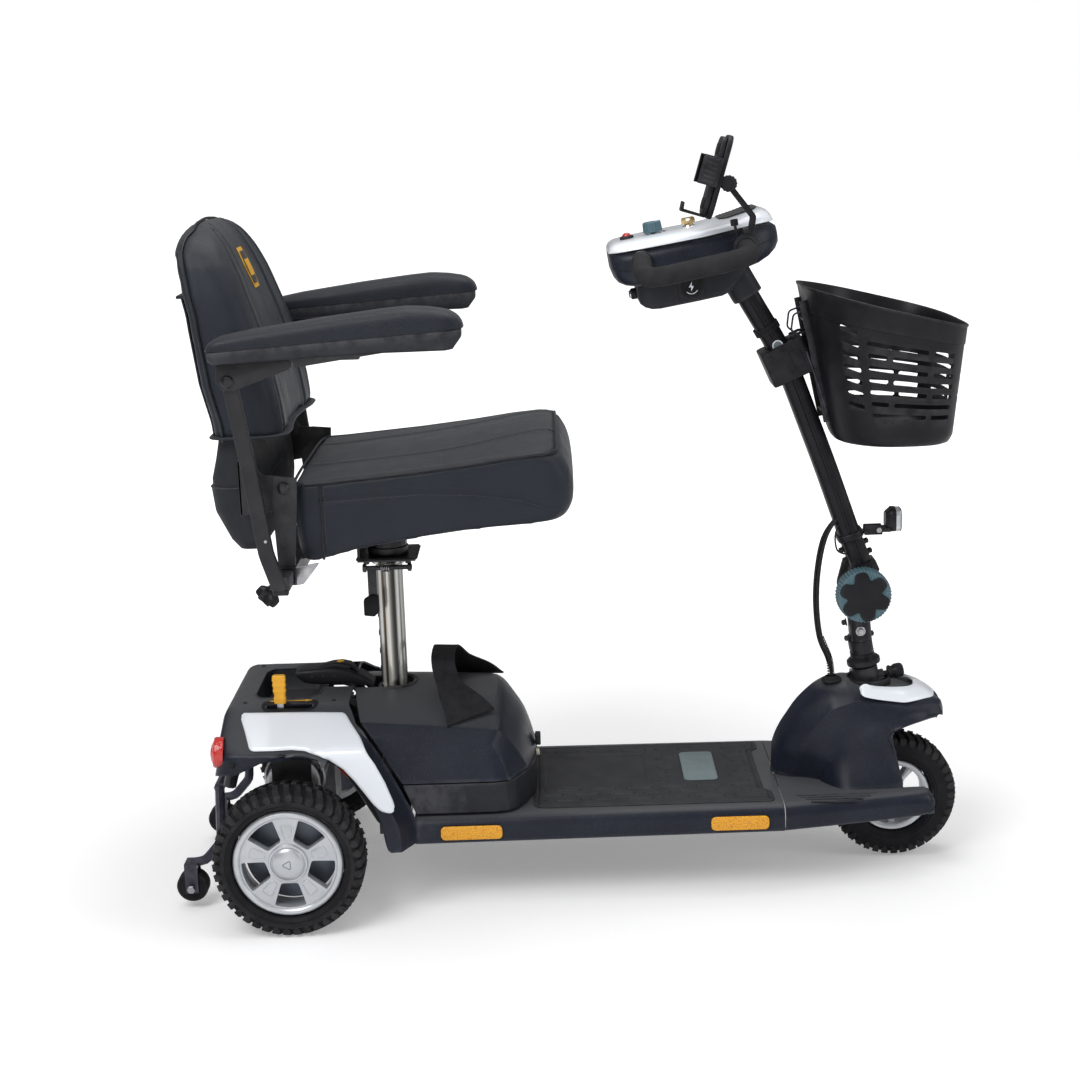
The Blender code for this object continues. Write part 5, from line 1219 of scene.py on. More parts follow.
# x, half width, bottom z, top z
LATCH_RINGS = [
    (-0.006, 0.0185, 0.33, 0.3388), (0.0, 0.0205, 0.3245, 0.34), (0.008, 0.0215, 0.3195, 0.341),
    (0.02, 0.0222, 0.3176, 0.3418), (0.035, 0.0224, 0.317, 0.3428),
    (0.056, 0.0222, 0.3166, 0.3435), (0.08, 0.0216, 0.3162, 0.3395),
    (0.098, 0.0205, 0.3128, 0.33), (0.11, 0.019, 0.3105, 0.322),
    (0.1175, 0.017, 0.3098, 0.3165)]
# x, half width, extra half height of the raised middle
LATCH_RIDGE = [(0.028, 0.008, 0.0), (0.036, 0.011, 0.0025), (0.052, 0.013, 0.0058),
               (0.066, 0.0135, 0.0068), (0.08, 0.0125, 0.004), (0.094, 0.01, -0.006)]


def ring_yz(x, z, section):
    return [(x, a, z + b) for a, b in section]


def latch_paddle():
    paddle = loft([ring_yz(x, (z0 + z1) / 2,
                           rrect(w, (z1 - z0) / 2, min(0.006, (z1 - z0) / 2 - 0.0004), 5))
                   for x, w, z0, z1 in LATCH_RINGS])
    ridge = loft([ring_yz(x, 0.3385, rrect(w, 0.004 + h, 0.0035, 4)) for x, w, h in LATCH_RIDGE])
    dots = [lathe([(0.0018, 0.0), (0.0018, 0.0006), (0.0012, 0.0009)],
                  (0.02 + 0.018 * i, -0.0226, 0.33), (0, -1, 0), 16) for i in range(3)]
    add(merge(paddle, ridge, *dots), "latch_paddle_body", "latch", MOULDED, "textured_plastic",
        "latch_handle", angle=40)
    mark = lathe([(0.0058, 0.0), (0.0058, 0.001), (0.0048, 0.0016), (0.001, 0.0018)],
                 (0.064, 0.0, 0.3487), Z_AXIS, 32)
    add(mark, "latch_mark", "latch", YELLOW, "yellow_grip")


# ============================================================ battery pack
POST_X = 0.1495
TUB_TOP_Z = 0.1975                             # foot of the cover
# lines running forward over the pack: crown (x, z) on the centre plane, creases (x, |y|, z)
CROWN = [
    (0.0876, 0.315), (0.12, 0.315), (0.16, 0.3147), (0.2, 0.3142), (0.25, 0.313), (0.29, 0.311),
    (0.3107, 0.3088), (0.3205, 0.3025), (0.3293, 0.293), (0.342, 0.2755), (0.3555, 0.2548),
    (0.364, 0.231), (0.37, 0.208)]
CREASE_1 = [
    (0.1052, 0.132, 0.2896), (0.13, 0.132, 0.2876), (0.17, 0.132, 0.2844), (0.21, 0.132, 0.281),
    (0.25, 0.1318, 0.2772), (0.285, 0.1315, 0.2736), (0.304, 0.131, 0.2714),
    (0.312, 0.1305, 0.2703), (0.3183, 0.129, 0.2676), (0.329, 0.1235, 0.254),
    (0.342, 0.1155, 0.233), (0.352, 0.1075, 0.213), (0.357, 0.102, 0.201)]
CREASE_2 = [
    (0.124, 0.152, 0.27), (0.15, 0.152, 0.2678), (0.185, 0.1518, 0.2648),
    (0.22, 0.1515, 0.2616), (0.255, 0.151, 0.258), (0.286, 0.1502, 0.2548),
    (0.3, 0.1495, 0.2528), (0.306, 0.149, 0.25), (0.3095, 0.1488, 0.245),
    (0.316, 0.1495, 0.233), (0.323, 0.1505, 0.219), (0.329, 0.1515, 0.206),
    (0.332, 0.152, 0.1985)]
FOOT_X = [0.1672, 0.18, 0.205, 0.235, 0.26, 0.282, 0.293, 0.299, 0.306, 0.314, 0.321, 0.327,
          0.3315]
CROWN_STEPS = (0.0, 0.12, 0.25, 0.38, 0.5, 0.62, 0.74, 0.84, 0.92, 0.97, 1.0)


def mirrored(p, side):
    return p[0], side * p[1], p[2]


def crown_point(a, b, t):
    """Point of the domed face from the crown point a out to the crease point b."""
    return Vec((a[0] + (b[0] - a[0]) * t ** 1.6, b[1] * t, a[2] + (b[2] - a[2]) * t ** 2.0))


def battery_half(side):
    crown = [(x, 0, z) for x, z in CROWN]
    crease1 = [Vec(mirrored(p, side)) for p in CREASE_1]
    crease2 = [Vec(mirrored(p, side)) for p in CREASE_2]
    foot = [Vec((x, side * (0.1605 if i < 9 else 0.159 - 0.0014 * (i - 9)), TUB_TOP_Z))
            for i, x in enumerate(FOOT_X)]
    obs = [grid([spline([crown_point(Vec(a), b, t) for a, b in zip(crown, crease1)], 60)
                 for t in CROWN_STEPS])]
    for upper, lower, steps in ((crease1, crease2, (0.0, 0.03, 0.25, 0.5, 0.75, 0.97, 1.0)),
                                (crease2, foot, (0.0, 0.03, 0.3, 0.6, 0.9, 1.0))):
        obs.append(grid([spline([a.lerp(b, t) for a, b in zip(upper, lower)], 60)
                         for t in steps]))
    # nose: from the front edge straight down to the foot
    edge = [crown_point(crown[-1], mirrored(CREASE_1[-1], side), t) for t in CROWN_STEPS]
    edge += [crease1[-1].lerp(crease2[-1], t) for t in (0.25, 0.5, 0.75, 1.0)]
    obs.append(grid([[(p.x + 0.0012 * t, p.y, p.z + (TUB_TOP_Z - p.z) * t) for p in edge]
                     for t in (0.0, 0.5, 1.0)]))
    return obs


# keyhole-shaped clearance round the post, open to the rear
KEYHOLE = [(POST_X + 0.0305 * math.cos(t), 0.0305 * math.sin(t))
           for t in np.linspace(-pi / 2, pi / 2, 20)] + [(0.05, 0.0305), (0.05, -0.0305)]
# right-hand outline of the tub (x, |y|), rear to front
TUB_REAR, TUB_FRONT = 0.169, 0.3725
TUB = [(TUB_REAR, 0.1625), (0.26, 0.1625), (0.3, 0.162), (0.324, 0.158), (0.34, 0.144),
       (0.354, 0.116), (0.3665, 0.08), (0.3712, 0.045), (TUB_FRONT, 0.0)]
# z, scale of the outline, rear x
TUB_RINGS = [(0.1463, 0.955, 0.188), (0.1472, 0.968, 0.1868), (0.15, 0.975, 0.185),
             (0.19, 0.996, 0.17), (0.194, 0.998, 0.1688), (0.195, 0.99, 0.169)]
STRAP_PATH = [
    (0.28, 0.1235, 0.285), (0.276, 0.108, 0.295), (0.255, 0.085, 0.319), (0.238, 0.06, 0.346),
    (0.231, 0.045, 0.356), (0.229, 0.02, 0.3585), (0.229, -0.02, 0.3585), (0.23, -0.04, 0.356),
    (0.232, -0.048, 0.344), (0.242, -0.076, 0.323), (0.264, -0.105, 0.3005),
    (0.274, -0.1215, 0.2885)]


def battery_pack():
    cover = weld(merge(*battery_half(-1), *battery_half(1)), 0.0008)
    cover = solid(bevel(cover, 0.0022, 3, 16), 0.0026, -1)
    cut(cover, prism_z(KEYHOLE, 0.15, 0.36))
    add(cover, "battery_pack_cover", "battery_pack", PAINT, "speckled_paint", "battery_cover",
        angle=22)
    dish = lathe([(0.03, -0.03), (0.0306, -0.004), (0.033, 0.0006), (0.0372, 0.001),
                  (0.039, -0.0008), (0.039, -0.0035), (0.033, -0.003)],
                 (POST_X, 0, 0.315), (0.012, 0, 1), 64, ring=True)
    cut(dish, block((POST_X - 0.08, POST_X - 0.006), (-0.08, 0.08), (0.25, 0.36), 0))
    add(dish, "battery_post_dish", "battery_pack", TEXTURED, "textured_plastic")

    outline = rounded([(a, -b, 0) for a, b in TUB] + [(a, b, 0) for a, b in TUB[-2::-1]],
                      0.012, 4)
    rings = [[(x_rear + (p.x - TUB_REAR) / (TUB_FRONT - TUB_REAR)
               * (TUB_FRONT * (0.985 + 0.015 * k) - x_rear), p.y * k, z) for p in outline]
             for z, k, x_rear in TUB_RINGS]
    tub = cut(loft(rings), prism_z(KEYHOLE, 0.1, 0.36))
    add(tub, "battery_tub", "battery_pack", TEXTURED, "textured_plastic", "battery_tray",
        "battery_cells", angle=35)
    add(block((0.37, 0.379), (-0.022, -0.006), (0.205, 0.224), 0.0018), "battery_front_latch",
        "battery_pack", MOULDED, "textured_plastic")
    button = lathe([(0.006, 0.0), (0.006, 0.0042), (0.005, 0.0052), (0.001, 0.0054)],
                   (0.3712, -0.016, 0.1925), (1, 0, 0.1), 24)
    add(button, "breaker_button", "battery_pack", CREAM, "textured_plastic")


def carry_strap():
    """Webbing that widens towards both ends."""
    path = spline([Vec(p) for p in STRAP_PATH], 60)
    across = Vec((1, 0, -0.06))
    rings = []
    for i, p in enumerate(path):
        t = (path[min(59, i + 1)] - path[max(0, i - 1)]).normalized()
        off_middle = abs(i - 29.5) / 29.5
        half_w = 0.0185 + 0.0215 * max(0, (off_middle - 0.55) / 0.45) ** 0.9
        u = (across - t * t.dot(across)).normalized()
        w = t.cross(u)
        rings.append([p + u * a + w * b for a, b in rrect(half_w, 0.0017, 0.001, 3)])
    add(loft(rings), "carry_strap", "battery_pack", STRAP, "strap", "battery_strap", angle=60)


# ============================================================ deck, mat, reflectors
DECK_TOP, DECK_LOW, DECK_WALL = 0.1425, 0.1012, 0.0028


def deck_half(x):
    return interp(x, [0.19, 0.75, 0.99], [0.169, 0.161, 0.125])


def deck_piece(xs, tops, bottoms):
    """Moulded footboard: flat top, rounded side, a step line and a turned-in lower lip."""
    rows = []
    for x, t, b in zip(xs, tops, bottoms):
        w = deck_half(x)
        half = [(0.0, t), (w - 0.03, t), (w - 0.017, t - 0.0004), (w - 0.01, t - 0.002),
                (w - 0.005, t - 0.0055), (w - 0.002, t - 0.0105), (w - 0.0002, t - 0.015),
                (w + 0.0004, t - 0.02), (w, b + 0.008), (w - 0.0006, b + 0.003),
                (w - 0.003, b + 0.0004), (w - 0.009, b), (w - 0.0092, b + 0.003)]
        rows.append([(x, -a, c) for a, c in half[::-1]] + [(x, a, c) for a, c in half[1:]])
    ob = solid_inward(grid(rows), DECK_WALL, max(tops) + 0.0005)
    for v in ob.data.vertices:         # mitred corners of the shell stay inside the outline
        x = min(max(v.co.x, xs[0]), xs[-1] + 0.0004)
        w = deck_half(x) + 0.0006
        v.co = (x, min(max(v.co.y, -w), w),
                min(max(v.co.z, min(bottoms)), max(tops) + 0.0003))
    return ob


def deck():
    xs = [0.183] + list(np.linspace(0.2, 0.74, 20)) + [0.749, 0.7508, 0.7515]
    main = deck_piece(xs, [DECK_TOP] * len(xs), [DECK_LOW] * len(xs))
    add(main, "deck_main", "chassis", PAINT, "speckled_paint", "footboard_main", angle=30)
    xs = ([0.7525, 0.7535, 0.756] + list(np.linspace(0.77, 0.965, 14))
          + [0.976, 0.982, 0.986, 0.988])
    tops = [DECK_TOP + interp(x, [0.75, 0.9, 0.97, 0.976, 0.982, 0.986, 0.988],
                              [0, 0.0015, 0.003, 0.0025, -0.0005, -0.006, -0.012]) for x in xs]
    bottoms = [interp(x, [0.75, 0.9, 0.97, 0.988], [0.1017, 0.104, 0.1065, 0.112]) for x in xs]
    front = deck_piece(xs, tops, bottoms)
    well = round_poly([(0.826, -0.06), (0.85, -0.1005), (1.05, -0.1005), (1.05, 0.1005),
                       (0.85, 0.1005), (0.826, 0.06)], 0.012, 4)
    cut(front, prism_z(well, 0.05, 0.2))
    caps = [block((0.984, 0.9882), span(side, 0.1005, 0.125), (0.1125, 0.133), 0.0016)
            for side in (-1, 1)]
    add(merge(front, *caps), "deck_front_half", "chassis", PAINT, "speckled_paint",
        "footboard_front", angle=30)


MAT_REAR, MAT_HALF, MAT_TOP, MAT_LOW = 0.366, 0.1378, 0.1448, 0.1428
DASH_ROW, DASH_PITCH = 0.022, 0.056            # spacing of the raised dashes across and along


def mat_front(y):
    """Front edge of the mat: it steps back in the middle."""
    return interp(abs(y - 0.005), [0.0, 0.088, 0.1, 0.16], [0.727, 0.7275, 0.7385, 0.74])


def mat_height(x, y):
    """Height with soft edge, border groove, smooth pad, badge seat and dashes."""
    z = MAT_TOP
    e = min(MAT_HALF - abs(y), mat_front(y) - x, x - MAT_REAR)
    if e < 0.003:
        return z - 0.001 * (1 - e / 0.003) ** 2
    if 0.0065 < e < 0.0088:
        return z - 0.0015
    pad_y = abs(y - 0.021)
    if 0.384 < x < 0.548 and pad_y < 0.0745:
        d = min(0.548 - x, x - 0.384, 0.0745 - pad_y)
        return z - 0.0014 * min(1.0, d / 0.003)
    if 0.603 < x < 0.664 and -0.044 < y < 0.0975:
        d = min(x - 0.603, 0.664 - x, y + 0.044, 0.0975 - y)
        return z - 0.0012 * min(1.0, d / 0.002)
    if e > 0.012 and x > 0.38:
        if 0.593 < x < 0.674 and -0.054 < y < 0.107:
            return z
        if x < 0.556 and pad_y < 0.083:
            return z
        row = (y + 0.121) / DASH_ROW
        k = math.floor(row)
        dy = abs(row - k - 0.5) * DASH_ROW
        u = (x + (0.028 if k % 2 else 0.0)) / DASH_PITCH
        dx = abs(u - math.floor(u) - 0.5) * DASH_PITCH
        if dx < 0.0205 and dy < 0.0044:
            return z - 0.0013 if dy > 0.0026 or dx > 0.0185 else z + 0.0004
    return z


def corner_cut(over, r):
    """Set-back of a rounded plan corner of radius r at a distance over past its start."""
    over = max(0.0, over)
    return r - math.sqrt(max(0.0, r ** 2 - over * over))


def floor_mat():
    nx, ny = ((250, 186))
    verts, faces = [], []
    for j in range(ny):
        y = -MAT_HALF + 2 * MAT_HALF * j / (ny - 1)
        lo = MAT_REAR + corner_cut(abs(y) - (MAT_HALF - 0.018), 0.018)
        hi = mat_front(y) - corner_cut(abs(y) - (MAT_HALF - 0.01), 0.01)
        for i in range(nx):
            x = lo + (hi - lo) * (i / (nx - 1))
            verts.append((x, y, mat_height(x, y)))
    top_count = len(verts)
    verts += [(x, y, MAT_LOW) for x, y, z in verts]
    for j in range(ny - 1):
        for i in range(nx - 1):
            a = j * nx + i
            faces.append((a, a + 1, a + nx + 1, a + nx))
    edge = (list(range(nx)) + [(j + 1) * nx - 1 for j in range(1, ny)]
            + [(ny - 1) * nx + i for i in range(nx - 2, -1, -1)]
            + [j * nx for j in range(ny - 2, 0, -1)])
    for a, b in zip(edge, edge[1:] + edge[:1]):
        faces.append((a, a + top_count, b + top_count, b))
    faces.append(tuple(i + top_count for i in edge))
    ob = mesh(verts, faces)
    with editing(ob.data) as bm:               # unused points of the underside
        bmesh.ops.delete(bm, geom=[v for v in bm.verts if not v.link_faces], context="VERTS")
    add(ob, "floor_mat_ribbed", "chassis", MAT_RUBBER, "floor_rubber", "floor_mat", angle=25)
    badge = slab(round_rect(-0.027, 0.027, -0.066, 0.066, 0.01, 6), (0.6335, 0.0268, 0.1437),
                 Z_AXIS, (1, 0, 0), 0.0012, 0.0004, 2)
    add(badge, "mat_badge", "chassis", BADGE, "floor_rubber", angle=30)


def front_ridges():
    """Four ridges on each side of the front footboard."""
    ridges = []
    for side in (-1, 1):
        for i in range(4):
            y = side * (0.118 + 0.0085 * i)
            ridges.append(block((0.775 + 0.006 * i, 0.9 - 0.012 * i), (y - 0.0018, y + 0.0018),
                                (0.1422, 0.1445), 0.0009, 2))
    add(merge(*ridges), "front_tread_ridges", "chassis", TEXTURED, "textured_plastic", angle=35)


REFLECTOR_Z = 0.119


def reflectors():
    for label, side in SIDES:
        for place, x0, x1 in (("rear", 0.2228, 0.3174), ("front", 0.6376, 0.7267)):
            xc = (x0 + x1) / 2
            y = deck_half(xc) + 0.0006
            poly = round_rect(x0, x1, 0.108, 0.13, 0.0085, 7)
            lens = slab([(a - xc, b - REFLECTOR_Z) for a, b in poly],
                        (xc, side * (y - 0.001), REFLECTOR_Z), (0, side, 0), (1, 0, 0),
                        0.0042, 0.0014, 3)
            add(lens, f"reflector_{place}_{label}", "chassis", AMBER, "yellow_grip", angle=30)
            rim = slab([((a - xc) * 1.025, (b - REFLECTOR_Z) * 1.12) for a, b in poly],
                       (xc, side * (y - 0.002), REFLECTOR_Z), (0, side, 0), (1, 0, 0),
                       0.0028, 0.0006, 2)
            add(rim, f"reflector_frame_{place}_{label}", "chassis", MOULDED, "textured_plastic",
                angle=30)


# ============================================================ front shell over the steering head
# matching stations (x, |y|, z) of four lines, from the foot of the rear face to the nose
SHELL_CROWN = [
    (0.748, 0, 0.1428), (0.7494, 0, 0.172), (0.7512, 0, 0.1955), (0.761, 0, 0.22),
    (0.7738, 0, 0.2404), (0.788, 0, 0.261), (0.8027, 0, 0.2764), (0.818, 0, 0.2888),
    (0.8331, 0, 0.2955), (0.848, 0, 0.2975), (0.8618, 0, 0.2979), (0.9, 0, 0.2925),
    (0.94, 0, 0.2855), (0.9786, 0, 0.2774), (1.0, 0, 0.269), (1.019, 0, 0.2526),
    (1.0245, 0, 0.242), (1.0257, 0, 0.2325)]
SHELL_UPPER = [
    (0.7788, 0.034, 0.1428), (0.7835, 0.038, 0.162), (0.7875, 0.042, 0.178),
    (0.792, 0.045, 0.1911), (0.8, 0.048, 0.209), (0.8075, 0.05, 0.222),
    (0.8152, 0.052, 0.2336), (0.829, 0.055, 0.25), (0.8431, 0.058, 0.2625),
    (0.86, 0.0595, 0.269), (0.8764, 0.06, 0.2734), (0.905, 0.061, 0.27),
    (0.9336, 0.062, 0.2659), (0.9577, 0.062, 0.2613), (0.9837, 0.052, 0.2623),
    (1.0083, 0.038, 0.259), (1.0165, 0.033, 0.2465), (1.0188, 0.03, 0.2375)]
SHELL_LOWER = [
    (0.8199, 0.052, 0.1428), (0.824, 0.056, 0.158), (0.83, 0.061, 0.17), (0.836, 0.066, 0.179),
    (0.844, 0.07, 0.188), (0.853, 0.0735, 0.196), (0.862, 0.076, 0.203),
    (0.875, 0.0785, 0.211), (0.888, 0.08, 0.218), (0.9, 0.0805, 0.2235),
    (0.91, 0.0805, 0.228), (0.9211, 0.08, 0.2321), (0.937, 0.078, 0.235),
    (0.9531, 0.075, 0.2369), (0.968, 0.069, 0.2402), (0.9824, 0.06, 0.2415),
    (0.998, 0.047, 0.2412), (1.008, 0.04, 0.2405)]
SHELL_FOOT = [
    (0.821, 0.058, 0.1428), (0.829, 0.072, 0.1428), (0.838, 0.086, 0.1428),
    (0.849, 0.097, 0.1428), (0.862, 0.102, 0.1428), (0.878, 0.1032, 0.1428),
    (0.895, 0.1034, 0.1428), (0.912, 0.1034, 0.1428), (0.929, 0.1034, 0.1428),
    (0.943, 0.102, 0.148), (0.938, 0.0975, 0.174), (0.93, 0.0935, 0.2),
    (0.9215, 0.089, 0.225), (0.945, 0.076, 0.2325), (0.964, 0.0675, 0.2362),
    (0.98, 0.0575, 0.2372), (0.9955, 0.045, 0.237), (1.006, 0.0385, 0.2372)]
# outer and inner edge of the white trim (x, |y|, z), rear to front
TRIM_OUTER = [
    (0.8827, 0.05, 0.2901), (0.8904, 0.062, 0.2804), (0.9432, 0.062, 0.2706),
    (0.9604, 0.06, 0.2699), (0.985, 0.045, 0.2695), (1.0022, 0.03, 0.2684),
    (1.01, 0.0, 0.267)]
TRIM_INNER = [
    (0.896, 0.046, 0.2925), (0.904, 0.045, 0.2905), (0.92, 0.043, 0.288),
    (0.94, 0.04, 0.286), (0.958, 0.035, 0.2848), (0.97, 0.024, 0.2842),
    (0.9758, 0.0, 0.285)]


def stations(points, per=5):
    """Curve through the points with the same number of samples between every two."""
    P = [np.array(p, float) for p in points]
    out = []
    for i in range(len(P) - 1):
        p1, p2 = P[i], P[i + 1]
        p0 = P[i - 1] if i else 2 * p1 - p2
        p3 = P[i + 2] if i + 2 < len(P) else 2 * p2 - p1
        a, b = (p2 - p0) / 2, (p3 - p1) / 2
        limit = 1.2 * np.linalg.norm(p2 - p1)
        a, b = (q * min(1.0, limit / max(1e-9, np.linalg.norm(q))) for q in (a, b))
        for k in range(per):
            t = k / per
            out.append((2 * t ** 3 - 3 * t * t + 1) * p1 + (t ** 3 - 2 * t * t + t) * a
                       + (3 * t * t - 2 * t ** 3) * p2 + (t ** 3 - t * t) * b)
    out.append(P[-1])
    return [Vec([float(c) for c in p]) for p in out]


def shell_half(side):
    lines = [stations(k) for k in (SHELL_CROWN, SHELL_UPPER, SHELL_LOWER, SHELL_FOOT)]
    n = len(lines[0])
    rows = []
    for i, (a, b, c, d) in enumerate(zip(*lines)):
        # the crown bulges rearward low down and upward over the top, fading at the nose
        rearward = max(0.0, 1 - i / (n * 0.45))
        normal = Vec((-0.8, 0.35, 0.25)).normalized()
        normal = normal.lerp(Vec((0.0, 0.45, 0.88)), 1 - rearward).normalized()
        fade = 1.0 if i < n * 0.9 else (n - 1 - i) / (n * 0.1)
        row = [a.lerp(b, t) + normal * (math.sin(pi * t) * 0.0085) * fade
               for t in np.linspace(0, 1, 13)]
        for p, q, bulge in ((b, c, -0.0035), (c, d, 0.0012)):
            row += [p.lerp(q, t) + Vec((0, 1, 0)) * (bulge * math.sin(pi * t))
                    for t in np.linspace(0, 1, 9)[1:]]
        rows.append([(p.x, side * p.y, p.z) for p in row])
    return grid(rows)


def front_shell():
    shell = weld(merge(shell_half(-1), shell_half(1)), 0.0004)
    head_hole = lathe([(0.033, 0.0), (0.033, 0.08)], (0.912, 0, 0.255),
                      (-math.sin(LEAN), 0, math.cos(LEAN)), 40)
    shell = cut(solid_inward(shell, 0.0026, 0.3005), head_hole)
    add(shell, "front_shell", "chassis", PAINT, "speckled_paint", "front_shroud", angle=24)
    collar = lathe([(0.0322, -0.004), (0.0322, 0.0035), (0.0345, 0.0052), (0.037, 0.0035),
                    (0.037, -0.004)], (0.9035, 0, 0.2925), (-0.02, 0, 1), 56, ring=True)
    add(collar, "front_shell_collar", "chassis", MOULDED, "textured_plastic")

    outer, inner = spline(TRIM_OUTER, 40), spline(TRIM_INNER, 40)
    rows = []
    for side, order in ((-1, range(40)), (1, range(38, -1, -1))):
        for i in order:
            row = []
            for t, lift in ((0.0, -0.001), (0.03, 0.0018), (0.12, 0.003), (0.5, 0.005),
                            (0.88, 0.004), (0.97, 0.0026), (1.0, 0.0)):
                p = outer[i].lerp(inner[i], t)
                row.append((p.x, side * p.y, p.z + lift + 0.0022))
            rows.append(row)
    add(solid(grid(rows), 0.0022, -1), "white_front_trim", "chassis", WHITE, "white_panel",
        "front_trim", angle=40)


# ============================================================ steering head, fork
LEAN = math.radians(10)                        # the steering axis leans back
STEER_UP = Vec((-math.sin(LEAN), 0, math.cos(LEAN)))
STEER_FWD = Vec((math.cos(LEAN), 0, math.sin(LEAN)))
TILT = (0.887, 0, 0.446)                       # axis on which the tiller tilts
FORK_LEG = [(0.901, 0.224), (0.933, 0.224), (0.946, 0.165), (0.959, 0.106), (0.956, 0.093),
            (0.948, 0.087), (0.938, 0.087), (0.929, 0.096), (0.918, 0.15)]   # x, z


def steer(z, off=0.0):
    """Point on the steering axis at height z, moved forward by off."""
    x = 0.9005 - (z - 0.305) * math.tan(LEAN)
    return Vec((x, 0, z)) + STEER_FWD * off


def steering_stem():
    head = [rod(steer(0.257), steer(0.313), 0.0202, 40, chamfer=0.001),
            lathe([(0.0076, 0.0), (0.0076, 0.016), (0.0068, 0.017)], steer(0.296, 0.011),
                  STEER_FWD, 24)]
    add(merge(*head), "head_tube", "chassis", BLACK_STEEL, "painted_steel")
    flange = [lathe([(0.019, 0.0), (0.0262, 0.0035), (0.0266, 0.0055), (0.0262, 0.0105),
                     (0.024, 0.0125), (0.0195, 0.016), (0.0186, 0.02), (0.0186, 0.027),
                     (0.0176, 0.029), (0.012, 0.0295)], steer(0.316), STEER_UP, 56)]
    for k in range(2):
        flange.append(lathe([(0.0188, 0.0), (0.0194, 0.0008), (0.0188, 0.0016)],
                            steer(0.316) + STEER_UP * (0.019 + 0.004 * k), STEER_UP, 48,
                            ring=True))
    add(merge(*flange), "steering_flange", "steering", MOULDED, "textured_plastic")

    section = rrect(0.0168, 0.0235, 0.016, 6)  # half fore-and-aft, half sideways
    low, high = steer(0.34), Vec((0.886, 0, 0.43))
    parts = [sweep([low, low.lerp(high, 0.5), high], [(y, x) for x, y in section], up=Y_AXIS)]
    collar = sweep([steer(0.342), steer(0.36)], [(y * 1.1, x * 1.08) for x, y in section],
                   up=Y_AXIS)
    parts.append(bevel(collar, 0.0012, 2))
    cheek = [(0.0285 * math.cos(t), 0.0285 * math.sin(t))
             for t in np.linspace(-0.35, pi + 0.35, 22)] + [(-0.019, -0.04), (0.019, -0.04)]
    for side in (-1, 1):
        parts.append(slab([(-side * a, b) for a, b in cheek], (TILT[0], side * 0.019, TILT[2]),
                          (0, side, 0), (1, 0, 0), 0.0105, 0.0016, 2))
    for side in (-1, 1):                       # a flat rib on each side
        off = Vec((0, side * 0.0234, 0))
        parts.append(sweep([steer(0.352) + off, steer(0.406) + off],
                           rrect(0.0045, 0.0008, 0.0007, 2), up=STEER_FWD))
    add(merge(*parts), "steering_stem", "steering", MOULDED, "textured_plastic")
    heads = [p for side in (-1, 1)
             for p in bolt((0.8885, side * 0.0236, 0.378), (0, side, 0), 0.005)]
    add(merge(*heads), "steering_stem_bolts", "steering", ZINC, "machined_metal", angle=25)


def fork():
    xc = steer(0.222).x
    parts = [block((xc - 0.016, xc + 0.016), (-0.0425, 0.0425), (0.212, 0.224), 0.003)]
    for side in (-1, 1):
        parts.append(prism_y(FORK_LEG, *span(side, 0.0365, 0.0415), 0.0012, 2))
        parts += bolt((FRONT_X, side * 0.0418, FRONT_R), (0, side, 0), 0.0075, 0.006)
    parts.append(rod(steer(0.22), steer(0.256), 0.0114, 32))
    parts.append(rod((FRONT_X, -0.0415, FRONT_R), (FRONT_X, 0.0415, FRONT_R), 0.006, 20))
    add(merge(*parts), "steering_fork_welded", "steering", BLACK_STEEL, "painted_steel",
        "steering_fork")


def lock_plunger():
    root = steer(0.296, 0.016)
    parts = [rod(root, root + STEER_FWD * 0.02, 0.0037, 20, chamfer=0.0006),
             lathe([(0.0085, 0.0), (0.0105, 0.0014), (0.011, 0.004), (0.0092, 0.0065),
                    (0.0092, 0.008), (0.011, 0.0105), (0.0112, 0.02), (0.0106, 0.0235),
                    (0.008, 0.0255), (0.002, 0.026)], root + STEER_FWD * 0.018, STEER_FWD, 36)]
    m = frame_on(root + STEER_FWD * 0.03, STEER_FWD)
    for x, y in circle(0.0108, 14):
        parts.append(rod(m @ Vec((x, y, 0)), m @ Vec((x, y, 0.009)), 0.0009, 6))
    add(merge(*parts), "lock_plunger_knob", "lock_pin", MOULDED, "textured_plastic",
        "lock_plunger")


# ============================================================ carried-over structure, motor
MOTOR_Z = 0.205


def structure():
    dress("front_frame", BLACK_STEEL, edge=0.0006)
    dress("rear_frame", BLACK_STEEL, edge=0.0006)
    dress("anti_tip_bracket", STEEL, edge=0.0008)
    dress("transaxle", CAST, edge=0.0008)
    dress("drive_motor", CAST)
    rings = [lathe([(0.0445, 0.0), (0.047, 0.001), (0.047, 0.012), (0.0445, 0.013)],
                   (0, -0.138, MOTOR_Z), Y_AXIS, 64, ring=True),
             lathe([(0.038, 0.0), (0.042, 0.003), (0.0435, 0.006)], (0, -0.1525, MOTOR_Z),
                   Y_AXIS, 56)]
    add(merge(*rings), "motor_end_rings", "chassis", ZINC, "machined_metal")
    for name, r, mat, path in (
            ("motor_cable", 0.0032, RED_CABLE,
             [(0.03, -0.12, 0.245), (0.052, -0.13, 0.252), (0.066, -0.128, 0.235),
              (0.07, -0.11, 0.205), (0.08, -0.08, 0.18)]),
            ("motor_cable_black", 0.0036, CABLE,
             [(0.026, -0.1, 0.248), (0.046, -0.118, 0.262), (0.06, -0.112, 0.245),
              (0.064, -0.09, 0.205), (0.078, -0.06, 0.18)])):
        add(sweep(spline(path, 30), circle(r, 10)), name, "chassis", mat, "rubber")


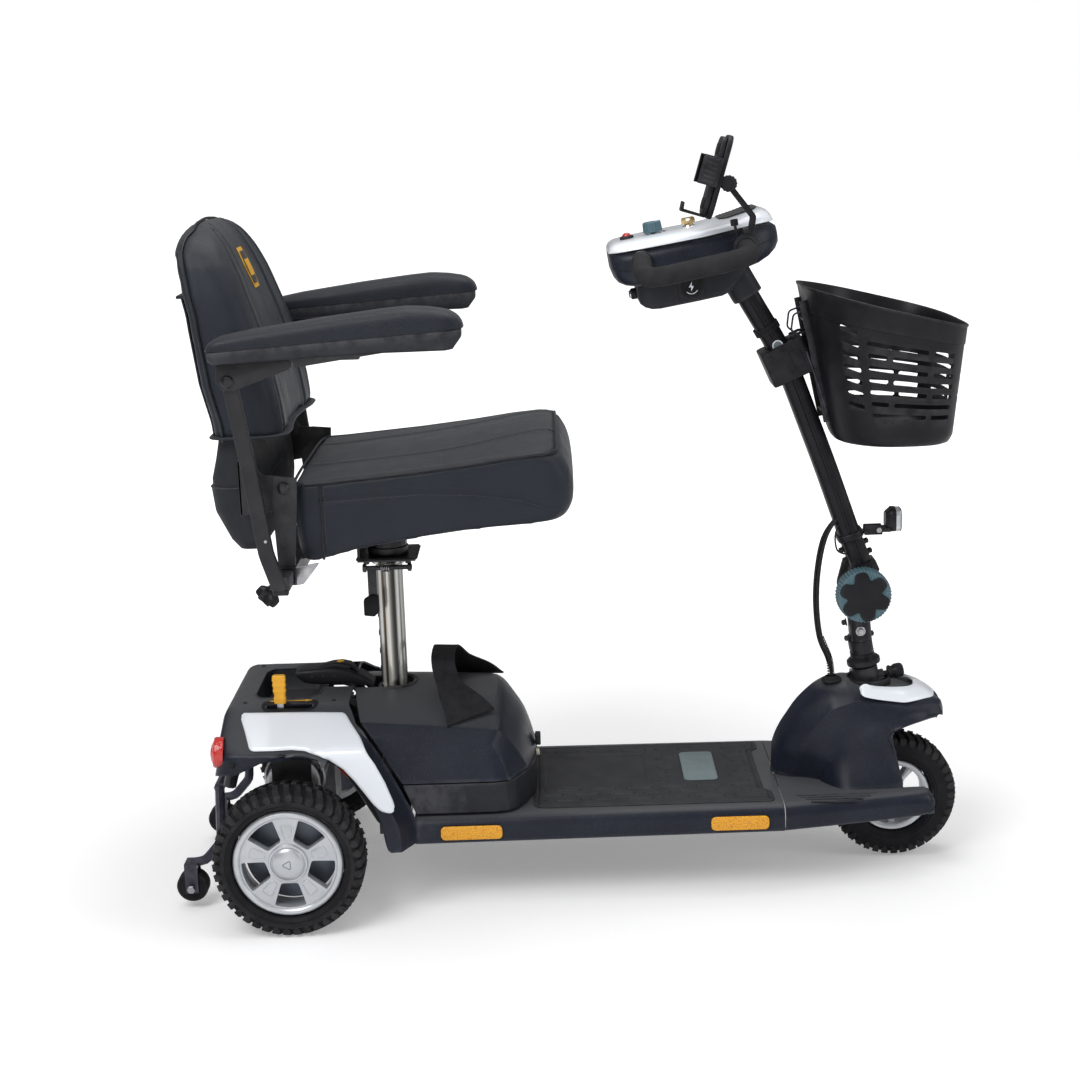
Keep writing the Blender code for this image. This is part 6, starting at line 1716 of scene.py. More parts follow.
# ============================================================ upholstery helpers
def plan(x0, x1, w, r_front, r_rear, inset=0.0):
    """Rounded plan outline with a fixed number of points, counter-clockwise from right rear."""
    x0, x1, w = x0 + inset, x1 - inset, w - inset
    rf, rr = max(r_front - inset * 0.6, 0.004), max(r_rear - inset * 0.6, 0.004)
    rf, rr = min(rf, w * 0.95, (x1 - x0) * 0.48), min(rr, w * 0.95, (x1 - x0) * 0.48)
    pts = []

    def arc(cx, cy, r, a0, a1):
        for i in range(8):
            a = a0 + (a1 - a0) * (i + 0.5) / 8
            pts.append((cx + r * math.cos(a), cy + r * math.sin(a)))

    def line(p, q, n):
        for i in range(n):
            t = i / (n - 1)
            pts.append((p[0] + (q[0] - p[0]) * t, p[1] + (q[1] - p[1]) * t))

    line((x0 + rr, -w), (x1 - rf, -w), 34)
    arc(x1 - rf, -w + rf, rf, -pi / 2, 0)
    line((x1, -w + rf), (x1, w - rf), 30)
    arc(x1 - rf, w - rf, rf, 0, pi / 2)
    line((x1 - rf, w), (x0 + rr, w), 34)
    arc(x0 + rr, w - rr, rr, pi / 2, pi)
    line((x0, w - rr), (x0, -w + rr), 30)
    arc(x0 + rr, -w + rr, rr, pi, 1.5 * pi)
    return pts


def curve_tree(paths, step=0.0015):
    pts = []
    for path in paths:
        path = [Vec(q) for q in path]
        pts += resample(path, max(8, int(path_length(path) / step)))
    tree = KDTree(len(pts))
    for i, q in enumerate(pts):
        tree.insert(q, i)
    tree.balance()
    return tree


GROOVE_REACH = 0.02


def groove(ob, paths, depth, width, puff=0.0):
    """Pulls the surface in along seams; with puff, swells it a little beside them."""
    tree = curve_tree(paths)
    me = ob.data
    me.update()
    normals = [v.normal.copy() for v in me.vertices]
    for v, n in zip(me.vertices, normals):
        _, _, d = tree.find(v.co)
        if d < GROOVE_REACH:
            k = -depth * math.exp(-(d / width) ** 2)
            if puff:
                k += puff * math.exp(-((d - width * 2.6) / (width * 1.6)) ** 2)
            v.co += n * k
    me.update()


PIN_REACH, SWELL_LIMIT = 0.012, 0.007
VOXEL = 0.0055
CLOTH_FRAMES = 20


def set_cloth(cloth):
    """Stiff, well-damped cover blown up by a uniform pressure, without gravity."""
    values = dict(
        quality=5, mass=0.3, air_damping=2.0, tension_stiffness=14, compression_stiffness=14,
        shear_stiffness=6, bending_stiffness=1.2, tension_damping=8, compression_damping=8,
        shear_damping=8, use_pressure=True, uniform_pressure_force=3.5, vertex_group_mass="pin")
    for key, value in values.items():
        setattr(cloth.settings, key, value)
    cloth.settings.effector_weights.gravity = 0.0
    cloth.collision_settings.use_collision = False
    cloth.point_cache.frame_start, cloth.point_cache.frame_end = 1, CLOTH_FRAMES


def inflate(ob, pins):
    """Cloth-pressure fill of a stuffed cover: the pinned seams stay, the panels swell."""
    modify(ob, "REMESH", mode="VOXEL", voxel_size=VOXEL, adaptivity=0.0)
    modify(ob, "SMOOTH", factor=0.5, iterations=3)
    tree = curve_tree(pins)
    group = ob.vertex_groups.new(name="pin")
    before = [v.co.copy() for v in ob.data.vertices]
    for v in ob.data.vertices:
        _, _, d = tree.find(v.co)
        weight = max(0.0, min(1.0, 1.25 - d / PIN_REACH))
        if weight > 0:
            group.add([v.index], weight, "REPLACE")
    set_cloth(ob.modifiers.new("cloth", "CLOTH"))
    for f in range(1, CLOTH_FRAMES + 1):
        scene.frame_set(f)
    dg = bpy.context.evaluated_depsgraph_get()
    me = ob.evaluated_get(dg).to_mesh()
    after = [v.co.copy() for v in me.vertices]
    ob.evaluated_get(dg).to_mesh_clear()
    ob.modifiers.clear()
    ob.vertex_groups.clear()
    scene.frame_set(1)
    if len(after) == len(before):
        for v, a, b in zip(ob.data.vertices, before, after):
            d = b - a
            if d.length > SWELL_LIMIT:
                d *= SWELL_LIMIT / d.length
            v.co = a + d
    modify(ob, "SMOOTH", factor=0.5, iterations=2)
    return modify(ob, "SUBSURF", levels=1, render_levels=1)


# ============================================================ seat cushion
def seat_low(x):
    return interp(x, [0.03, 0.0644, 0.1273, 0.2612, 0.4258, 0.45],
                  [0.556, 0.56, 0.5757, 0.5965, 0.6081, 0.61])


def seat_edge(x):
    return interp(x, [0.03, 0.0721, 0.2, 0.2856, 0.35, 0.3913, 0.405, 0.417, 0.445],
                  [0.6765, 0.6785, 0.689, 0.698, 0.7065, 0.71, 0.7085, 0.7045, 0.696])


def seat_top(x, y):
    k = max(0.0, 1 - (abs(y) / 0.205) ** 2.2)
    z = seat_edge(x) + interp(x, [0.03, 0.25, 0.4, 0.43],
                              [0.006, 0.01, 0.0205, 0.0235]) * k ** 0.9
    # shallow bucket between the two long seams
    z -= 0.0035 * math.exp(-(y / 0.085) ** 4) * interp(x, [0.06, 0.15, 0.3, 0.38], [0.4, 1, 1, 0])
    return z


SEAT_BASE = (0.047, 0.42, 0.193)               # rear x, front x, half width
SEAT_CREST = (0.036, 0.417, 0.204)
SEAT_LEVELS = [                                # share of the height, rear x, front x, half width
    (0.0, *SEAT_BASE), (0.04, 0.043, 0.427, 0.1985), (0.1, 0.04, 0.433, 0.202),
    (0.25, 0.037, 0.44, 0.205), (0.45, 0.035, 0.442, 0.2065), (0.65, 0.034, 0.44, 0.2065),
    (0.82, 0.034, 0.4345, 0.206), (0.93, 0.0345, 0.4255, 0.2052), (1.0, *SEAT_CREST)]
SEAT_R_FRONT, SEAT_R_REAR = 0.034, 0.018


def seat_ring(t, x0, x1, w, inset=0.0):
    out = []
    for x, y in plan(x0, x1, w, SEAT_R_FRONT, SEAT_R_REAR, inset):
        lo, hi = seat_low(x), seat_top(x, y)
        out.append(Vec((x, y, lo + (hi - lo) * t)))
    return out


def rear_drop(side):
    """Seam down the rear corner."""
    x = 0.0745
    lo, hi = seat_low(x), seat_edge(x)
    return [Vec((x, side * 0.2056, lo + (hi - lo) * t)) for t in np.linspace(1, 0.02, 20)]


def side_seam(side):
    return [Vec((x, side * 0.207, interp(x, [0.0705, 0.15, 0.22, 0.3, 0.36, 0.4145, 0.44],
                                         [0.652, 0.657, 0.66, 0.656, 0.647, 0.63, 0.62])))
            for x in np.linspace(0.0745, 0.4145, 50)]


def over_seat(path):
    return [Vec((p.x, p.y, seat_top(p.x, p.y))) for p in path]


def top_seam(side):
    return over_seat([
        Vec((x, side * interp(x, [0.06, 0.16, 0.28, 0.41], [0.09, 0.096, 0.102, 0.09]), 0.0))
        for x in np.linspace(0.045, 0.4155, 60)])


def cross_seam(side):
    return over_seat([Vec((0.25 + 0.004 * abs(t), side * (0.0995 + 0.104 * t), 0))
                      for t in np.linspace(0, 1, 16)])


def closed_path(path):
    return path + path[:1]


def seat_cushion():
    rings = [[(x, y, seat_low(x) + 0.001)
              for x, y in plan(*SEAT_BASE, SEAT_R_FRONT, SEAT_R_REAR, i)]
             for i in (0.15, 0.11, 0.075, 0.045, 0.022, 0.008)]
    rings += [seat_ring(*level) for level in SEAT_LEVELS]
    rings += [seat_ring(1.0, *SEAT_CREST, i)
              for i in (0.004, 0.01, 0.018, 0.03, 0.045, 0.062, 0.082, 0.104, 0.128, 0.15)]
    pad = loft(rings)
    edge = seat_ring(1.0, 0.0352, 0.4178, 0.2048)
    drops, walls, tops, crosses = ([seam(side) for side in (-1, 1)] for seam in
                                   (rear_drop, side_seam, top_seam, cross_seam))
    under = [Vec((p.x, p.y, seat_low(p.x))) for p in seat_ring(0.0, *SEAT_BASE)]
    pad = inflate(pad, [closed_path(edge)] + drops + walls + tops + [under])
    groove(pad, tops, depth=0.0026, width=0.0034, puff=0.001)
    groove(pad, crosses, depth=0.001, width=0.0026)
    groove(pad, walls, depth=0.0022, width=0.0036, puff=0.0008)
    groove(pad, [closed_path(edge)], depth=0.0022, width=0.0045, puff=0.0006)
    tree = bvh(pad)
    add(pad, "seat_pad", "seat", LEATHER, "upholstery", "seat_cushion", angle=60)
    add(sweep([p + Vec((0, 0, -0.0004)) for p in edge], circle(0.0022, 8), closed=True),
        "seat_piping", "seat", PIPING, "upholstery")
    for (label, side), drop in zip(SIDES, drops):
        add(sweep([p + Vec((0, side * 0.0006, 0)) for p in drop], circle(0.002, 8)),
            f"seat_piping_rear_{label}", "seat", PIPING, "upholstery")
    threads = [stitches(tree, [q + Vec((0, o, 0)) for q in path], r=0.0005)
               for path in tops for o in (-0.0038, 0.0038)]
    for wall, drop in zip(walls, drops):
        threads.append(stitches(tree, [q + Vec((0, 0, -0.003)) for q in wall], r=0.00045))
        threads.append(stitches(tree, [q + Vec((0.0045, 0, 0)) for q in drop], r=0.00045))
    add(merge(*threads), "seat_stitching", "seat", THREAD, "upholstery", angle=80)
    outline = [(x, y, seat_low(x) + 0.0004) for x, y in plan(0.08, 0.406, 0.178, 0.03, 0.016)]
    board = loft([[(x, y, z + dz) for x, y, z in outline] for dz in (-0.0016, 0.006)])
    add(bevel(board, 0.0008, 1), "seat_underside_board", "seat", MOULDED, "upholstery", angle=30)


# ============================================================ back
def back_rear(z):
    return interp(z, [0.73, 0.767, 0.8229, 0.9194, 0.9485, 1.0117, 1.03, 1.05],
                  [-0.076, -0.079, -0.0915, -0.104, -0.111, -0.1225, -0.119, -0.104])


def back_front(z):
    return interp(z, [0.73, 0.758, 0.7977, 0.86, 0.9095, 0.95, 0.9704, 0.995, 1.015, 1.0296,
                      1.042, 1.05],
                  [0.02, 0.0214, 0.016, 0.003, -0.0117, -0.026, -0.033, -0.044, -0.055, -0.065,
                   -0.079, -0.094])


def back_half(z):
    return interp(z, [0.73, 0.742, 0.8, 0.9, 0.95, 0.99, 1.01, 1.025, 1.038, 1.046, 1.0505],
                  [0.188, 0.19, 0.196, 0.195, 0.187, 0.176, 0.165, 0.15, 0.123, 0.09, 0.045])


def back_ring(z):
    """Plan ring of the back at height z, with a shallow hollow in its front."""
    xr, xf, w = back_rear(z), back_front(z), back_half(z)
    depth = xf - xr
    out = []
    for x, y in plan(xr, xf, w, min(0.034, depth * 0.46), min(0.016, depth * 0.36)):
        k = max(0.0, 1 - (abs(y) / (w * 0.62)) ** 2)
        u = (x - xr) / max(depth, 1e-4)
        hollow = 0.0085 * k * u ** 2 * interp(z, [0.73, 0.95, 1.03, 1.05], [1, 1, 0.35, 0])
        out.append(Vec((x - hollow, y, z)))
    return out


def mean(points):
    return sum(points, Vec((0, 0, 0))) / len(points)


def back_pipe():
    """Piping round the back's outer edge, a little in front of its rear face."""
    zs = list(np.linspace(0.74, 1.01, 40)) + [1.018, 1.025, 1.031, 1.036, 1.04, 1.043, 1.046,
                                              1.048]
    right = [Vec((back_rear(z) + min(0.0135, (back_front(z) - back_rear(z)) * 0.4),
                  -back_half(z) - 0.0006, z)) for z in zs]
    top = [Vec((-0.1, -0.022, 1.0505)), Vec((-0.1, 0, 1.051)), Vec((-0.1, 0.022, 1.0505))]
    return right + top + [Vec((p.x, -p.y, p.z)) for p in right[::-1]]


def bolster_seam(side):
    """Double-stitched seam up the front face, outside the centre panel."""
    return [Vec((back_front(z), side * interp(z, [0.742, 0.86, 0.95, 1.0, 1.03, 1.036],
                                              [0.156, 0.152, 0.14, 0.123, 0.1, 0.09]), z))
            for z in np.linspace(0.742, 1.036, 60)]


def panel_seam(side):
    return [Vec((back_front(z) - 0.004, side * interp(z, [0.742, 0.85, 0.95, 1.02, 1.042],
                                                      [0.102, 0.098, 0.088, 0.07, 0.064]), z))
            for z in np.linspace(0.742, 1.042, 60)]


def back_hem(low):
    """Band round the bottom of the cover with its row of stitches."""
    path = [(p.x + (0.0012 if p.x > -0.03 else -0.0012), p.y * 1.006, 0.7455) for p in low]
    band = sweep(path, rrect(0.0016, 0.0075, 0.0014, 3), closed=True)
    tree = bvh(band)
    add(band, "back_hem", "back", LEATHER, "upholstery", angle=50)
    row = [Vec((p.x, p.y * 1.013, 0.751)) for p in low]
    row = [p + Vec((p.x - (-0.03), 0, 0)) * 0.028 for p in row]
    add(stitches(tree, closed_path(row), r=0.0005), "back_hem_stitches", "back", THREAD,
        "upholstery", angle=80)


def back_pocket():
    """Slightly bagged panel on the rear face with a hem along its top."""
    rows = []
    for z in list(np.linspace(0.745, 0.944, 24)) + [0.9485]:
        w = back_half(z) - 0.016
        bag = 0.006 * interp(z, [0.745, 0.82, 0.92, 0.9485], [0.2, 1.0, 0.9, 0.35])
        rows.append([Vec((back_rear(z) - 0.0022 - bag * math.sin(pi * i / 40) ** 0.35,
                          -w + 2 * w * i / 40, z)) for i in range(41)])
    add(solid(grid(rows), 0.002, 1), "back_pocket", "back", LEATHER, "upholstery", angle=50)
    add(sweep([p + Vec((-0.0004, 0, 0)) for p in rows[-1]], rrect(0.0022, 0.006, 0.0016, 3)),
        "back_pocket_hem", "back", LEATHER, "upholstery", angle=50)


BADGE_Z = 0.976


def back_badge(tree):
    """Three stacked layers laid on the centre panel."""
    # name, half height, rows, half width, taper, columns, lift, thickness, material
    for name, half_h, n_z, half_w, taper, n_y, lift, thick, mat in (
            ("back_badge", 0.03, 14, 0.029, 0.01, 13, 0.0007, 0.0007, YELLOW),
            ("back_badge_field", 0.024, 12, 0.023, 0.009, 11, 0.0016, 0.0007, LEATHER),
            ("back_badge_bar", 0.012, 6, 0.015, 0.0, 9, 0.0024, 0.0006, YELLOW)):
        rows = []
        for z in np.linspace(BADGE_Z - half_h, BADGE_Z + half_h, n_z):
            w = half_w - taper * abs(z - BADGE_Z) / half_h
            rows.append(laid(tree, [(back_front(z) - 0.004, y, z)
                                    for y in np.linspace(-w, w, n_y)], lift))
        add(solid(grid(rows), thick, 1), name, "back", mat, "upholstery", angle=50)


def back_cushion():
    zs = list(np.linspace(0.74, 1.01, 28)) + [1.018, 1.025, 1.031, 1.036, 1.04, 1.043, 1.0455,
                                              1.0475, 1.049]
    rings = [back_ring(z) for z in zs]
    last = rings[-1]
    c = mean(last)
    for f, dz in ((0.8, 0.0008), (0.55, 0.0014), (0.25, 0.0017)):
        rings.append([c + (p - c) * f + Vec((0, 0, dz)) for p in last])
    # the cover is folded in at the bottom
    low = rings[0]
    c = mean(low)
    rings = [[c + Vec(((p.x - c.x) * f, (p.y - c.y) * f, 0.006)) for p in low]
             for f in (0.7, 0.88, 0.96)] + rings
    pad = loft(rings)
    tree = bvh(pad)
    bolsters = [laid(tree, bolster_seam(side)) for side in (-1, 1)]
    panels = [laid(tree, panel_seam(side)) for side in (-1, 1)]
    pipe = back_pipe()
    pad = inflate(pad, [pipe] + bolsters + panels + [closed_path(low)])
    groove(pad, bolsters, depth=0.0028, width=0.0036, puff=0.0012)
    groove(pad, panels, depth=0.0022, width=0.0036, puff=0.0012)
    groove(pad, [pipe], depth=0.002, width=0.0045, puff=0.0006)
    tree = bvh(pad)
    add(pad, "back_pad", "back", LEATHER, "upholstery", "back_cushion", angle=60)
    add(sweep(pipe, circle(0.0022, 8)), "back_piping", "back", PIPING, "upholstery")
    threads = [stitches(tree, [q + Vec((0, o, 0)) for q in path], r=0.00055)
               for path in bolsters for o in (-0.004, 0.004)]
    threads += [stitches(tree, [q + Vec((0, -side * 0.004, 0)) for q in path], r=0.00045)
                for side, path in zip((-1, 1), panels)]
    add(merge(*threads), "back_stitching", "back", THREAD, "upholstery", angle=80)
    back_hem(low)
    back_pocket()
    back_badge(tree)


# the shell behind and below the back cover: heights, rear x, front x, half width
NECK_Z = [0.56, 0.59, 0.6331, 0.6794, 0.71, 0.7363, 0.76]
NECK_REAR = [-0.04, -0.064, -0.0858, -0.0912, -0.083, -0.077, -0.074]
NECK_FRONT = [-0.022, -0.019, -0.015, -0.015, -0.022, -0.032, -0.04]
NECK_HALF = [0.16, 0.178, 0.185, 0.186, 0.182, 0.179, 0.178]


def neck_rings(z0, z1, grow, n):
    rings = []
    for z in np.linspace(z0, z1, n):
        xr, xf, w = (interp(z, NECK_Z, line) for line in (NECK_REAR, NECK_FRONT, NECK_HALF))
        rings.append([Vec((x, y, z)) for x, y in
                      plan(xr - grow, xf + grow * 0.3, w + grow, 0.01,
                           min(0.045, (xf - xr) * 0.45))])
    return rings


def back_shell():
    upper = loft(neck_rings(0.664, 0.752, -0.0012, 16))
    add(bevel(upper, 0.001, 1, 60), "back_shell_upper", "back", TEXTURED, "textured_plastic",
        angle=50)
    rings = neck_rings(0.576, 0.669, 0.0014, 20)
    c = mean(rings[0])
    closing = [[c + Vec(((p.x - c.x) * f, (p.y - c.y) * f, -dz)) for p in rings[0]]
               for f, dz in ((0.35, 0.0072), (0.6, 0.0066), (0.8, 0.0046), (0.92, 0.0022))]
    lip = [[(p.x * 1.012, p.y * 1.006, p.z + 0.0012) for p in rings[-1]],
           [(p.x * 0.985, p.y * 0.995, p.z + 0.0026) for p in rings[-1]]]
    add(loft(closing + rings + lip), "back_shell_lower", "back", TEXTURED, "textured_plastic",
        "back_board", angle=45)
    sheet = grid([[(back_rear(z) + 0.004, y, z) for y in np.linspace(-0.15, 0.15, 5)]
                  for z in (0.74, 0.8, 0.9, 0.99)])
    add(solid(sheet, 0.004, 1), "back_stiffener", "back", MOULDED, "textured_plastic", angle=40)


PIVOT_X, PIVOT_Z = 0.024, 0.6758
EAR = round_poly([(-0.041, 0.635), (0.006, 0.642), (0.022, 0.658), (0.0345, 0.664),
                  (0.037, 0.679), (0.033, 0.688), (0.015, 0.693), (-0.006, 0.695),
                  (-0.024, 0.718), (-0.041, 0.718)], 0.004, 4)


def back_ears():
    """Steel side ears and the pivot bolts through them."""
    ears, pivots = [], []
    for side in (-1, 1):
        ears.append(prism_y(EAR, *span(side, 0.2142, 0.2178), 0.0008, 2))
        ears.append(block((-0.041, -0.0372), span(side, 0.178, 0.2178), (0.635, 0.718),
                          0.0008, 2))
        ears += bolt((-0.032, side * 0.2178, 0.705), (0, side, 0), 0.0036, 0.0022, washer=False)
    add(merge(*ears), "back_ears", "back", BLACK_STEEL, "painted_steel", angle=35)
    for side in (-1, 1):
        axis = (0, side, 0)
        pivots += [rod((PIVOT_X, side * 0.215, PIVOT_Z), (PIVOT_X, side * 0.2262, PIVOT_Z),
                       0.0051, 24),
                   lathe([(0.0092, 0.0), (0.0092, 0.0022), (0.0078, 0.0036), (0.0044, 0.0042)],
                         (PIVOT_X, side * 0.2228, PIVOT_Z), axis, 36),
                   lathe([(0.004, 0.0), (0.004, 0.001)], (PIVOT_X, side * 0.2266, PIVOT_Z),
                         axis, 6)]
    add(merge(*pivots), "back_pivot_bolts", "back", GLOSS_BLACK, "painted_steel", angle=30)


# ============================================================ swivel bracket, post, lever
RELEASE_Y, RELEASE_Z = -0.0415, 0.51           # axis of the swivel release rod
POST_R = 0.021


def swivel():
    dress("swivel_bracket", BLACK_STEEL, edge=0.0007)
    rim = sweep([(x, y, 0.5235) for x, y in round_rect(0.105, 0.195, -0.048, 0.048, 0.008, 4)],
                rrect(0.0012, 0.003, 0.001, 2), closed=True)
    add(rim, "swivel_plate_rim", "seat", BLACK_STEEL, "painted_steel", angle=35)
    bolts = []
    for side in (-1, 1):
        for x in (0.118, 0.183):
            bolts += bolt((x, side * 0.038, 0.5206), (0, 0, -1), 0.0046, 0.004)
    for x in (0.33, 0.375):
        for side in (-1, 1):
            bolts += bolt((x, side * 0.13, seat_low(x) - 0.003), (0, 0, -1), 0.0045, 0.004)
    add(merge(*bolts), "swivel_bolts", "seat", BLACK_STEEL, "machined_metal", angle=28)

    lever = [block((0.119, 0.133), (-0.045, -0.0418), (0.463, 0.514), 0.0012, 2),
             rod((0.113, RELEASE_Y, RELEASE_Z), (0.189, RELEASE_Y, RELEASE_Z), 0.0038, 20,
                 chamfer=0.0006)]
    for x in (0.115, 0.185):
        lever.append(lathe([(0.0062, -0.003), (0.007, -0.0018), (0.007, 0.0018),
                            (0.0062, 0.003)], (x, RELEASE_Y, RELEASE_Z), (1, 0, 0), 6))
    add(merge(*lever), "swivel_lever_arm", "swivel_release", BLACK_STEEL, "painted_steel",
        "swivel_lever", angle=30)
    tip = prism_y([(0.111, 0.435), (0.127, 0.433), (0.1345, 0.44), (0.1345, 0.466),
                   (0.125, 0.469), (0.111, 0.46)], -0.049, -0.035, 0.0022, 3)
    add(tip, "tip", "swivel_release", RUBBER, "black_plastic", angle=35)
    coil = [(0.14 + 0.014 * t, RELEASE_Y + 0.0064 * math.cos(2 * pi * 5 * t),
             RELEASE_Z + 0.0064 * math.sin(2 * pi * 5 * t)) for t in np.linspace(0, 1, 90)]
    add(sweep(coil, circle(0.0009, 7)), "release_spring", "swivel_release", ZINC,
        "machined_metal")


def post():
    tube = lathe([(0.0188, 0.0), (POST_R, 0.0014), (POST_R, 0.37), (POST_R, 0.373),
                  (0.0262, 0.3745), (0.027, 0.376), (0.027, 0.3825), (0.0262, 0.384),
                  (0.01, 0.3842)], (POST_X, 0, 0.135), Z_AXIS, 72)
    add(tube, "post_tube", "post", CHROME_TUBE, "chrome_post", "seat_post", angle=30)
    # black discs in raised rings stand in for the height holes: painted shade for their dark insides
    holes = [lathe([(0.0, 0.0), (0.0042, 0.0), (0.0046, 0.0008), (0.0052, 0.0008),
                    (0.0052, 0.0002)], (POST_X - 0.0207, 0, 0.335 + 0.03 * k), (-1, 0, 0), 24)
             for k in range(5)]
    add(merge(*holes), "post_height_holes", "post", BLACK_STEEL, "chrome_post", angle=40)
    cup = lathe([(0.03, 0.0), (0.0318, 0.0014), (0.0318, 0.01), (0.03, 0.0114)],
                (POST_X, 0, 0.5262), Z_AXIS, 56)
    add(cup, "swivel_hub_ring", "seat", BLACK_STEEL, "painted_steel")
    plate = [(x + 0.0015, z) for x, z in round_poly(
        [(0.034, 0.559), (0.07, 0.566), (0.044, 0.534), (0.033, 0.532)], 0.0025, 3)]
    gussets = [prism_y(plate, *span(side, 0.2236, 0.226), 0.0005, 2) for side in (-1, 1)]
    add(merge(*gussets), "receiver_gussets", "seat", ZINC, "machined_metal", angle=35)


# ============================================================ arms
ARM_Y = 0.2824
SLIDE_X, SLIDE_Z, SLIDE_HALF = 0.022, 0.546, 0.0098


def pad_seam(x):
    return interp(x, [-0.06, -0.056, 0.1, 0.2, 0.2933, 0.3],
                  [0.8838, 0.884, 0.894, 0.9, 0.9053, 0.9056])


def pad_top(x):
    return interp(x, [-0.06, -0.057, -0.052, -0.04, 0.0, 0.1, 0.18, 0.2193, 0.25, 0.275, 0.287,
                      0.293, 0.295],
                  [0.887, 0.893, 0.8985, 0.9035, 0.911, 0.9245, 0.9335, 0.9368, 0.9345, 0.93,
                   0.923, 0.915, 0.907])


def pad_half(x):
    return interp(x, [-0.06, -0.057, -0.05, -0.03, 0.1, 0.22, 0.27, 0.286, 0.293, 0.295],
                  [0.018, 0.024, 0.0285, 0.0305, 0.0325, 0.033, 0.0315, 0.027, 0.02, 0.012])


def pad_low(x):
    return interp(x, [-0.056, -0.05, 0.0, 0.1, 0.18, 0.27, 0.28, 0.2933],
                  [0.87, 0.8665, 0.868, 0.873, 0.876, 0.8765, 0.878, 0.895])


def arm_upright(label, side):
    body = f"arm_slide_{label}"
    path = [(-0.034, side * ARM_Y, 0.856), (-0.0278, side * ARM_Y, 0.812),
            (-0.014, side * 0.276, 0.713), (0.001, side * 0.27, 0.59),
            (0.018, side * 0.27, 0.536)]
    flat = sweep(resample(rounded(path, 0.05, 6), 34),
                 [(-b, a) for a, b in rrect(0.0108, 0.0058, 0.0016, 3)], up=Y_AXIS)
    slide = block((SLIDE_X - SLIDE_HALF, SLIDE_X + SLIDE_HALF), span(side, 0.121, 0.274),
                  (SLIDE_Z - SLIDE_HALF, SLIDE_Z + SLIDE_HALF), 0.0014, 2)
    end = lathe([(0.011, -0.0062), (0.0118, -0.0056), (0.0118, 0.0056), (0.011, 0.0062)],
                (-0.0338, side * ARM_Y, 0.852), (0, side, 0), 32)
    add(merge(flat, slide, end), f"arm_upright_body_{label}", body, BLACK_STEEL,
        "painted_steel", f"arm_upright_{label}", angle=35)
    plug = block((0.0075, 0.0295), (side * 0.27 - 0.0066, side * 0.27 + 0.0066), (0.53, 0.5375),
                 0.0015, 2)
    add(plug, "plug", body, MOULDED, "black_plastic", angle=35)
    add(lathe([(0.0022, 0.0), (0.0022, 0.0006)], (0.002, side * 0.2764, 0.61), (0, side, 0), 14),
        f"arm_slide_ring_{label}", body, ZINC, "machined_metal")


def arm_pad(label, side):
    """Crowned grained top over a smooth base; a dark strip between them is painted shade in the gap.
    """
    body = f"armrest_{label}"
    yc = side * ARM_Y
    rows = []
    for x in ([-0.06, -0.059, -0.057, -0.054, -0.05, -0.045, -0.04]
              + list(np.linspace(-0.02, 0.26, 26))
              + [0.27, 0.278, 0.284, 0.2885, 0.2915, 0.2935, 0.2946, 0.295]):
        b, w = pad_seam(x) + 0.0006, pad_half(x)
        h = max(pad_top(x) - b, 0.002)
        ring = []
        for i in range(26):
            a = pi * i / 25
            c = math.cos(a)
            ring.append((x, yc + w * math.copysign(abs(c) ** 0.55, c),
                         b + h * math.sin(a) ** 0.62))
        rows.append(ring + [(x, yc + y, b) for y in np.linspace(-w * 0.9, w * 0.9, 8)])
    add(loft(rows), "foam", body, ARM_LEATHER, "arm_pad", f"arm_pad_{label}", angle=50)

    rows = []
    for x in ([-0.0575, -0.056, -0.053, -0.049, -0.04] + list(np.linspace(-0.02, 0.25, 20))
              + [0.262, 0.27, 0.276, 0.28, 0.285, 0.289, 0.2915]):
        t, b, w = pad_seam(x) - 0.0008, pad_low(x), pad_half(x) - 0.0006
        foot = w - 0.003
        left = [(-w, t), (-w, t - (t - b) * 0.5), (-w + 0.0006, b + 0.004), (-foot, b + 0.0012),
                (-foot + 0.003, b)]
        rows.append([(x, yc + y, z) for y, z in left + [(-y, z) for y, z in left[::-1]]])
    add(loft(rows), f"arm_pad_base_{label}", body, TEXTURED, "textured_plastic", angle=40)
    # dark strip in the gap between top and base: painted shade
    rows = []
    for x in np.linspace(-0.054, 0.289, 30):
        w = pad_half(x) - 0.0022
        rows.append([(x, yc + y, pad_seam(x) + z) for y, z in
                     ((-w, -0.0016), (w, -0.0016), (w, 0.0016), (-w, 0.0016))])
    add(loft(rows), f"arm_pad_gap_shade_{label}", body, BLACK_STEEL, "textured_plastic", angle=40)


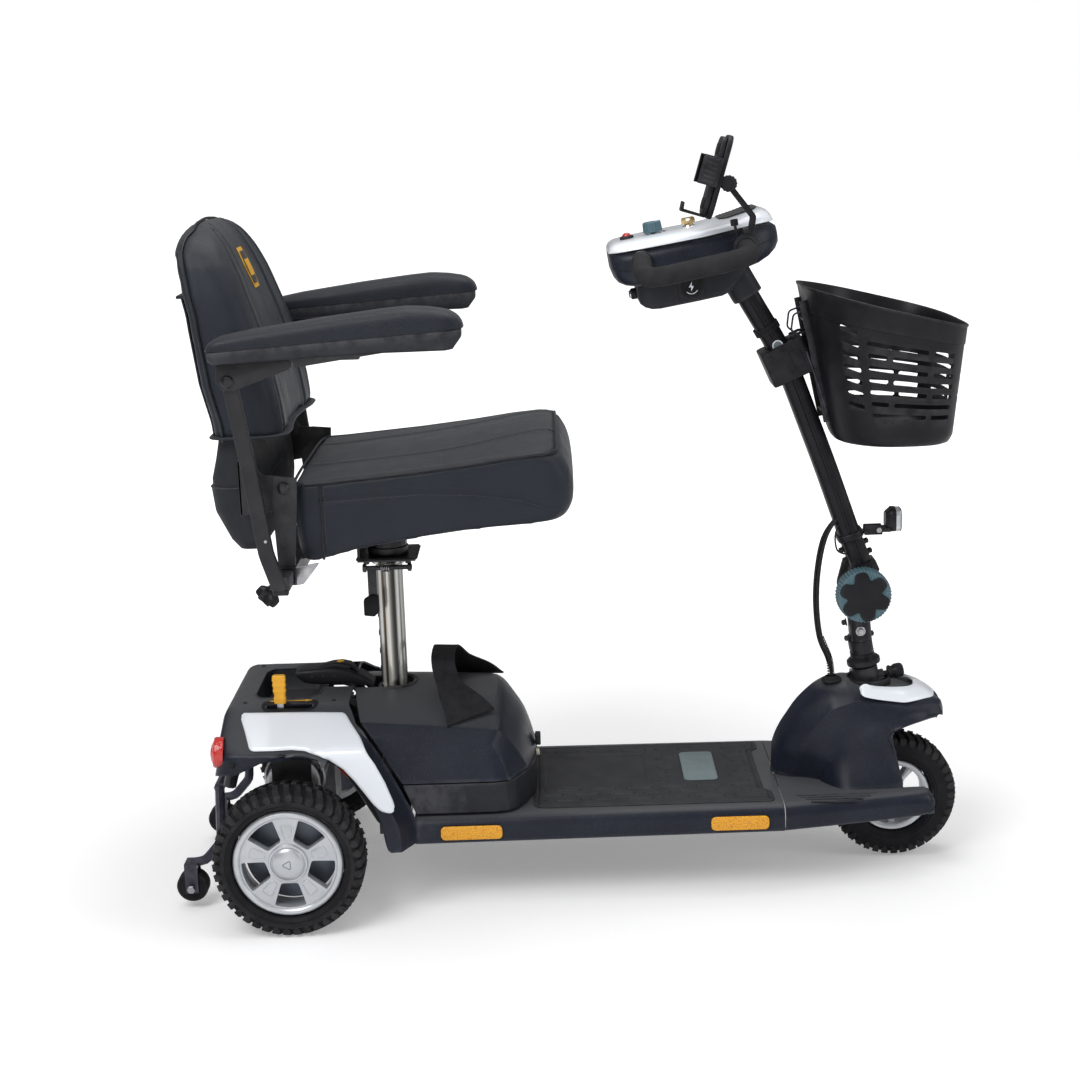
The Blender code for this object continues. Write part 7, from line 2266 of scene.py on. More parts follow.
def arm_bracket(label, side):
    body = f"armrest_{label}"
    yc = side * ARM_Y
    plate = round_poly([(-0.048, 0.872), (-0.049, 0.84), (-0.04, 0.8285), (-0.025, 0.8285),
                        (0.054, 0.856), (0.0545, 0.87)], 0.006, 5)
    web = [(0.06, 0.872), (0.06, 0.859), (0.063, 0.858), (0.19, 0.875), (0.19, 0.8775)]
    parts = []
    for t in (-1, 1):
        y = yc + t * 0.009
        parts.append(prism_y(plate, y - 0.0012, y + 0.0012, 0.0005, 2))
        parts.append(prism_y(web, y - 0.001, y + 0.001, 0.0004, 1))
    parts.append(block((-0.03, 0.15), (yc - 0.0085, yc + 0.0085), (0.866, 0.87), 0.0006, 1))
    add(merge(*parts), f"arm_bracket_{label}", body, BLACK_STEEL, "painted_steel", angle=35)
    px, pz = -0.0335, 0.8416
    parts = [rod((px, yc - 0.0112, pz), (px, yc + 0.0112, pz), 0.0041, 20)]
    for t in (-1, 1):
        parts += [lathe([(0.0088, 0.0), (0.0088, 0.002), (0.0074, 0.0036), (0.0046, 0.0042)],
                        (px, yc + t * 0.0104, pz), (0, t, 0), 32),
                  lathe([(0.0034, 0.0), (0.0034, 0.0012)], (px, yc + t * 0.0142, pz),
                        (0, t, 0), 6)]
    add(merge(*parts), f"arm_pivot_bolt_{label}", body, GLOSS_BLACK, "machined_metal", angle=30)
    screws = [lathe([(0.0044, 0.0), (0.0044, 0.0014), (0.003, 0.0024)], (x, yc, pad_low(x)),
                    (0, 0, -1), 20) for x in (0.09, 0.245)]
    add(merge(*screws), f"arm_pad_screws_{label}", body, ZINC, "machined_metal")


# radius, depth of the six hollows, height
STAR_RINGS = [
    (0.009, 0.0005, -0.01), (0.01, 0.0005, -0.004), (0.015, 0.0045, -0.0015),
    (0.0178, 0.006, 0.001), (0.0184, 0.0064, 0.005), (0.0184, 0.0064, 0.011),
    (0.0172, 0.0058, 0.0145), (0.013, 0.003, 0.0156), (0.008, 0.0, 0.015)]


def arm_knob(label, side):
    """Star knob on its zinc bolt, pointing down and back."""
    axis = Vec((-1, 0, -1)).normalized()
    root = Vec((SLIDE_X, side * 0.208, SLIDE_Z))
    m = frame_on(root + axis * 0.04, axis)
    rings = []
    for r, hollow, h in STAR_RINGS:
        ring = []
        for a in [2 * pi * i / 60 for i in range(60)]:
            ra = r - hollow * (1 - math.cos(6 * a)) / 2
            ring.append(m @ Vec((ra * math.cos(a), ra * math.sin(a), h)))
        rings.append(ring)
    add(loft(rings), "star", f"arm_lock_{label}", MOULDED, "black_plastic", f"arm_knob_{label}",
        angle=35)
    parts = [rod(root + axis * 0.0155, root + axis * 0.033, 0.0039, 18),
             lathe([(0.006, 0.0), (0.0068, 0.0008), (0.0068, 0.004), (0.006, 0.0048)],
                   root + axis * 0.0162, axis, 6)]
    for k in range(7):
        parts.append(lathe([(0.0039, 0.0), (0.0043, 0.0006), (0.0039, 0.0012)],
                           root + axis * (0.0218 + 0.0014 * k), axis, 18, ring=True))
    add(merge(*parts), f"arm_knob_bolt_{label}", f"arm_lock_{label}", ZINC, "machined_metal",
        angle=30)


def arms():
    for label, side in SIDES:
        arm_upright(label, side)
        arm_pad(label, side)
        arm_bracket(label, side)
        arm_knob(label, side)


# ============================================================ tiller frame of reference, column
CONSOLE_TURN = Matrix.Rotation(-math.radians(8.4), 4, "Y")
CONSOLE_AT = Vec((0.63, 0.0, 0.98))


def con(u, y, v):
    """Console coordinates (u forward, y left, v up) in the design frame."""
    return CONSOLE_AT + CONSOLE_TURN @ Vec((u, y, v))


CON_UP = (con(0, 0, 1) - con(0, 0, 0)).normalized()
CON_FWD = (con(1, 0, 0) - con(0, 0, 0)).normalized()
COLUMN = spline([Vec(p) for p in [
    (0.9025, 0, 0.454), (0.895, 0, 0.474), (0.8715, 0, 0.5368), (0.8379, 0, 0.6336),
    (0.8088, 0, 0.7133), (0.786, 0, 0.7748), (0.77, 0, 0.812), (0.7539, 0, 0.844),
    (0.7249, 0, 0.894), (0.706, 0, 0.927), (0.6945, 0, 0.9471)]], 60)[4:]


def column_section(half_y, half_x, groove_depth, groove_half):
    """Obround, sideways first, with a shallow groove down each flat side."""
    pts = []
    r = half_x * 0.78
    for s in (1, -1):
        for i in range(9):
            a = -pi / 2 + (pi / 2) * i / 8
            pts.append((s * (half_y - r + r * math.cos(a)), s * ((-half_x + r) + r * math.sin(a))))
        bottom = half_y - groove_depth
        pts += [(s * half_y, s * -groove_half), (s * bottom, s * -groove_half * 0.6),
                (s * bottom, s * groove_half * 0.6), (s * half_y, s * groove_half)]
        for i in range(9):
            a = (pi / 2) * i / 8
            pts.append((s * (half_y - r + r * math.cos(a)), s * ((half_x - r) + r * math.sin(a))))
    return pts


def column_at(z):
    """Point and direction of the column's centre line at height z."""
    for a, b in zip(COLUMN, COLUMN[1:]):
        if (a.z - z) * (b.z - z) <= 0:
            return a.lerp(b, (a.z - z) / (a.z - b.z)), (b - a).normalized()


def edge_screws(p, normal, reach):
    """Screws on the front and rear edge of the column or stem at p."""
    return [part for k in (-1, 1)
            for part in bolt(p + normal * (k * reach), normal * k, 0.0042, 0.006)]


def column():
    add(sweep(COLUMN, column_section(0.0235, 0.017, 0.0012, 0.003), up=Y_AXIS),
        "tiller_column_tube", "tiller", MOULDED, "textured_plastic", "tiller_column", angle=32)
    hub = rod((TILT[0], -0.0182, TILT[2]), (TILT[0], 0.0182, TILT[2]), 0.0274, 48,
              chamfer=0.0012)
    neck = prism_y([(0.869, 0.454), (0.907, 0.45), (0.919, 0.476), (0.912, 0.492),
                    (0.875, 0.483)], -0.0182, 0.0182, 0.0012, 2)
    add(merge(hub, neck), "tilt_hub", "tiller", MOULDED, "textured_plastic", angle=35)
    screws = []
    for z in (0.496, 0.512):
        p, d = column_at(z)
        screws += edge_screws(p, Vec((d.z, 0, -d.x)), 0.0166)
    add(merge(*screws), "column_clamp_screws", "tiller", MOULDED, "machined_metal", angle=28)
    screws = []
    for z in (0.364, 0.39):
        screws += edge_screws(steer(z), STEER_FWD, 0.0158)
    add(merge(*screws), "stem_clamp_screws", "steering", MOULDED, "machined_metal", angle=28)
    for part, r, h, mat in (("ring", 0.0085, 0.0003, WHITE), ("inner", 0.0066, 0.0005, BADGE)):
        p, _ = column_at(0.833)
        add(lathe([(r, 0.0), (r, h)], p + Vec((0, -0.0236, 0)), (0, -1, 0), 40),
            f"column_label_{part}", "tiller", mat, "textured_plastic")


# ============================================================ tilt lock knob
def knob_ring(r, y, hollow=0.0, rib=0.0):
    """Ring round the tilt axis with six hollows and fine ribs."""
    n = 192
    out = []
    for i in range(n):
        a = 2 * pi * i / n
        ra = (r - hollow * ((1 - math.cos(6 * (a + 0.35))) / 2) ** 2.2
              - (rib if (i // 2) % 2 else 0.0))
        out.append((TILT[0] + ra * math.cos(a), y, TILT[2] + ra * math.sin(a)))
    return out


def tilt_knob():
    rim = [(0.015, -0.0306), (0.015, -0.04), (0.033, -0.0404), (0.04, -0.0425, 0, 0.0004),
           (0.0424, -0.0455, 0, 0.0011), (0.0428, -0.056, 0, 0.0013),
           (0.0424, -0.065, 0, 0.0011), (0.0405, -0.0688, 0, 0.0004), (0.0385, -0.0696),
           (0.02, -0.0698)]
    add(loft([knob_ring(*ring) for ring in rim]), "tiller_knob_rim", "tiller_lock", TEAL,
        "teal_knob", "tiller_knob", angle=24)
    ribs = []
    for k in range(6):
        a = 2 * pi * k / 6 + pi / 6 - 0.35
        radial = Vec((math.cos(a), 0, math.sin(a)))
        tangent = Vec((-math.sin(a), 0, math.cos(a)))
        c = Vec(TILT) + Vec((math.cos(a) * 0.0345, -0.0697, math.sin(a) * 0.0345))
        for j in range(-2, 3):
            length = 0.006 - 0.0012 * abs(j)
            p = c + tangent * (0.003 * j)
            ribs.append(rod(p - radial * length * 0.6, p + radial * length, 0.0008, 6))
    add(merge(*ribs), "tiller_knob_ribs", "tiller_lock", TEAL, "teal_knob", angle=40)
    star = [(0.0392, -0.0696, 0.0125), (0.0396, -0.0708, 0.0125), (0.0386, -0.0722, 0.0123),
            (0.034, -0.0728, 0.0095), (0.02, -0.0722, 0.003), (0.01, -0.0718)]
    add(loft([knob_ring(*ring) for ring in star]), "tiller_knob_star", "tiller_lock", MOULDED,
        "black_plastic", angle=30)
    x, _, z = TILT
    parts = [rod((x, -0.0306, z), (x, 0.04, z), 0.0057, 24),
             lathe([(0.01, 0.0), (0.011, 0.001), (0.011, 0.0078), (0.01, 0.0088)],
                   (x, 0.031, z), Y_AXIS, 6),
             lathe([(0.013, 0.0), (0.013, 0.0014)], (x, 0.03, z), Y_AXIS, 32)]
    add(merge(*parts), "tiller_knob_bolt", "tiller_lock", ZINC, "machined_metal", angle=28)


# ============================================================ headlight on its band
LAMP_X, LAMP_Z = 0.929, 0.5525


def lamp_ring(dx, k):
    return [(LAMP_X + dx, y * k, LAMP_Z + z * k) for y, z in rrect(0.0172, 0.0186, 0.01, 5)]


def headlight():
    p, d = column_at(0.53)
    b0, b1 = p - d * 0.0065, p + d * 0.0065
    band = sweep([b0, (b0 + b1) / 2, b1], rrect(0.0272, 0.0208, 0.019, 6), up=Y_AXIS)
    parts = [bevel(band, 0.003, 3)]
    for side in (-1, 1):
        y = side * 0.0058
        parts.append(block((0.896, 0.925), (y - 0.0017, y + 0.0017), (0.529, 0.545), 0.0016, 2))
    parts.append(rod((0.899, -0.011, 0.535), (0.899, 0.011, 0.535), 0.003, 16))
    add(merge(*parts), "headlight_band", "tiller", MOULDED, "textured_plastic", angle=35)
    parts = [rod((0.919, -0.0085, 0.537), (0.919, 0.0085, 0.537), 0.0024, 16),
             lathe([(0.0044, 0.0), (0.0044, 0.0024)], (0.919, -0.0078, 0.537), (0, -1, 0), 6)]
    add(merge(*parts), "headlight_pivot_screw", "tiller", ZINC, "machined_metal", angle=30)
    shell = loft([lamp_ring(*ring) for ring in (
        (0.0, 0.3), (0.0, 0.62), (0.002, 0.72), (0.0085, 0.98), (0.0105, 1.0), (0.0145, 1.0),
        (0.0155, 0.985), (0.0156, 0.9), (0.013, 0.86))])
    tab = block((0.914, 0.94), (-0.0034, 0.0034), (0.5318, 0.5432), 0.0016, 2)
    button = lathe([(0.005, 0.0), (0.005, 0.001), (0.0044, 0.0016)], (0.94, 0, 0.5709),
                   Z_AXIS, 24)
    add(merge(shell, tab, button), "headlight_body", "lamp", MOULDED, "lamp_body", "headlight",
        angle=35)
    rows = []
    for i in range(13):                        # dished, chequered lens face
        row = []
        for j in range(13):
            y, z = -0.014 + 0.028 * i / 12, -0.0152 + 0.0304 * j / 12
            q = min(1.0, math.hypot(y / 0.0146, z / 0.0158))
            facet = 0.0008 if (i + j) % 2 else 0
            row.append((0.9515 + 0.0026 * (1 - q * q) + facet, y, LAMP_Z + z))
        rows.append(row)
    backing = loft([lamp_ring(*ring) for ring in
                    ((0.015, 0.9), (0.0156, 0.985), (0.0215, 0.975), (0.0232, 0.93))])
    add(merge(solid(grid(rows), 0.0012, -1), backing), "headlight_lens", "lamp", SILVER,
        "lamp_body", angle=8)
    # bezel ring in the silver with painted shade
    add(sweep(ring_yz(0.9522, LAMP_Z, rrect(0.016, 0.0174, 0.0095, 5)), circle(0.001, 8),
              closed=True), "headlight_bezel", "lamp", SILVER_SHADED, "lamp_body")


# ============================================================ cables from shell to column
def cables():
    """Three cables in two lengths."""
    lower, upper = [], []
    for y, dx, r in ((-0.0215, 0.0, 0.0028), (-0.016, -0.004, 0.0024), (-0.012, 0.002, 0.002)):
        run = spline([
            (0.844, y * 0.6 - 0.004, 0.285), (0.844, y * 0.6 - 0.004, 0.31),
            (0.84 + dx, y, 0.335), (0.8265 + dx, y - 0.001, 0.37),
            (0.8205 + dx, y - 0.003, 0.425), (0.823 + dx, y - 0.003, 0.48),
            (0.833 + dx, y, 0.528), (0.848 + dx * 0.4, y, 0.556), (0.86, y * 0.7, 0.56),
            (0.864, y * 0.5, 0.556)], 110)
        split = next(i for i, p in enumerate(run) if p.z > 0.42)
        lower.append(sweep(run[:split + 1], circle(r, 10)))
        upper.append(sweep(run[split:], circle(r, 10)))
    core = spline([(0.844, -0.015, 0.305), (0.8395, -0.0178, 0.335), (0.8262, -0.0175, 0.37)],
                  160)
    wrap = []                                  # spiral round the three cables
    for i, q in enumerate(core):
        a = 2 * pi * 15 * i / 159
        wrap.append(q + Vec((0.0052 * math.cos(a), 0.0062 * math.sin(a), 0)))
    lower.append(sweep(wrap, circle(0.0008, 6)))
    add_blend(merge(*lower), "tiller_cables_lower", (0.844, 0, 0.3),
              (0.8205, 0, 0.418), CABLE)
    add_blend(merge(*upper), "tiller_cables_upper", (0.8205, 0, 0.43),
              (0.848, 0, 0.53), CABLE)
    wire = sweep(spline([(0.857, -0.015, 0.556), (0.848, -0.025, 0.535), (0.85, -0.027, 0.513),
                         (0.86, -0.024, 0.505), (0.87, -0.018, 0.503)], 40), circle(0.0014, 8))
    add(wire, "headlight_wire", "tiller", CABLE, "rubber")
    grommet = lathe([(0.0095, -0.006), (0.015, 0.0), (0.0165, 0.0018), (0.015, 0.004),
                     (0.011, 0.007), (0.0085, 0.0085), (0.0082, 0.004), (0.008, -0.006)],
                    (0.844, -0.015, 0.296), (-0.08, 0, 1), 44, ring=True)
    add(grommet, "cable_grommet", "chassis", RUBBER, "rubber")


# ============================================================ console
# u, bottom v, top v, half width
CONSOLE_BODY = [
    (-0.1235, -0.008, 0.019, 0.058), (-0.1215, -0.016, 0.0195, 0.066),
    (-0.116, -0.024, 0.0195, 0.076), (-0.106, -0.0295, 0.0195, 0.0835),
    (-0.092, -0.033, 0.0195, 0.0885), (-0.06, -0.0345, 0.0198, 0.0925),
    (-0.03, -0.035, 0.02, 0.094), (0.01, -0.036, 0.0208, 0.0945), (0.04, -0.037, 0.0215, 0.094),
    (0.07, -0.0352, 0.0232, 0.0905), (0.092, -0.031, 0.024, 0.085), (0.11, -0.024, 0.024, 0.075),
    (0.122, -0.016, 0.022, 0.063), (0.128, -0.008, 0.017, 0.052)]
CONSOLE_POD = [
    (-0.0905, -0.056, -0.02, 0.04), (-0.0885, -0.064, -0.02, 0.0445),
    (-0.082, -0.07, -0.02, 0.0485), (-0.072, -0.0742, -0.02, 0.0505),
    (-0.06, -0.0755, -0.02, 0.051), (0.0, -0.0742, -0.02, 0.0512),
    (0.035, -0.0728, -0.02, 0.051), (0.047, -0.069, -0.02, 0.05), (0.06, -0.059, -0.02, 0.048),
    (0.072, -0.048, -0.02, 0.044), (0.074, -0.04, -0.02, 0.04)]
CONSOLE_TOP = [
    (-0.124, 0.0205, 0.0225, 0.056), (-0.1225, 0.0203, 0.0265, 0.064),
    (-0.119, 0.0202, 0.031, 0.071), (-0.112, 0.02, 0.0342, 0.0795), (-0.1, 0.02, 0.0355, 0.085),
    (-0.065, 0.0202, 0.0365, 0.091), (-0.03, 0.0208, 0.0368, 0.0935),
    (0.015, 0.0215, 0.0372, 0.0945), (0.04, 0.0228, 0.0385, 0.0935), (0.06, 0.024, 0.0402, 0.092),
    (0.075, 0.0246, 0.0425, 0.0895), (0.09, 0.025, 0.0455, 0.086), (0.103, 0.025, 0.0468, 0.08),
    (0.111, 0.025, 0.0462, 0.0745), (0.118, 0.025, 0.0425, 0.067), (0.1225, 0.025, 0.037, 0.061),
    (0.1245, 0.025, 0.03, 0.056)]
THROTTLE_V = -0.0215
SOCKET_V = -0.05


def con_rings(table, r):
    rings = []
    for u, v0, v1, w in table:
        half, mid = (v1 - v0) / 2, (v0 + v1) / 2
        rings.append([con(u, a, mid + b) for a, b in rrect(w, half, min(r, half * 0.95, w * 0.9), 6)])
    return rings


def console_body():
    body = loft(con_rings(CONSOLE_BODY, 0.015))
    cut(body, loft([[con(u, y, THROTTLE_V + v) for u, y in
                     ((-0.026, 0.0), (-0.067, -0.14), (0.035, -0.14), (-0.006, 0.0),
                      (0.035, 0.14), (-0.067, 0.14))] for v in (-0.0042, 0.0042)]))
    add(body, "console_shell", "tiller", PAINT, "textured_plastic", "console_body", angle=35)
    pod = loft(con_rings(CONSOLE_POD, 0.01))
    cut(pod, sweep(spline([(0.786, 0, 0.7748), (0.77, 0, 0.812), (0.7539, 0, 0.844),
                           (0.7249, 0, 0.894), (0.7035, 0, 0.9305)], 20),
                   rrect(0.0243, 0.018, 0.0168, 5), up=Y_AXIS))
    add(pod, "console_pod", "tiller", TEXTURED, "textured_plastic", angle=32)
    lines = []
    for side in (-1, 1):
        pts = [con(u, side * (w + 0.0002), (v0 * 0.45 + v1 * 0.55) - 0.004)
               for u, v0, v1, w in CONSOLE_BODY[1:-1]]
        lines.append(sweep(spline(pts, 60), rrect(0.0003, 0.0005, 0.0002, 1)))
    add(merge(*lines), "console_parting_line", "tiller", RUBBER, "textured_plastic")
    gaiter = sweep(spline([(0.748, 0, 0.853), (0.743, 0, 0.862)], 6),
                   rrect(0.0262, 0.02, 0.018, 6), up=Y_AXIS)
    add(gaiter, "column_gaiter", "tiller", RUBBER, "textured_plastic")
    neck = sweep(spline([(0.7168, 0, 0.9082), (0.71, 0, 0.92), (0.703, 0, 0.9322),
                         (0.6935, 0, 0.9488)], 10), rrect(0.03, 0.0235, 0.019, 6), up=Y_AXIS)
    add(bevel(neck, 0.0015, 2, 50), "console_neck", "tiller", TEXTURED, "textured_plastic",
        angle=35)


def top_v(u, y):
    """Height v of the white cover."""
    us, v0s, v1s, ws = zip(*CONSOLE_TOP)
    v0, v1 = interp(u, us, v0s), interp(u, us, v1s)
    q = min(1.0, abs(y) / interp(u, us, ws))
    return v0 + (v1 - v0) * (1 - q ** 5) ** 0.45 * (1 - 0.05 * q * q) if q < 1 else v0


def on_top(place, dv):
    return con(*place, top_v(*place) + dv)


def console_cover():
    rows = []
    for u, v0, _, w in CONSOLE_TOP:
        across = [math.sin(pi / 2 * k / 14) * 0.9995 for k in range(-14, 15)]
        rows.append([con(u, w * t, top_v(u, w * t)) for t in across]
                    + [con(u, w * t, v0 + 0.0002) for t in (0.93, 0.5, 0.0, -0.5, -0.93)])
    add(loft(rows), "console_cover", "tiller", WHITE, "white_panel", "console_top", angle=40)
    rows = []                                  # ridged dark display on the raised front
    for u in np.linspace(0.048, 0.106, 22):
        w = interp(u, [0.048, 0.056, 0.09, 0.1, 0.106], [0.03, 0.046, 0.05, 0.046, 0.03])
        ridge = 0.0006 if int(round((u - 0.048) / 0.00276)) % 2 else 0
        rows.append([con(u, y, top_v(u, y) + 0.0006 + ridge) for y in np.linspace(-w, w, 15)])
    add(solid(grid(rows), 0.0012, 1), "console_display", "tiller", DISPLAY, "black_plastic",
        angle=12)


# places of the controls on the cover (u, y)
HORN, SPEED, KEY = (-0.092, -0.03), (-0.052, -0.03), (0.002, -0.03)


def ribbed_ring(m, r, h, rib, n):
    """Ring in the frame m with every second pair of points set in by rib."""
    radii = [r - (rib if (i // 2) % 2 else 0) for i in range(n)]
    return [m @ Vec((ri * math.cos(2 * pi * i / n), ri * math.sin(2 * pi * i / n), h))
            for i, ri in enumerate(radii)]


def horn_and_speed():
    bezel = lathe([(0.008, -0.003), (0.0104, -0.0012), (0.0106, 0.001), (0.01, 0.003),
                   (0.0084, 0.0036), (0.0078, 0.003), (0.0078, -0.003)], on_top(HORN, 0.0006),
                  CON_UP, 40, ring=True)
    add(bezel, "horn_bezel", "tiller", MOULDED, "black_plastic")
    dome = lathe([(0.007, -0.003), (0.0072, 0.0026), (0.0066, 0.0052), (0.005, 0.0074),
                  (0.0026, 0.0086), (0.0004, 0.0088)], on_top(HORN, 0.0), CON_UP, 40)
    add(dome, "horn_dome", "horn", RED, "red_button", "horn_button")
    m = frame_on(con(*SPEED, 0.038), CON_UP, CON_FWD)
    dial = loft([ribbed_ring(m, r, h, rib, 72) for r, h, rib in (
        (0.004, -0.006, 0), (0.004, 0.0002, 0), (0.014, 0.0004, 0), (0.0147, 0.0014, 0.0007),
        (0.014, 0.0125, 0.0007), (0.0135, 0.0152, 0.0), (0.012, 0.0162, 0), (0.004, 0.016, 0))])
    add(dial, "speed_dial", "speed", TEAL, "teal_knob", "speed_knob", angle=28)
    pointer = loft([[m @ Vec((a, b, h)) for a, b in
                     ((0.004, -0.0009), (0.0138, -0.0009), (0.0138, 0.0009), (0.004, 0.0009))]
                    for h in (0.0155, 0.0168)])
    add(bevel(pointer, 0.0003, 1), "speed_dial_pointer", "speed", WHITE, "teal_knob")
    ticks = []
    for k in range(9):                         # longer and thicker towards high k
        a = math.radians(-120 + 30 * k)
        r0, r1 = 0.0172, 0.019 + 0.0003 * k
        ticks.append(rod(m @ Vec((r0 * math.cos(a), r0 * math.sin(a), -0.0016)),
                         m @ Vec((r1 * math.cos(a), r1 * math.sin(a), -0.0016)),
                         0.0006 + 0.00006 * k, 6))
    add(merge(*ticks), "speed_scale_ticks", "tiller", MOULDED, "black_plastic")


def ignition():
    bezel = lathe([(0.0085, -0.002), (0.0094, 0.0004), (0.0088, 0.0018), (0.0062, 0.0022),
                   (0.005, 0.0016), (0.0046, -0.002)], on_top(KEY, 0.0002), CON_UP, 40,
                  ring=True)
    add(bezel, "ignition_bezel", "tiller", CHROME, "key_brass")
    root = con(*KEY, 0.029)
    m = frame_on(root, CON_UP, CON_FWD)
    turn = m.to_3x3()
    plane = (turn @ Vec((0, -1, 0)), turn @ Vec((1, 0, 0)))
    outline = round_poly([(-0.004, 0.01), (-0.011, 0.0135), (-0.01, 0.022), (0.01, 0.022),
                          (0.011, 0.0135), (0.004, 0.01)], 0.004, 5)
    bow = slab(outline, m @ Vec((0, 0.0012, 0)), *plane, 0.0024, 0.0005, 2)
    shank = lathe([(0.0036, 0.0), (0.0038, 0.012)], root, CON_UP, 20)
    eye = slab([(0.0032 * math.cos(a), 0.0182 + 0.0018 * math.sin(a))
                for a in np.linspace(0, 2 * pi, 21)[:-1]], m @ Vec((0, 0.003, 0)), *plane, 0.006)
    add(merge(cut(bow, eye), shank), "ignition_key_body", "key", BRASS, "key_brass",
        "ignition_key", angle=30)


def throttle_and_socket():
    outline = round_poly([
        (-0.0225, -0.09), (-0.031, -0.1), (-0.031, -0.132), (-0.001, -0.132), (-0.001, -0.1),
        (-0.0095, -0.09), (-0.0095, 0.09), (-0.001, 0.1), (-0.001, 0.132), (-0.031, 0.132),
        (-0.031, 0.1), (-0.0225, 0.09)], 0.0075, 4)
    blade = loft([[con(x, y, THROTTLE_V + h) for x, y in outline] for h in (-0.0025, 0.0025)])
    add(bevel(blade, 0.0012, 2, 40), "throttle_blade", "throttle", MOULDED, "black_plastic",
        "throttle_lever", angle=35)
    right = (0, -1, 0)
    rim = slab(round_rect(-0.02, 0.02, -0.02, 0.02, 0.003, 4), con(-0.01, -0.0508, -0.051),
               right, CON_FWD, 0.0014, 0.0004, 2)
    add(rim, "flap_frame", "tiller", MOULDED, "black_plastic", angle=30)
    center = con(-0.01, -0.0514, -0.051)
    disc = lathe([(0.0146, 0.0004), (0.0155, 0.0012), (0.0155, 0.0026), (0.0146, 0.0033),
                  (0.002, 0.0034)], center, right, 56)
    hinge = slab([(-0.004, -0.0178), (0.004, -0.0178), (0.004, -0.014), (-0.004, -0.014)],
                 center + Vec((0, -0.0006, 0)), right, CON_FWD, 0.0022, 0.0004, 1)
    add(disc, "charge_flap_disc", "charge_flap", RUBBER, "rubber", "charge_port_cover", angle=30)
    add(hinge, "charge_flap_hinge", "tiller", RUBBER, "rubber", angle=30)
    flash = [(0.0016, 0.007), (-0.0042, -0.0006), (-0.0004, -0.0006), (-0.0016, -0.007),
             (0.0042, 0.0008), (0.0004, 0.0008)]
    icon = loft([[center + CON_FWD * a + CON_UP * (b + 0.0012) + Vec((0, -0.0034 - t, 0))
                  for a, b in flash] for t in (0.0, 0.0004)])
    arc = [center + CON_FWD * (0.0098 * math.cos(a)) + CON_UP * (0.0098 * math.sin(a) + 0.0004)
           + Vec((0, -0.0036, 0)) for a in np.linspace(math.radians(215), math.radians(325), 18)]
    add(merge(icon, sweep(arc, rrect(0.0006, 0.0003, 0.0002, 1))), "charge_flap_icon",
        "charge_flap", WHITE, "rubber", angle=30)
    boss = lathe([(0.008, 0.0), (0.0086, 0.0015), (0.0086, 0.008), (0.0076, 0.01),
                  (0.0062, 0.0104)], con(-0.089, 0.0, SOCKET_V), -CON_FWD, 36)
    add(boss, "charger_socket_boss", "tiller", MOULDED, "black_plastic")
    cap = lathe([(0.006, 0.0), (0.006, 0.0018), (0.005, 0.003), (0.0015, 0.0034)],
                con(-0.099, 0.0, SOCKET_V), -CON_FWD, 36)
    add(cap, "charger_socket_cap", "tiller", CHROME, "machined_metal")


# ============================================================ handlebar and grips
BAR_U = 0.073


def handlebar():
    add(rod(con(BAR_U, -0.12, -0.002), con(BAR_U, 0.12, -0.002), 0.0108, 32),
        "handlebar_tube", "tiller", BLACK_STEEL, "painted_steel", "handlebar")
    for label, side in SIDES:
        loop = resample(rounded([
            con(BAR_U, side * 0.09, -0.002), con(BAR_U, side * 0.125, -0.003),
            con(0.069, side * 0.206, -0.008), con(-0.083, side * 0.206, -0.014),
            con(-0.08, side * 0.14, 0.002), con(-0.078, side * 0.0965, 0.004)], 0.036, 9), 90)
        add(sweep(loop, circle(0.0142, 26)), f"foam_grip_{label}", "tiller", FOAM, "foam_grip",
            angle=60)
        collars = [lathe([(0.0148, -0.005), (0.0152, -0.003), (0.0152, 0.002), (0.014, 0.0034)],
                         end, (end - following).normalized(), 36)
                   for end, following in ((loop[0], loop[1]), (loop[-1], loop[-2]))]
        add(merge(*collars), f"grip_collars_{label}", "tiller", MOULDED, "black_plastic")


# ============================================================ basket
BASKET_FLOOR, BASKET_RIM = 0.685, 0.9245
# |y| and x of the basket plan at the floor, and their growth to the rim
BASKET_REAR, BASKET_FRONT, BASKET_HALF, BASKET_REAR_HALF = 0.844, 1.02, 0.118, 0.08
SLOT_PITCH = 0.083                             # in levels, 0 at the floor and 1 at the rim


def rim_z(x):
    return BASKET_RIM - (x - 0.797) * 0.2546


def level_z(x, level):
    return BASKET_FLOOR + (rim_z(x) - BASKET_FLOOR) * level


def basket_plan(level, grow=0.0, n=96):
    x_r = BASKET_REAR + (0.796 - BASKET_REAR) * level - grow
    x_f = BASKET_FRONT + (1.037 - BASKET_FRONT) * level + grow
    w = BASKET_HALF + (0.155 - BASKET_HALF) * level + grow
    w_rear = BASKET_REAR_HALF + (0.09 - BASKET_REAR_HALF) * level + grow
    out = []
    for i in range(n):
        a = 2 * pi * (i + 0.5) / n
        c, s = math.cos(a), math.sin(a)
        cx, sy = math.copysign(abs(c) ** 0.56, c), math.copysign(abs(s) ** 0.56, s)
        x = (x_r + x_f) / 2 + (x_f - x_r) / 2 * cx
        t = (x - x_r) / (x_f - x_r)
        width = w
        if t < 0.5:
            width = w_rear + (w - w_rear) * (math.sin(min(1.0, t * 2.0) * pi / 2))
        out.append((x, width * sy))
    return out


def basket_ring(level, grow=0.0):
    return [(x, y, level_z(x, level)) for x, y in basket_plan(level, grow)]


def basket_floor(steps):
    """Rings of the floor from (scale about its middle, lift)."""
    base = basket_plan(0.0)
    xc = Vec((sum(p[0] for p in base) / len(base), 0, 0)).x
    return [[(xc + (x - xc) * f, y * f, BASKET_FLOOR + dz) for x, y in basket_plan(0.03)]
            for f, dz in steps]


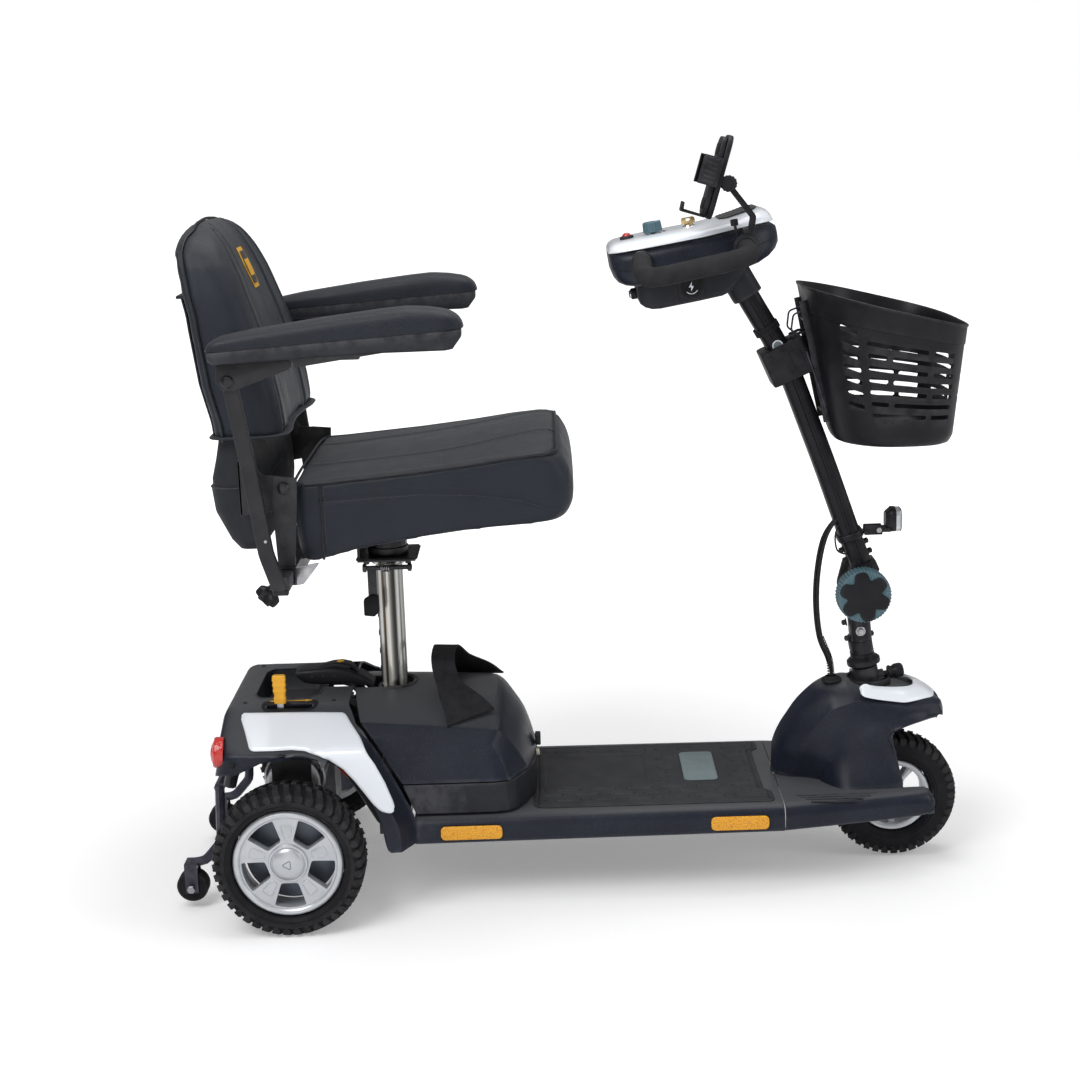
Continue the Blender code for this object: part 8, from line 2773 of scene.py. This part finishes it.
def slot_cutter(center, along, through, up, length, height):
    """Round-ended slot prism."""
    out = []
    for sign, start in ((1, -pi / 2), (-1, pi / 2)):
        for i in range(9):
            a = start + pi * i / 8
            out.append(center + along * (sign * (length / 2 - height / 2))
                       + along * (height / 2 * math.cos(a)) + up * (height / 2 * math.sin(a)))
    return loft([[p - through * 0.02 for p in out], [p + through * 0.02 for p in out]])


def basket_slots():
    cutters = []
    for side in (-1, 1):
        for r in range(7):                     # long slots in the side walls
            level = 0.735 - SLOT_PITCH * r
            x0, x1 = 0.876 + 0.002 * r, 1.008 - 0.001 * r
            a, b = (0.68, 0.74) if r % 2 == 0 else (0.21, 0.27)
            normal = Vec((0, side, 0))
            for xa, xb in ((x0, x0 + (x1 - x0) * a), (x0 + (x1 - x0) * b, x1)):
                p, q = Vec((xa, 0, level_z(xa, level))), Vec((xb, 0, level_z(xb, level)))
                t = (q - p).normalized()
                wall = 0.118 + 0.037 * level
                cutters.append(slot_cutter((p + q) / 2 + normal * (wall + 0.002), t, normal,
                                           Vec((-t.z, 0, t.x)), (q - p).length, 0.0068))
        for r in range(7):                     # short louvre slots on the rear corner
            level = 0.8 - SLOT_PITCH * r
            xa, xb = 0.832 + 0.003 * r, 0.856 + 0.0026 * r
            p = Vec((xa, side * (0.092 + 0.027 * level), level_z(xa, level)))
            q = Vec((xb, side * (0.108 + 0.034 * level), level_z(xb, level) - 0.004))
            t = (q - p).normalized()
            normal = Vec((-abs(t.y), side * abs(t.x), 0)).normalized()
            cutters.append(slot_cutter((p + q) / 2, t, normal, normal.cross(t).normalized(),
                                       (q - p).length, 0.0072))
    for r in range(6):                         # slots across the front face
        level = 0.735 - SLOT_PITCH * r
        pairs = ((-0.055, 0.07), (0.04, 0.09)) if r % 2 == 0 else ((-0.04, 0.09), (0.055, 0.07))
        for yc, length in pairs:
            center = Vec((1.028 + 0.014 * (level - 0.5), yc, level_z(1.03, level)))
            cutters.append(slot_cutter(center, Vec((0, 1, 0)), Vec((1, 0, 0)), Vec((0, 0, 1)),
                                       length, 0.0068))
    return merge(*cutters)


def basket():
    rings = basket_floor(((0.05, -0.0), (0.5, 0.0), (0.8, 0.0), (0.9, 0.0006), (0.955, 0.003),
                          (0.985, 0.008)))
    rings += [basket_ring(level) for level in
              (0.075, 0.1, 0.15, 0.25, 0.35, 0.45, 0.55, 0.65, 0.75, 0.83)]
    rings += [basket_ring(*ring) for ring in (
        (0.833, 0.0011), (0.9, 0.0011), (0.975, 0.0011), (0.982, 0.0022), (0.996, 0.0024),
        (1.0, 0.0014), (1.0, -0.0014), (0.985, -0.0024))]
    rings += [basket_ring(level, -0.0024) for level in (0.9, 0.75, 0.55, 0.35, 0.15, 0.1)]
    rings += basket_floor(((0.965, 0.011), (0.93, 0.0062), (0.87, 0.0038), (0.75, 0.0032),
                           (0.45, 0.0032), (0.05, 0.0032)))
    add(cut(loft(rings), basket_slots()), "basket_shell", "basket_body", MOULDED,
        "black_plastic", "basket", angle=35)

    def rear_x(z):
        return 0.844 - 0.048 * (z - BASKET_FLOOR) / (BASKET_RIM - BASKET_FLOOR)

    parts = [sweep([(rear_x(z) - 0.0042, side * 0.03, z) for z in (0.715, 0.8, 0.9)],
                   rrect(0.003, 0.005, 0.0012, 2), up=Y_AXIS) for side in (-1, 1)]
    for z in (0.73, 0.8, 0.87):
        x = rear_x(z) - 0.0046
        parts.append(rod((x, -0.03, z), (x, 0.03, z), 0.0026, 14))
    for side in (-1, 1):
        parts.append(prism_y([(0.782, 0.8434), (0.7965, 0.8496), (0.8135, 0.8496),
                              (0.8135, 0.8532), (0.7955, 0.8532), (0.7808, 0.8468)],
                             *span(side, 0.0124, 0.0196), 0.0008, 2))
    add(merge(*parts), "basket_bracket", "basket_body", MOULDED, "black_plastic", angle=35)
    wires = []
    for side in (-1, 1):
        bail = rounded([(0.806, side * 0.026, 0.888), (0.783, side * 0.026, 0.88),
                        (0.78, side * 0.024, 0.856), (0.79, side * 0.023, 0.848)], 0.008, 5)
        wires.append(sweep(bail, circle(0.0015, 8)))
        wires.append(sweep([(0.802, side * 0.033, 0.824), (0.823, side * 0.033, 0.764),
                            (0.833, side * 0.032, 0.73)], circle(0.0013, 8)))
    add(merge(*wires), "basket_wire_bail", "basket_body", STEEL, "machined_metal")


CLAMP_AT = Vec((0.77, 0, 0.808))
CLAMP_UP = Vec((-0.40, 0, 0.917)).normalized()     # along the column
CLAMP_FWD = Vec((0.917, 0, 0.40)).normalized()
CLAMP_REAR, CLAMP_FRONT, CLAMP_HALF = -0.03, 0.0395, 0.034


def clamp_ring(t, grow=0.0):
    half, mid = (CLAMP_FRONT - CLAMP_REAR) / 2 + grow, (CLAMP_REAR + CLAMP_FRONT) / 2
    return [CLAMP_AT + CLAMP_UP * t + CLAMP_FWD * (mid + a) + Vec((0, b, 0))
            for a, b in rrect(half, CLAMP_HALF + grow, 0.006, 4)]


def basket_clamp():
    """Block round the column with pads, grooves, screws and a round button."""
    body = loft([clamp_ring(*ring) for ring in (
        (-0.03, -0.0016), (-0.029, -0.0003), (-0.0275,), (0.0235,), (0.025, -0.0003),
        (0.026, -0.0016))])
    cut(body, sweep(spline([(0.8379, 0, 0.6336), (0.8088, 0, 0.7133), (0.786, 0, 0.7748),
                            (0.77, 0, 0.812), (0.7539, 0, 0.844), (0.7249, 0, 0.894)], 24),
                    rrect(0.0243, 0.018, 0.0166, 5), up=Y_AXIS))
    add(body, "basket_clamp_block", "tiller", MOULDED, "black_plastic", "basket_clamp", angle=35)

    def at(forward, up, y=0.0):
        return CLAMP_AT + CLAMP_FWD * forward + CLAMP_UP * up + Vec((0, y, 0))

    parts = []
    for side in (-1, 1):
        parts.append(slab(round_rect(-0.0085, 0.0085, -0.013, 0.013, 0.004, 4),
                          at(0.02, -0.001, side * 0.0336), (0, side, 0), CLAMP_FWD,
                          0.0022, 0.0008, 2))
        parts.append(sweep([at(0.0035, t, side * 0.0342) for t in (-0.029, 0.0, 0.025)],
                           rrect(0.0004, 0.0008, 0.0003, 1)))
        parts += bolt(at(-0.018, 0.015, side * 0.034), (0, side, 0), 0.003, 0.0014,
                      washer=False)
    parts.append(lathe([(0.01, 0.0), (0.01, 0.004), (0.0088, 0.0052)], at(0.02, 0.025),
                       CLAMP_UP, 32))
    add(merge(*parts), "basket_clamp_details", "tiller", MOULDED, "black_plastic", angle=30)


# ============================================================ phone holder
PHONE_Y = -0.113
PHONE_AT = Vec((0.6765, PHONE_Y, 1.0815))      # pivot of the cradle
PHONE_UP = Vec((0.285, 0, 0.9585)).normalized()
PHONE_OUT = Vec((-PHONE_UP.z, 0, PHONE_UP.x))  # away from the cradle's rear-facing front


def cradle(up, y, out):
    return PHONE_AT + PHONE_UP * up + Vec((0, y, 0)) + PHONE_OUT * out


def cradle_box(a, y, out, r, corner=0.0):
    """Plate over spans along the cradle, sideways and outward."""
    pts = [(y[0], a[0]), (y[1], a[0]), (y[1], a[1]), (y[0], a[1])]
    if corner:
        pts = round_poly(pts, corner, 6)
    return bevel(loft([[cradle(q, p, n) for p, q in pts] for n in out]), r, 2, 30)


def cradle_lip(profile, ups):
    """Prism of a (y, out) profile along the cradle."""
    return bevel(loft([[cradle(a, y, n) for y, n in profile] for a in ups]), 0.001, 2, 30)


def cradle_prism(profile, ys, r):
    """Prism of an (up, out) profile across the cradle."""
    return bevel(loft([[cradle(a, y, n) for a, n in profile] for y in ys]), r, 2, 30)


def phone_arm():
    path = rounded([(0.71, PHONE_Y, 1.012), (0.7135, PHONE_Y, 1.033), PHONE_AT], 0.008, 5)
    channel = [(-0.008, -0.004), (0.008, -0.004), (0.008, 0.004), (0.0052, 0.004),
               (0.0052, -0.0012), (-0.0052, -0.0012), (-0.0052, 0.004), (-0.008, 0.004)]
    parts = [bevel(sweep(path, channel, up=Y_AXIS), 0.0008, 2, 40),
             block((0.6985, 0.714), (PHONE_Y - 0.0078, PHONE_Y + 0.0078), (1.006, 1.0165),
                   0.0012, 2),
             lathe([(0.0146, -0.0088), (0.0184, -0.0088), (0.019, -0.008), (0.019, 0.008),
                    (0.0184, 0.0088), (0.0146, 0.0088)], con(BAR_U, PHONE_Y, -0.0026), Y_AXIS,
                   44, ring=True),
             lathe([(0.0034, -0.01), (0.0074, -0.01), (0.008, -0.0092), (0.008, 0.0092),
                    (0.0074, 0.01), (0.0034, 0.01)], PHONE_AT, Y_AXIS, 36, ring=True)]
    add(merge(*parts), "phone_arm_body", "tiller", MOULDED, "black_plastic", "phone_arm",
        angle=35)
    parts = [rod((0.69, PHONE_Y, 1.006), (0.687, PHONE_Y, 1.02), 0.0022, 14),
             lathe([(0.005, 0.0), (0.0056, 0.001), (0.0056, 0.0085), (0.0048, 0.0095)],
                   (0.6868, PHONE_Y, 1.0205), (-0.15, 0, 1), 12)]
    add(merge(*parts), "phone_clamp_screw", "tiller", MOULDED, "black_plastic", angle=25)


def phone_cradle():
    plates = merge(
        cradle_box((-0.056, 0.066), (-0.033, 0.033), (0.0105, 0.0185), 0.0016, 0.022),
        cradle_box((-0.052, 0.062), (-0.03, 0.03), (0.019, 0.0262), 0.0016, 0.018))
    cut(plates, loft([[cradle(a, y, n) for a, y in
                       ((-0.0046, -0.038), (0.0266, -0.038), (0.0266, 0.01), (-0.0046, 0.01))]
                      for n in (0.0176, 0.0214)]))
    pads = [cradle_box((a - 0.008, a + 0.008), (-0.02, 0.02), (0.026, 0.0276), 0.0006, 0.005)
            for a in (-0.036, 0.044)]
    cheek = [(-0.008, 0.014), (-0.008, 0.002), (-0.0055, -0.0055), (0.0, -0.008),
             (0.0055, -0.0055), (0.008, 0.002), (0.008, 0.014)]
    cheeks = [cradle_prism(cheek, span(side, 0.0105, 0.0148), 0.0008) for side in (-1, 1)]
    foot = cradle_prism([(-0.0556, 0.02), (-0.052, 0.02), (-0.051, 0.052), (-0.041, 0.053),
                         (-0.041, 0.0568), (-0.0552, 0.056)], (-0.015, 0.015), 0.001)
    wall = cradle_lip([(0.0324, 0.015), (0.0356, 0.015), (0.0362, 0.029), (0.0352, 0.0446),
                       (0.029, 0.0456), (0.029, 0.043), (0.0322, 0.0412)], (-0.01, 0.032))
    add(merge(plates, foot, wall, *cheeks), "phone_cradle_body", "phone_mount", MOULDED,
        "black_plastic", "phone_cradle", angle=35)
    add(merge(*pads), "phone_cradle_pads", "phone_mount", RUBBER, "rubber", angle=35)


def phone_jaw():
    """Sliding jaw with six ribs on its outside, and the pivot knob."""
    parts = [cradle_box((-0.004, 0.026), (-0.038, 0.004), (0.0181, 0.0209), 0.0004),
             cradle_lip([(-0.04, 0.017), (-0.0365, 0.017), (-0.0372, 0.029), (-0.0362, 0.0412),
                         (-0.033, 0.043), (-0.033, 0.0456), (-0.0392, 0.0446),
                         (-0.0408, 0.029)], (-0.01, 0.032))]
    for k in range(6):
        parts.append(loft([[cradle(-0.007 + 0.0066 * k + a, -0.04 - b, n) for a, b in
                            ((0.0, 0.0), (0.0012, 0.0009), (0.003, 0.0009), (0.0042, 0.0))]
                           for n in (0.023, 0.04)]))
    add(merge(*parts), "phone_jaw_body", "phone_clamp", MOULDED, "black_plastic", "phone_jaw",
        angle=35)
    m = frame_on(cradle(0, -0.0154, 0), (0, -1, 0))
    knob = loft([ribbed_ring(m, r, h, rib, 56) for r, h, rib in (
        (0.008, 0.0, 0), (0.0114, 0.0006, 0), (0.0121, 0.0018, 0.0009), (0.0121, 0.011, 0.0009),
        (0.0112, 0.0124, 0), (0.006, 0.0128, 0))])
    screw = rod(cradle(0, -0.016, 0), cradle(0, 0.012, 0), 0.0029, 18)
    add(merge(knob, screw), "phone_knob_body", "phone_lock", MOULDED, "black_plastic",
        "phone_knob", angle=28)


# ============================================================ CAD solids that still show
FALLBACK = {
    "footboard_main": PAINT, "footboard_front": PAINT, "front_shroud": PAINT,
    "rear_shroud": PAINT, "battery_cover": PAINT, "floor_mat": MAT_RUBBER,
    "seat_cushion": LEATHER, "back_cushion": LEATHER, "transaxle": CAST, "drive_motor": CAST,
    "front_trim": WHITE, "console_top": WHITE, "tiller_knob": TEAL}


def dress_remaining():
    """A finish for every visible CAD node that has no procedural material yet."""
    procedural = {m.name for m in bpy.data.materials
                  if m.use_nodes and len(m.node_tree.nodes) > 4}
    for name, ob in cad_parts.items():
        if ob is None or ob.get("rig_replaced") or ob.hide_render:
            continue
        if not any(m and m.name in procedural for m in ob.data.materials):
            dress(name, FALLBACK.get(name, MOULDED))


for build in (
        stage, rear_wheels, front_wheel, anti_tip_rollers, rear_cover, lever_guide, side_panels,
        tail_lamps, freewheel_lever, latch_paddle, battery_pack, carry_strap, deck, floor_mat,
        front_ridges, reflectors, front_shell, steering_stem, fork, lock_plunger, structure,
        seat_cushion, back_cushion, back_shell, back_ears, swivel, post, arms, column,
        tilt_knob, headlight, cables, console_body, console_cover, horn_and_speed, ignition,
        throttle_and_socket, handlebar, basket, basket_clamp, phone_arm, phone_cradle,
        phone_jaw, dress_remaining):
    build()
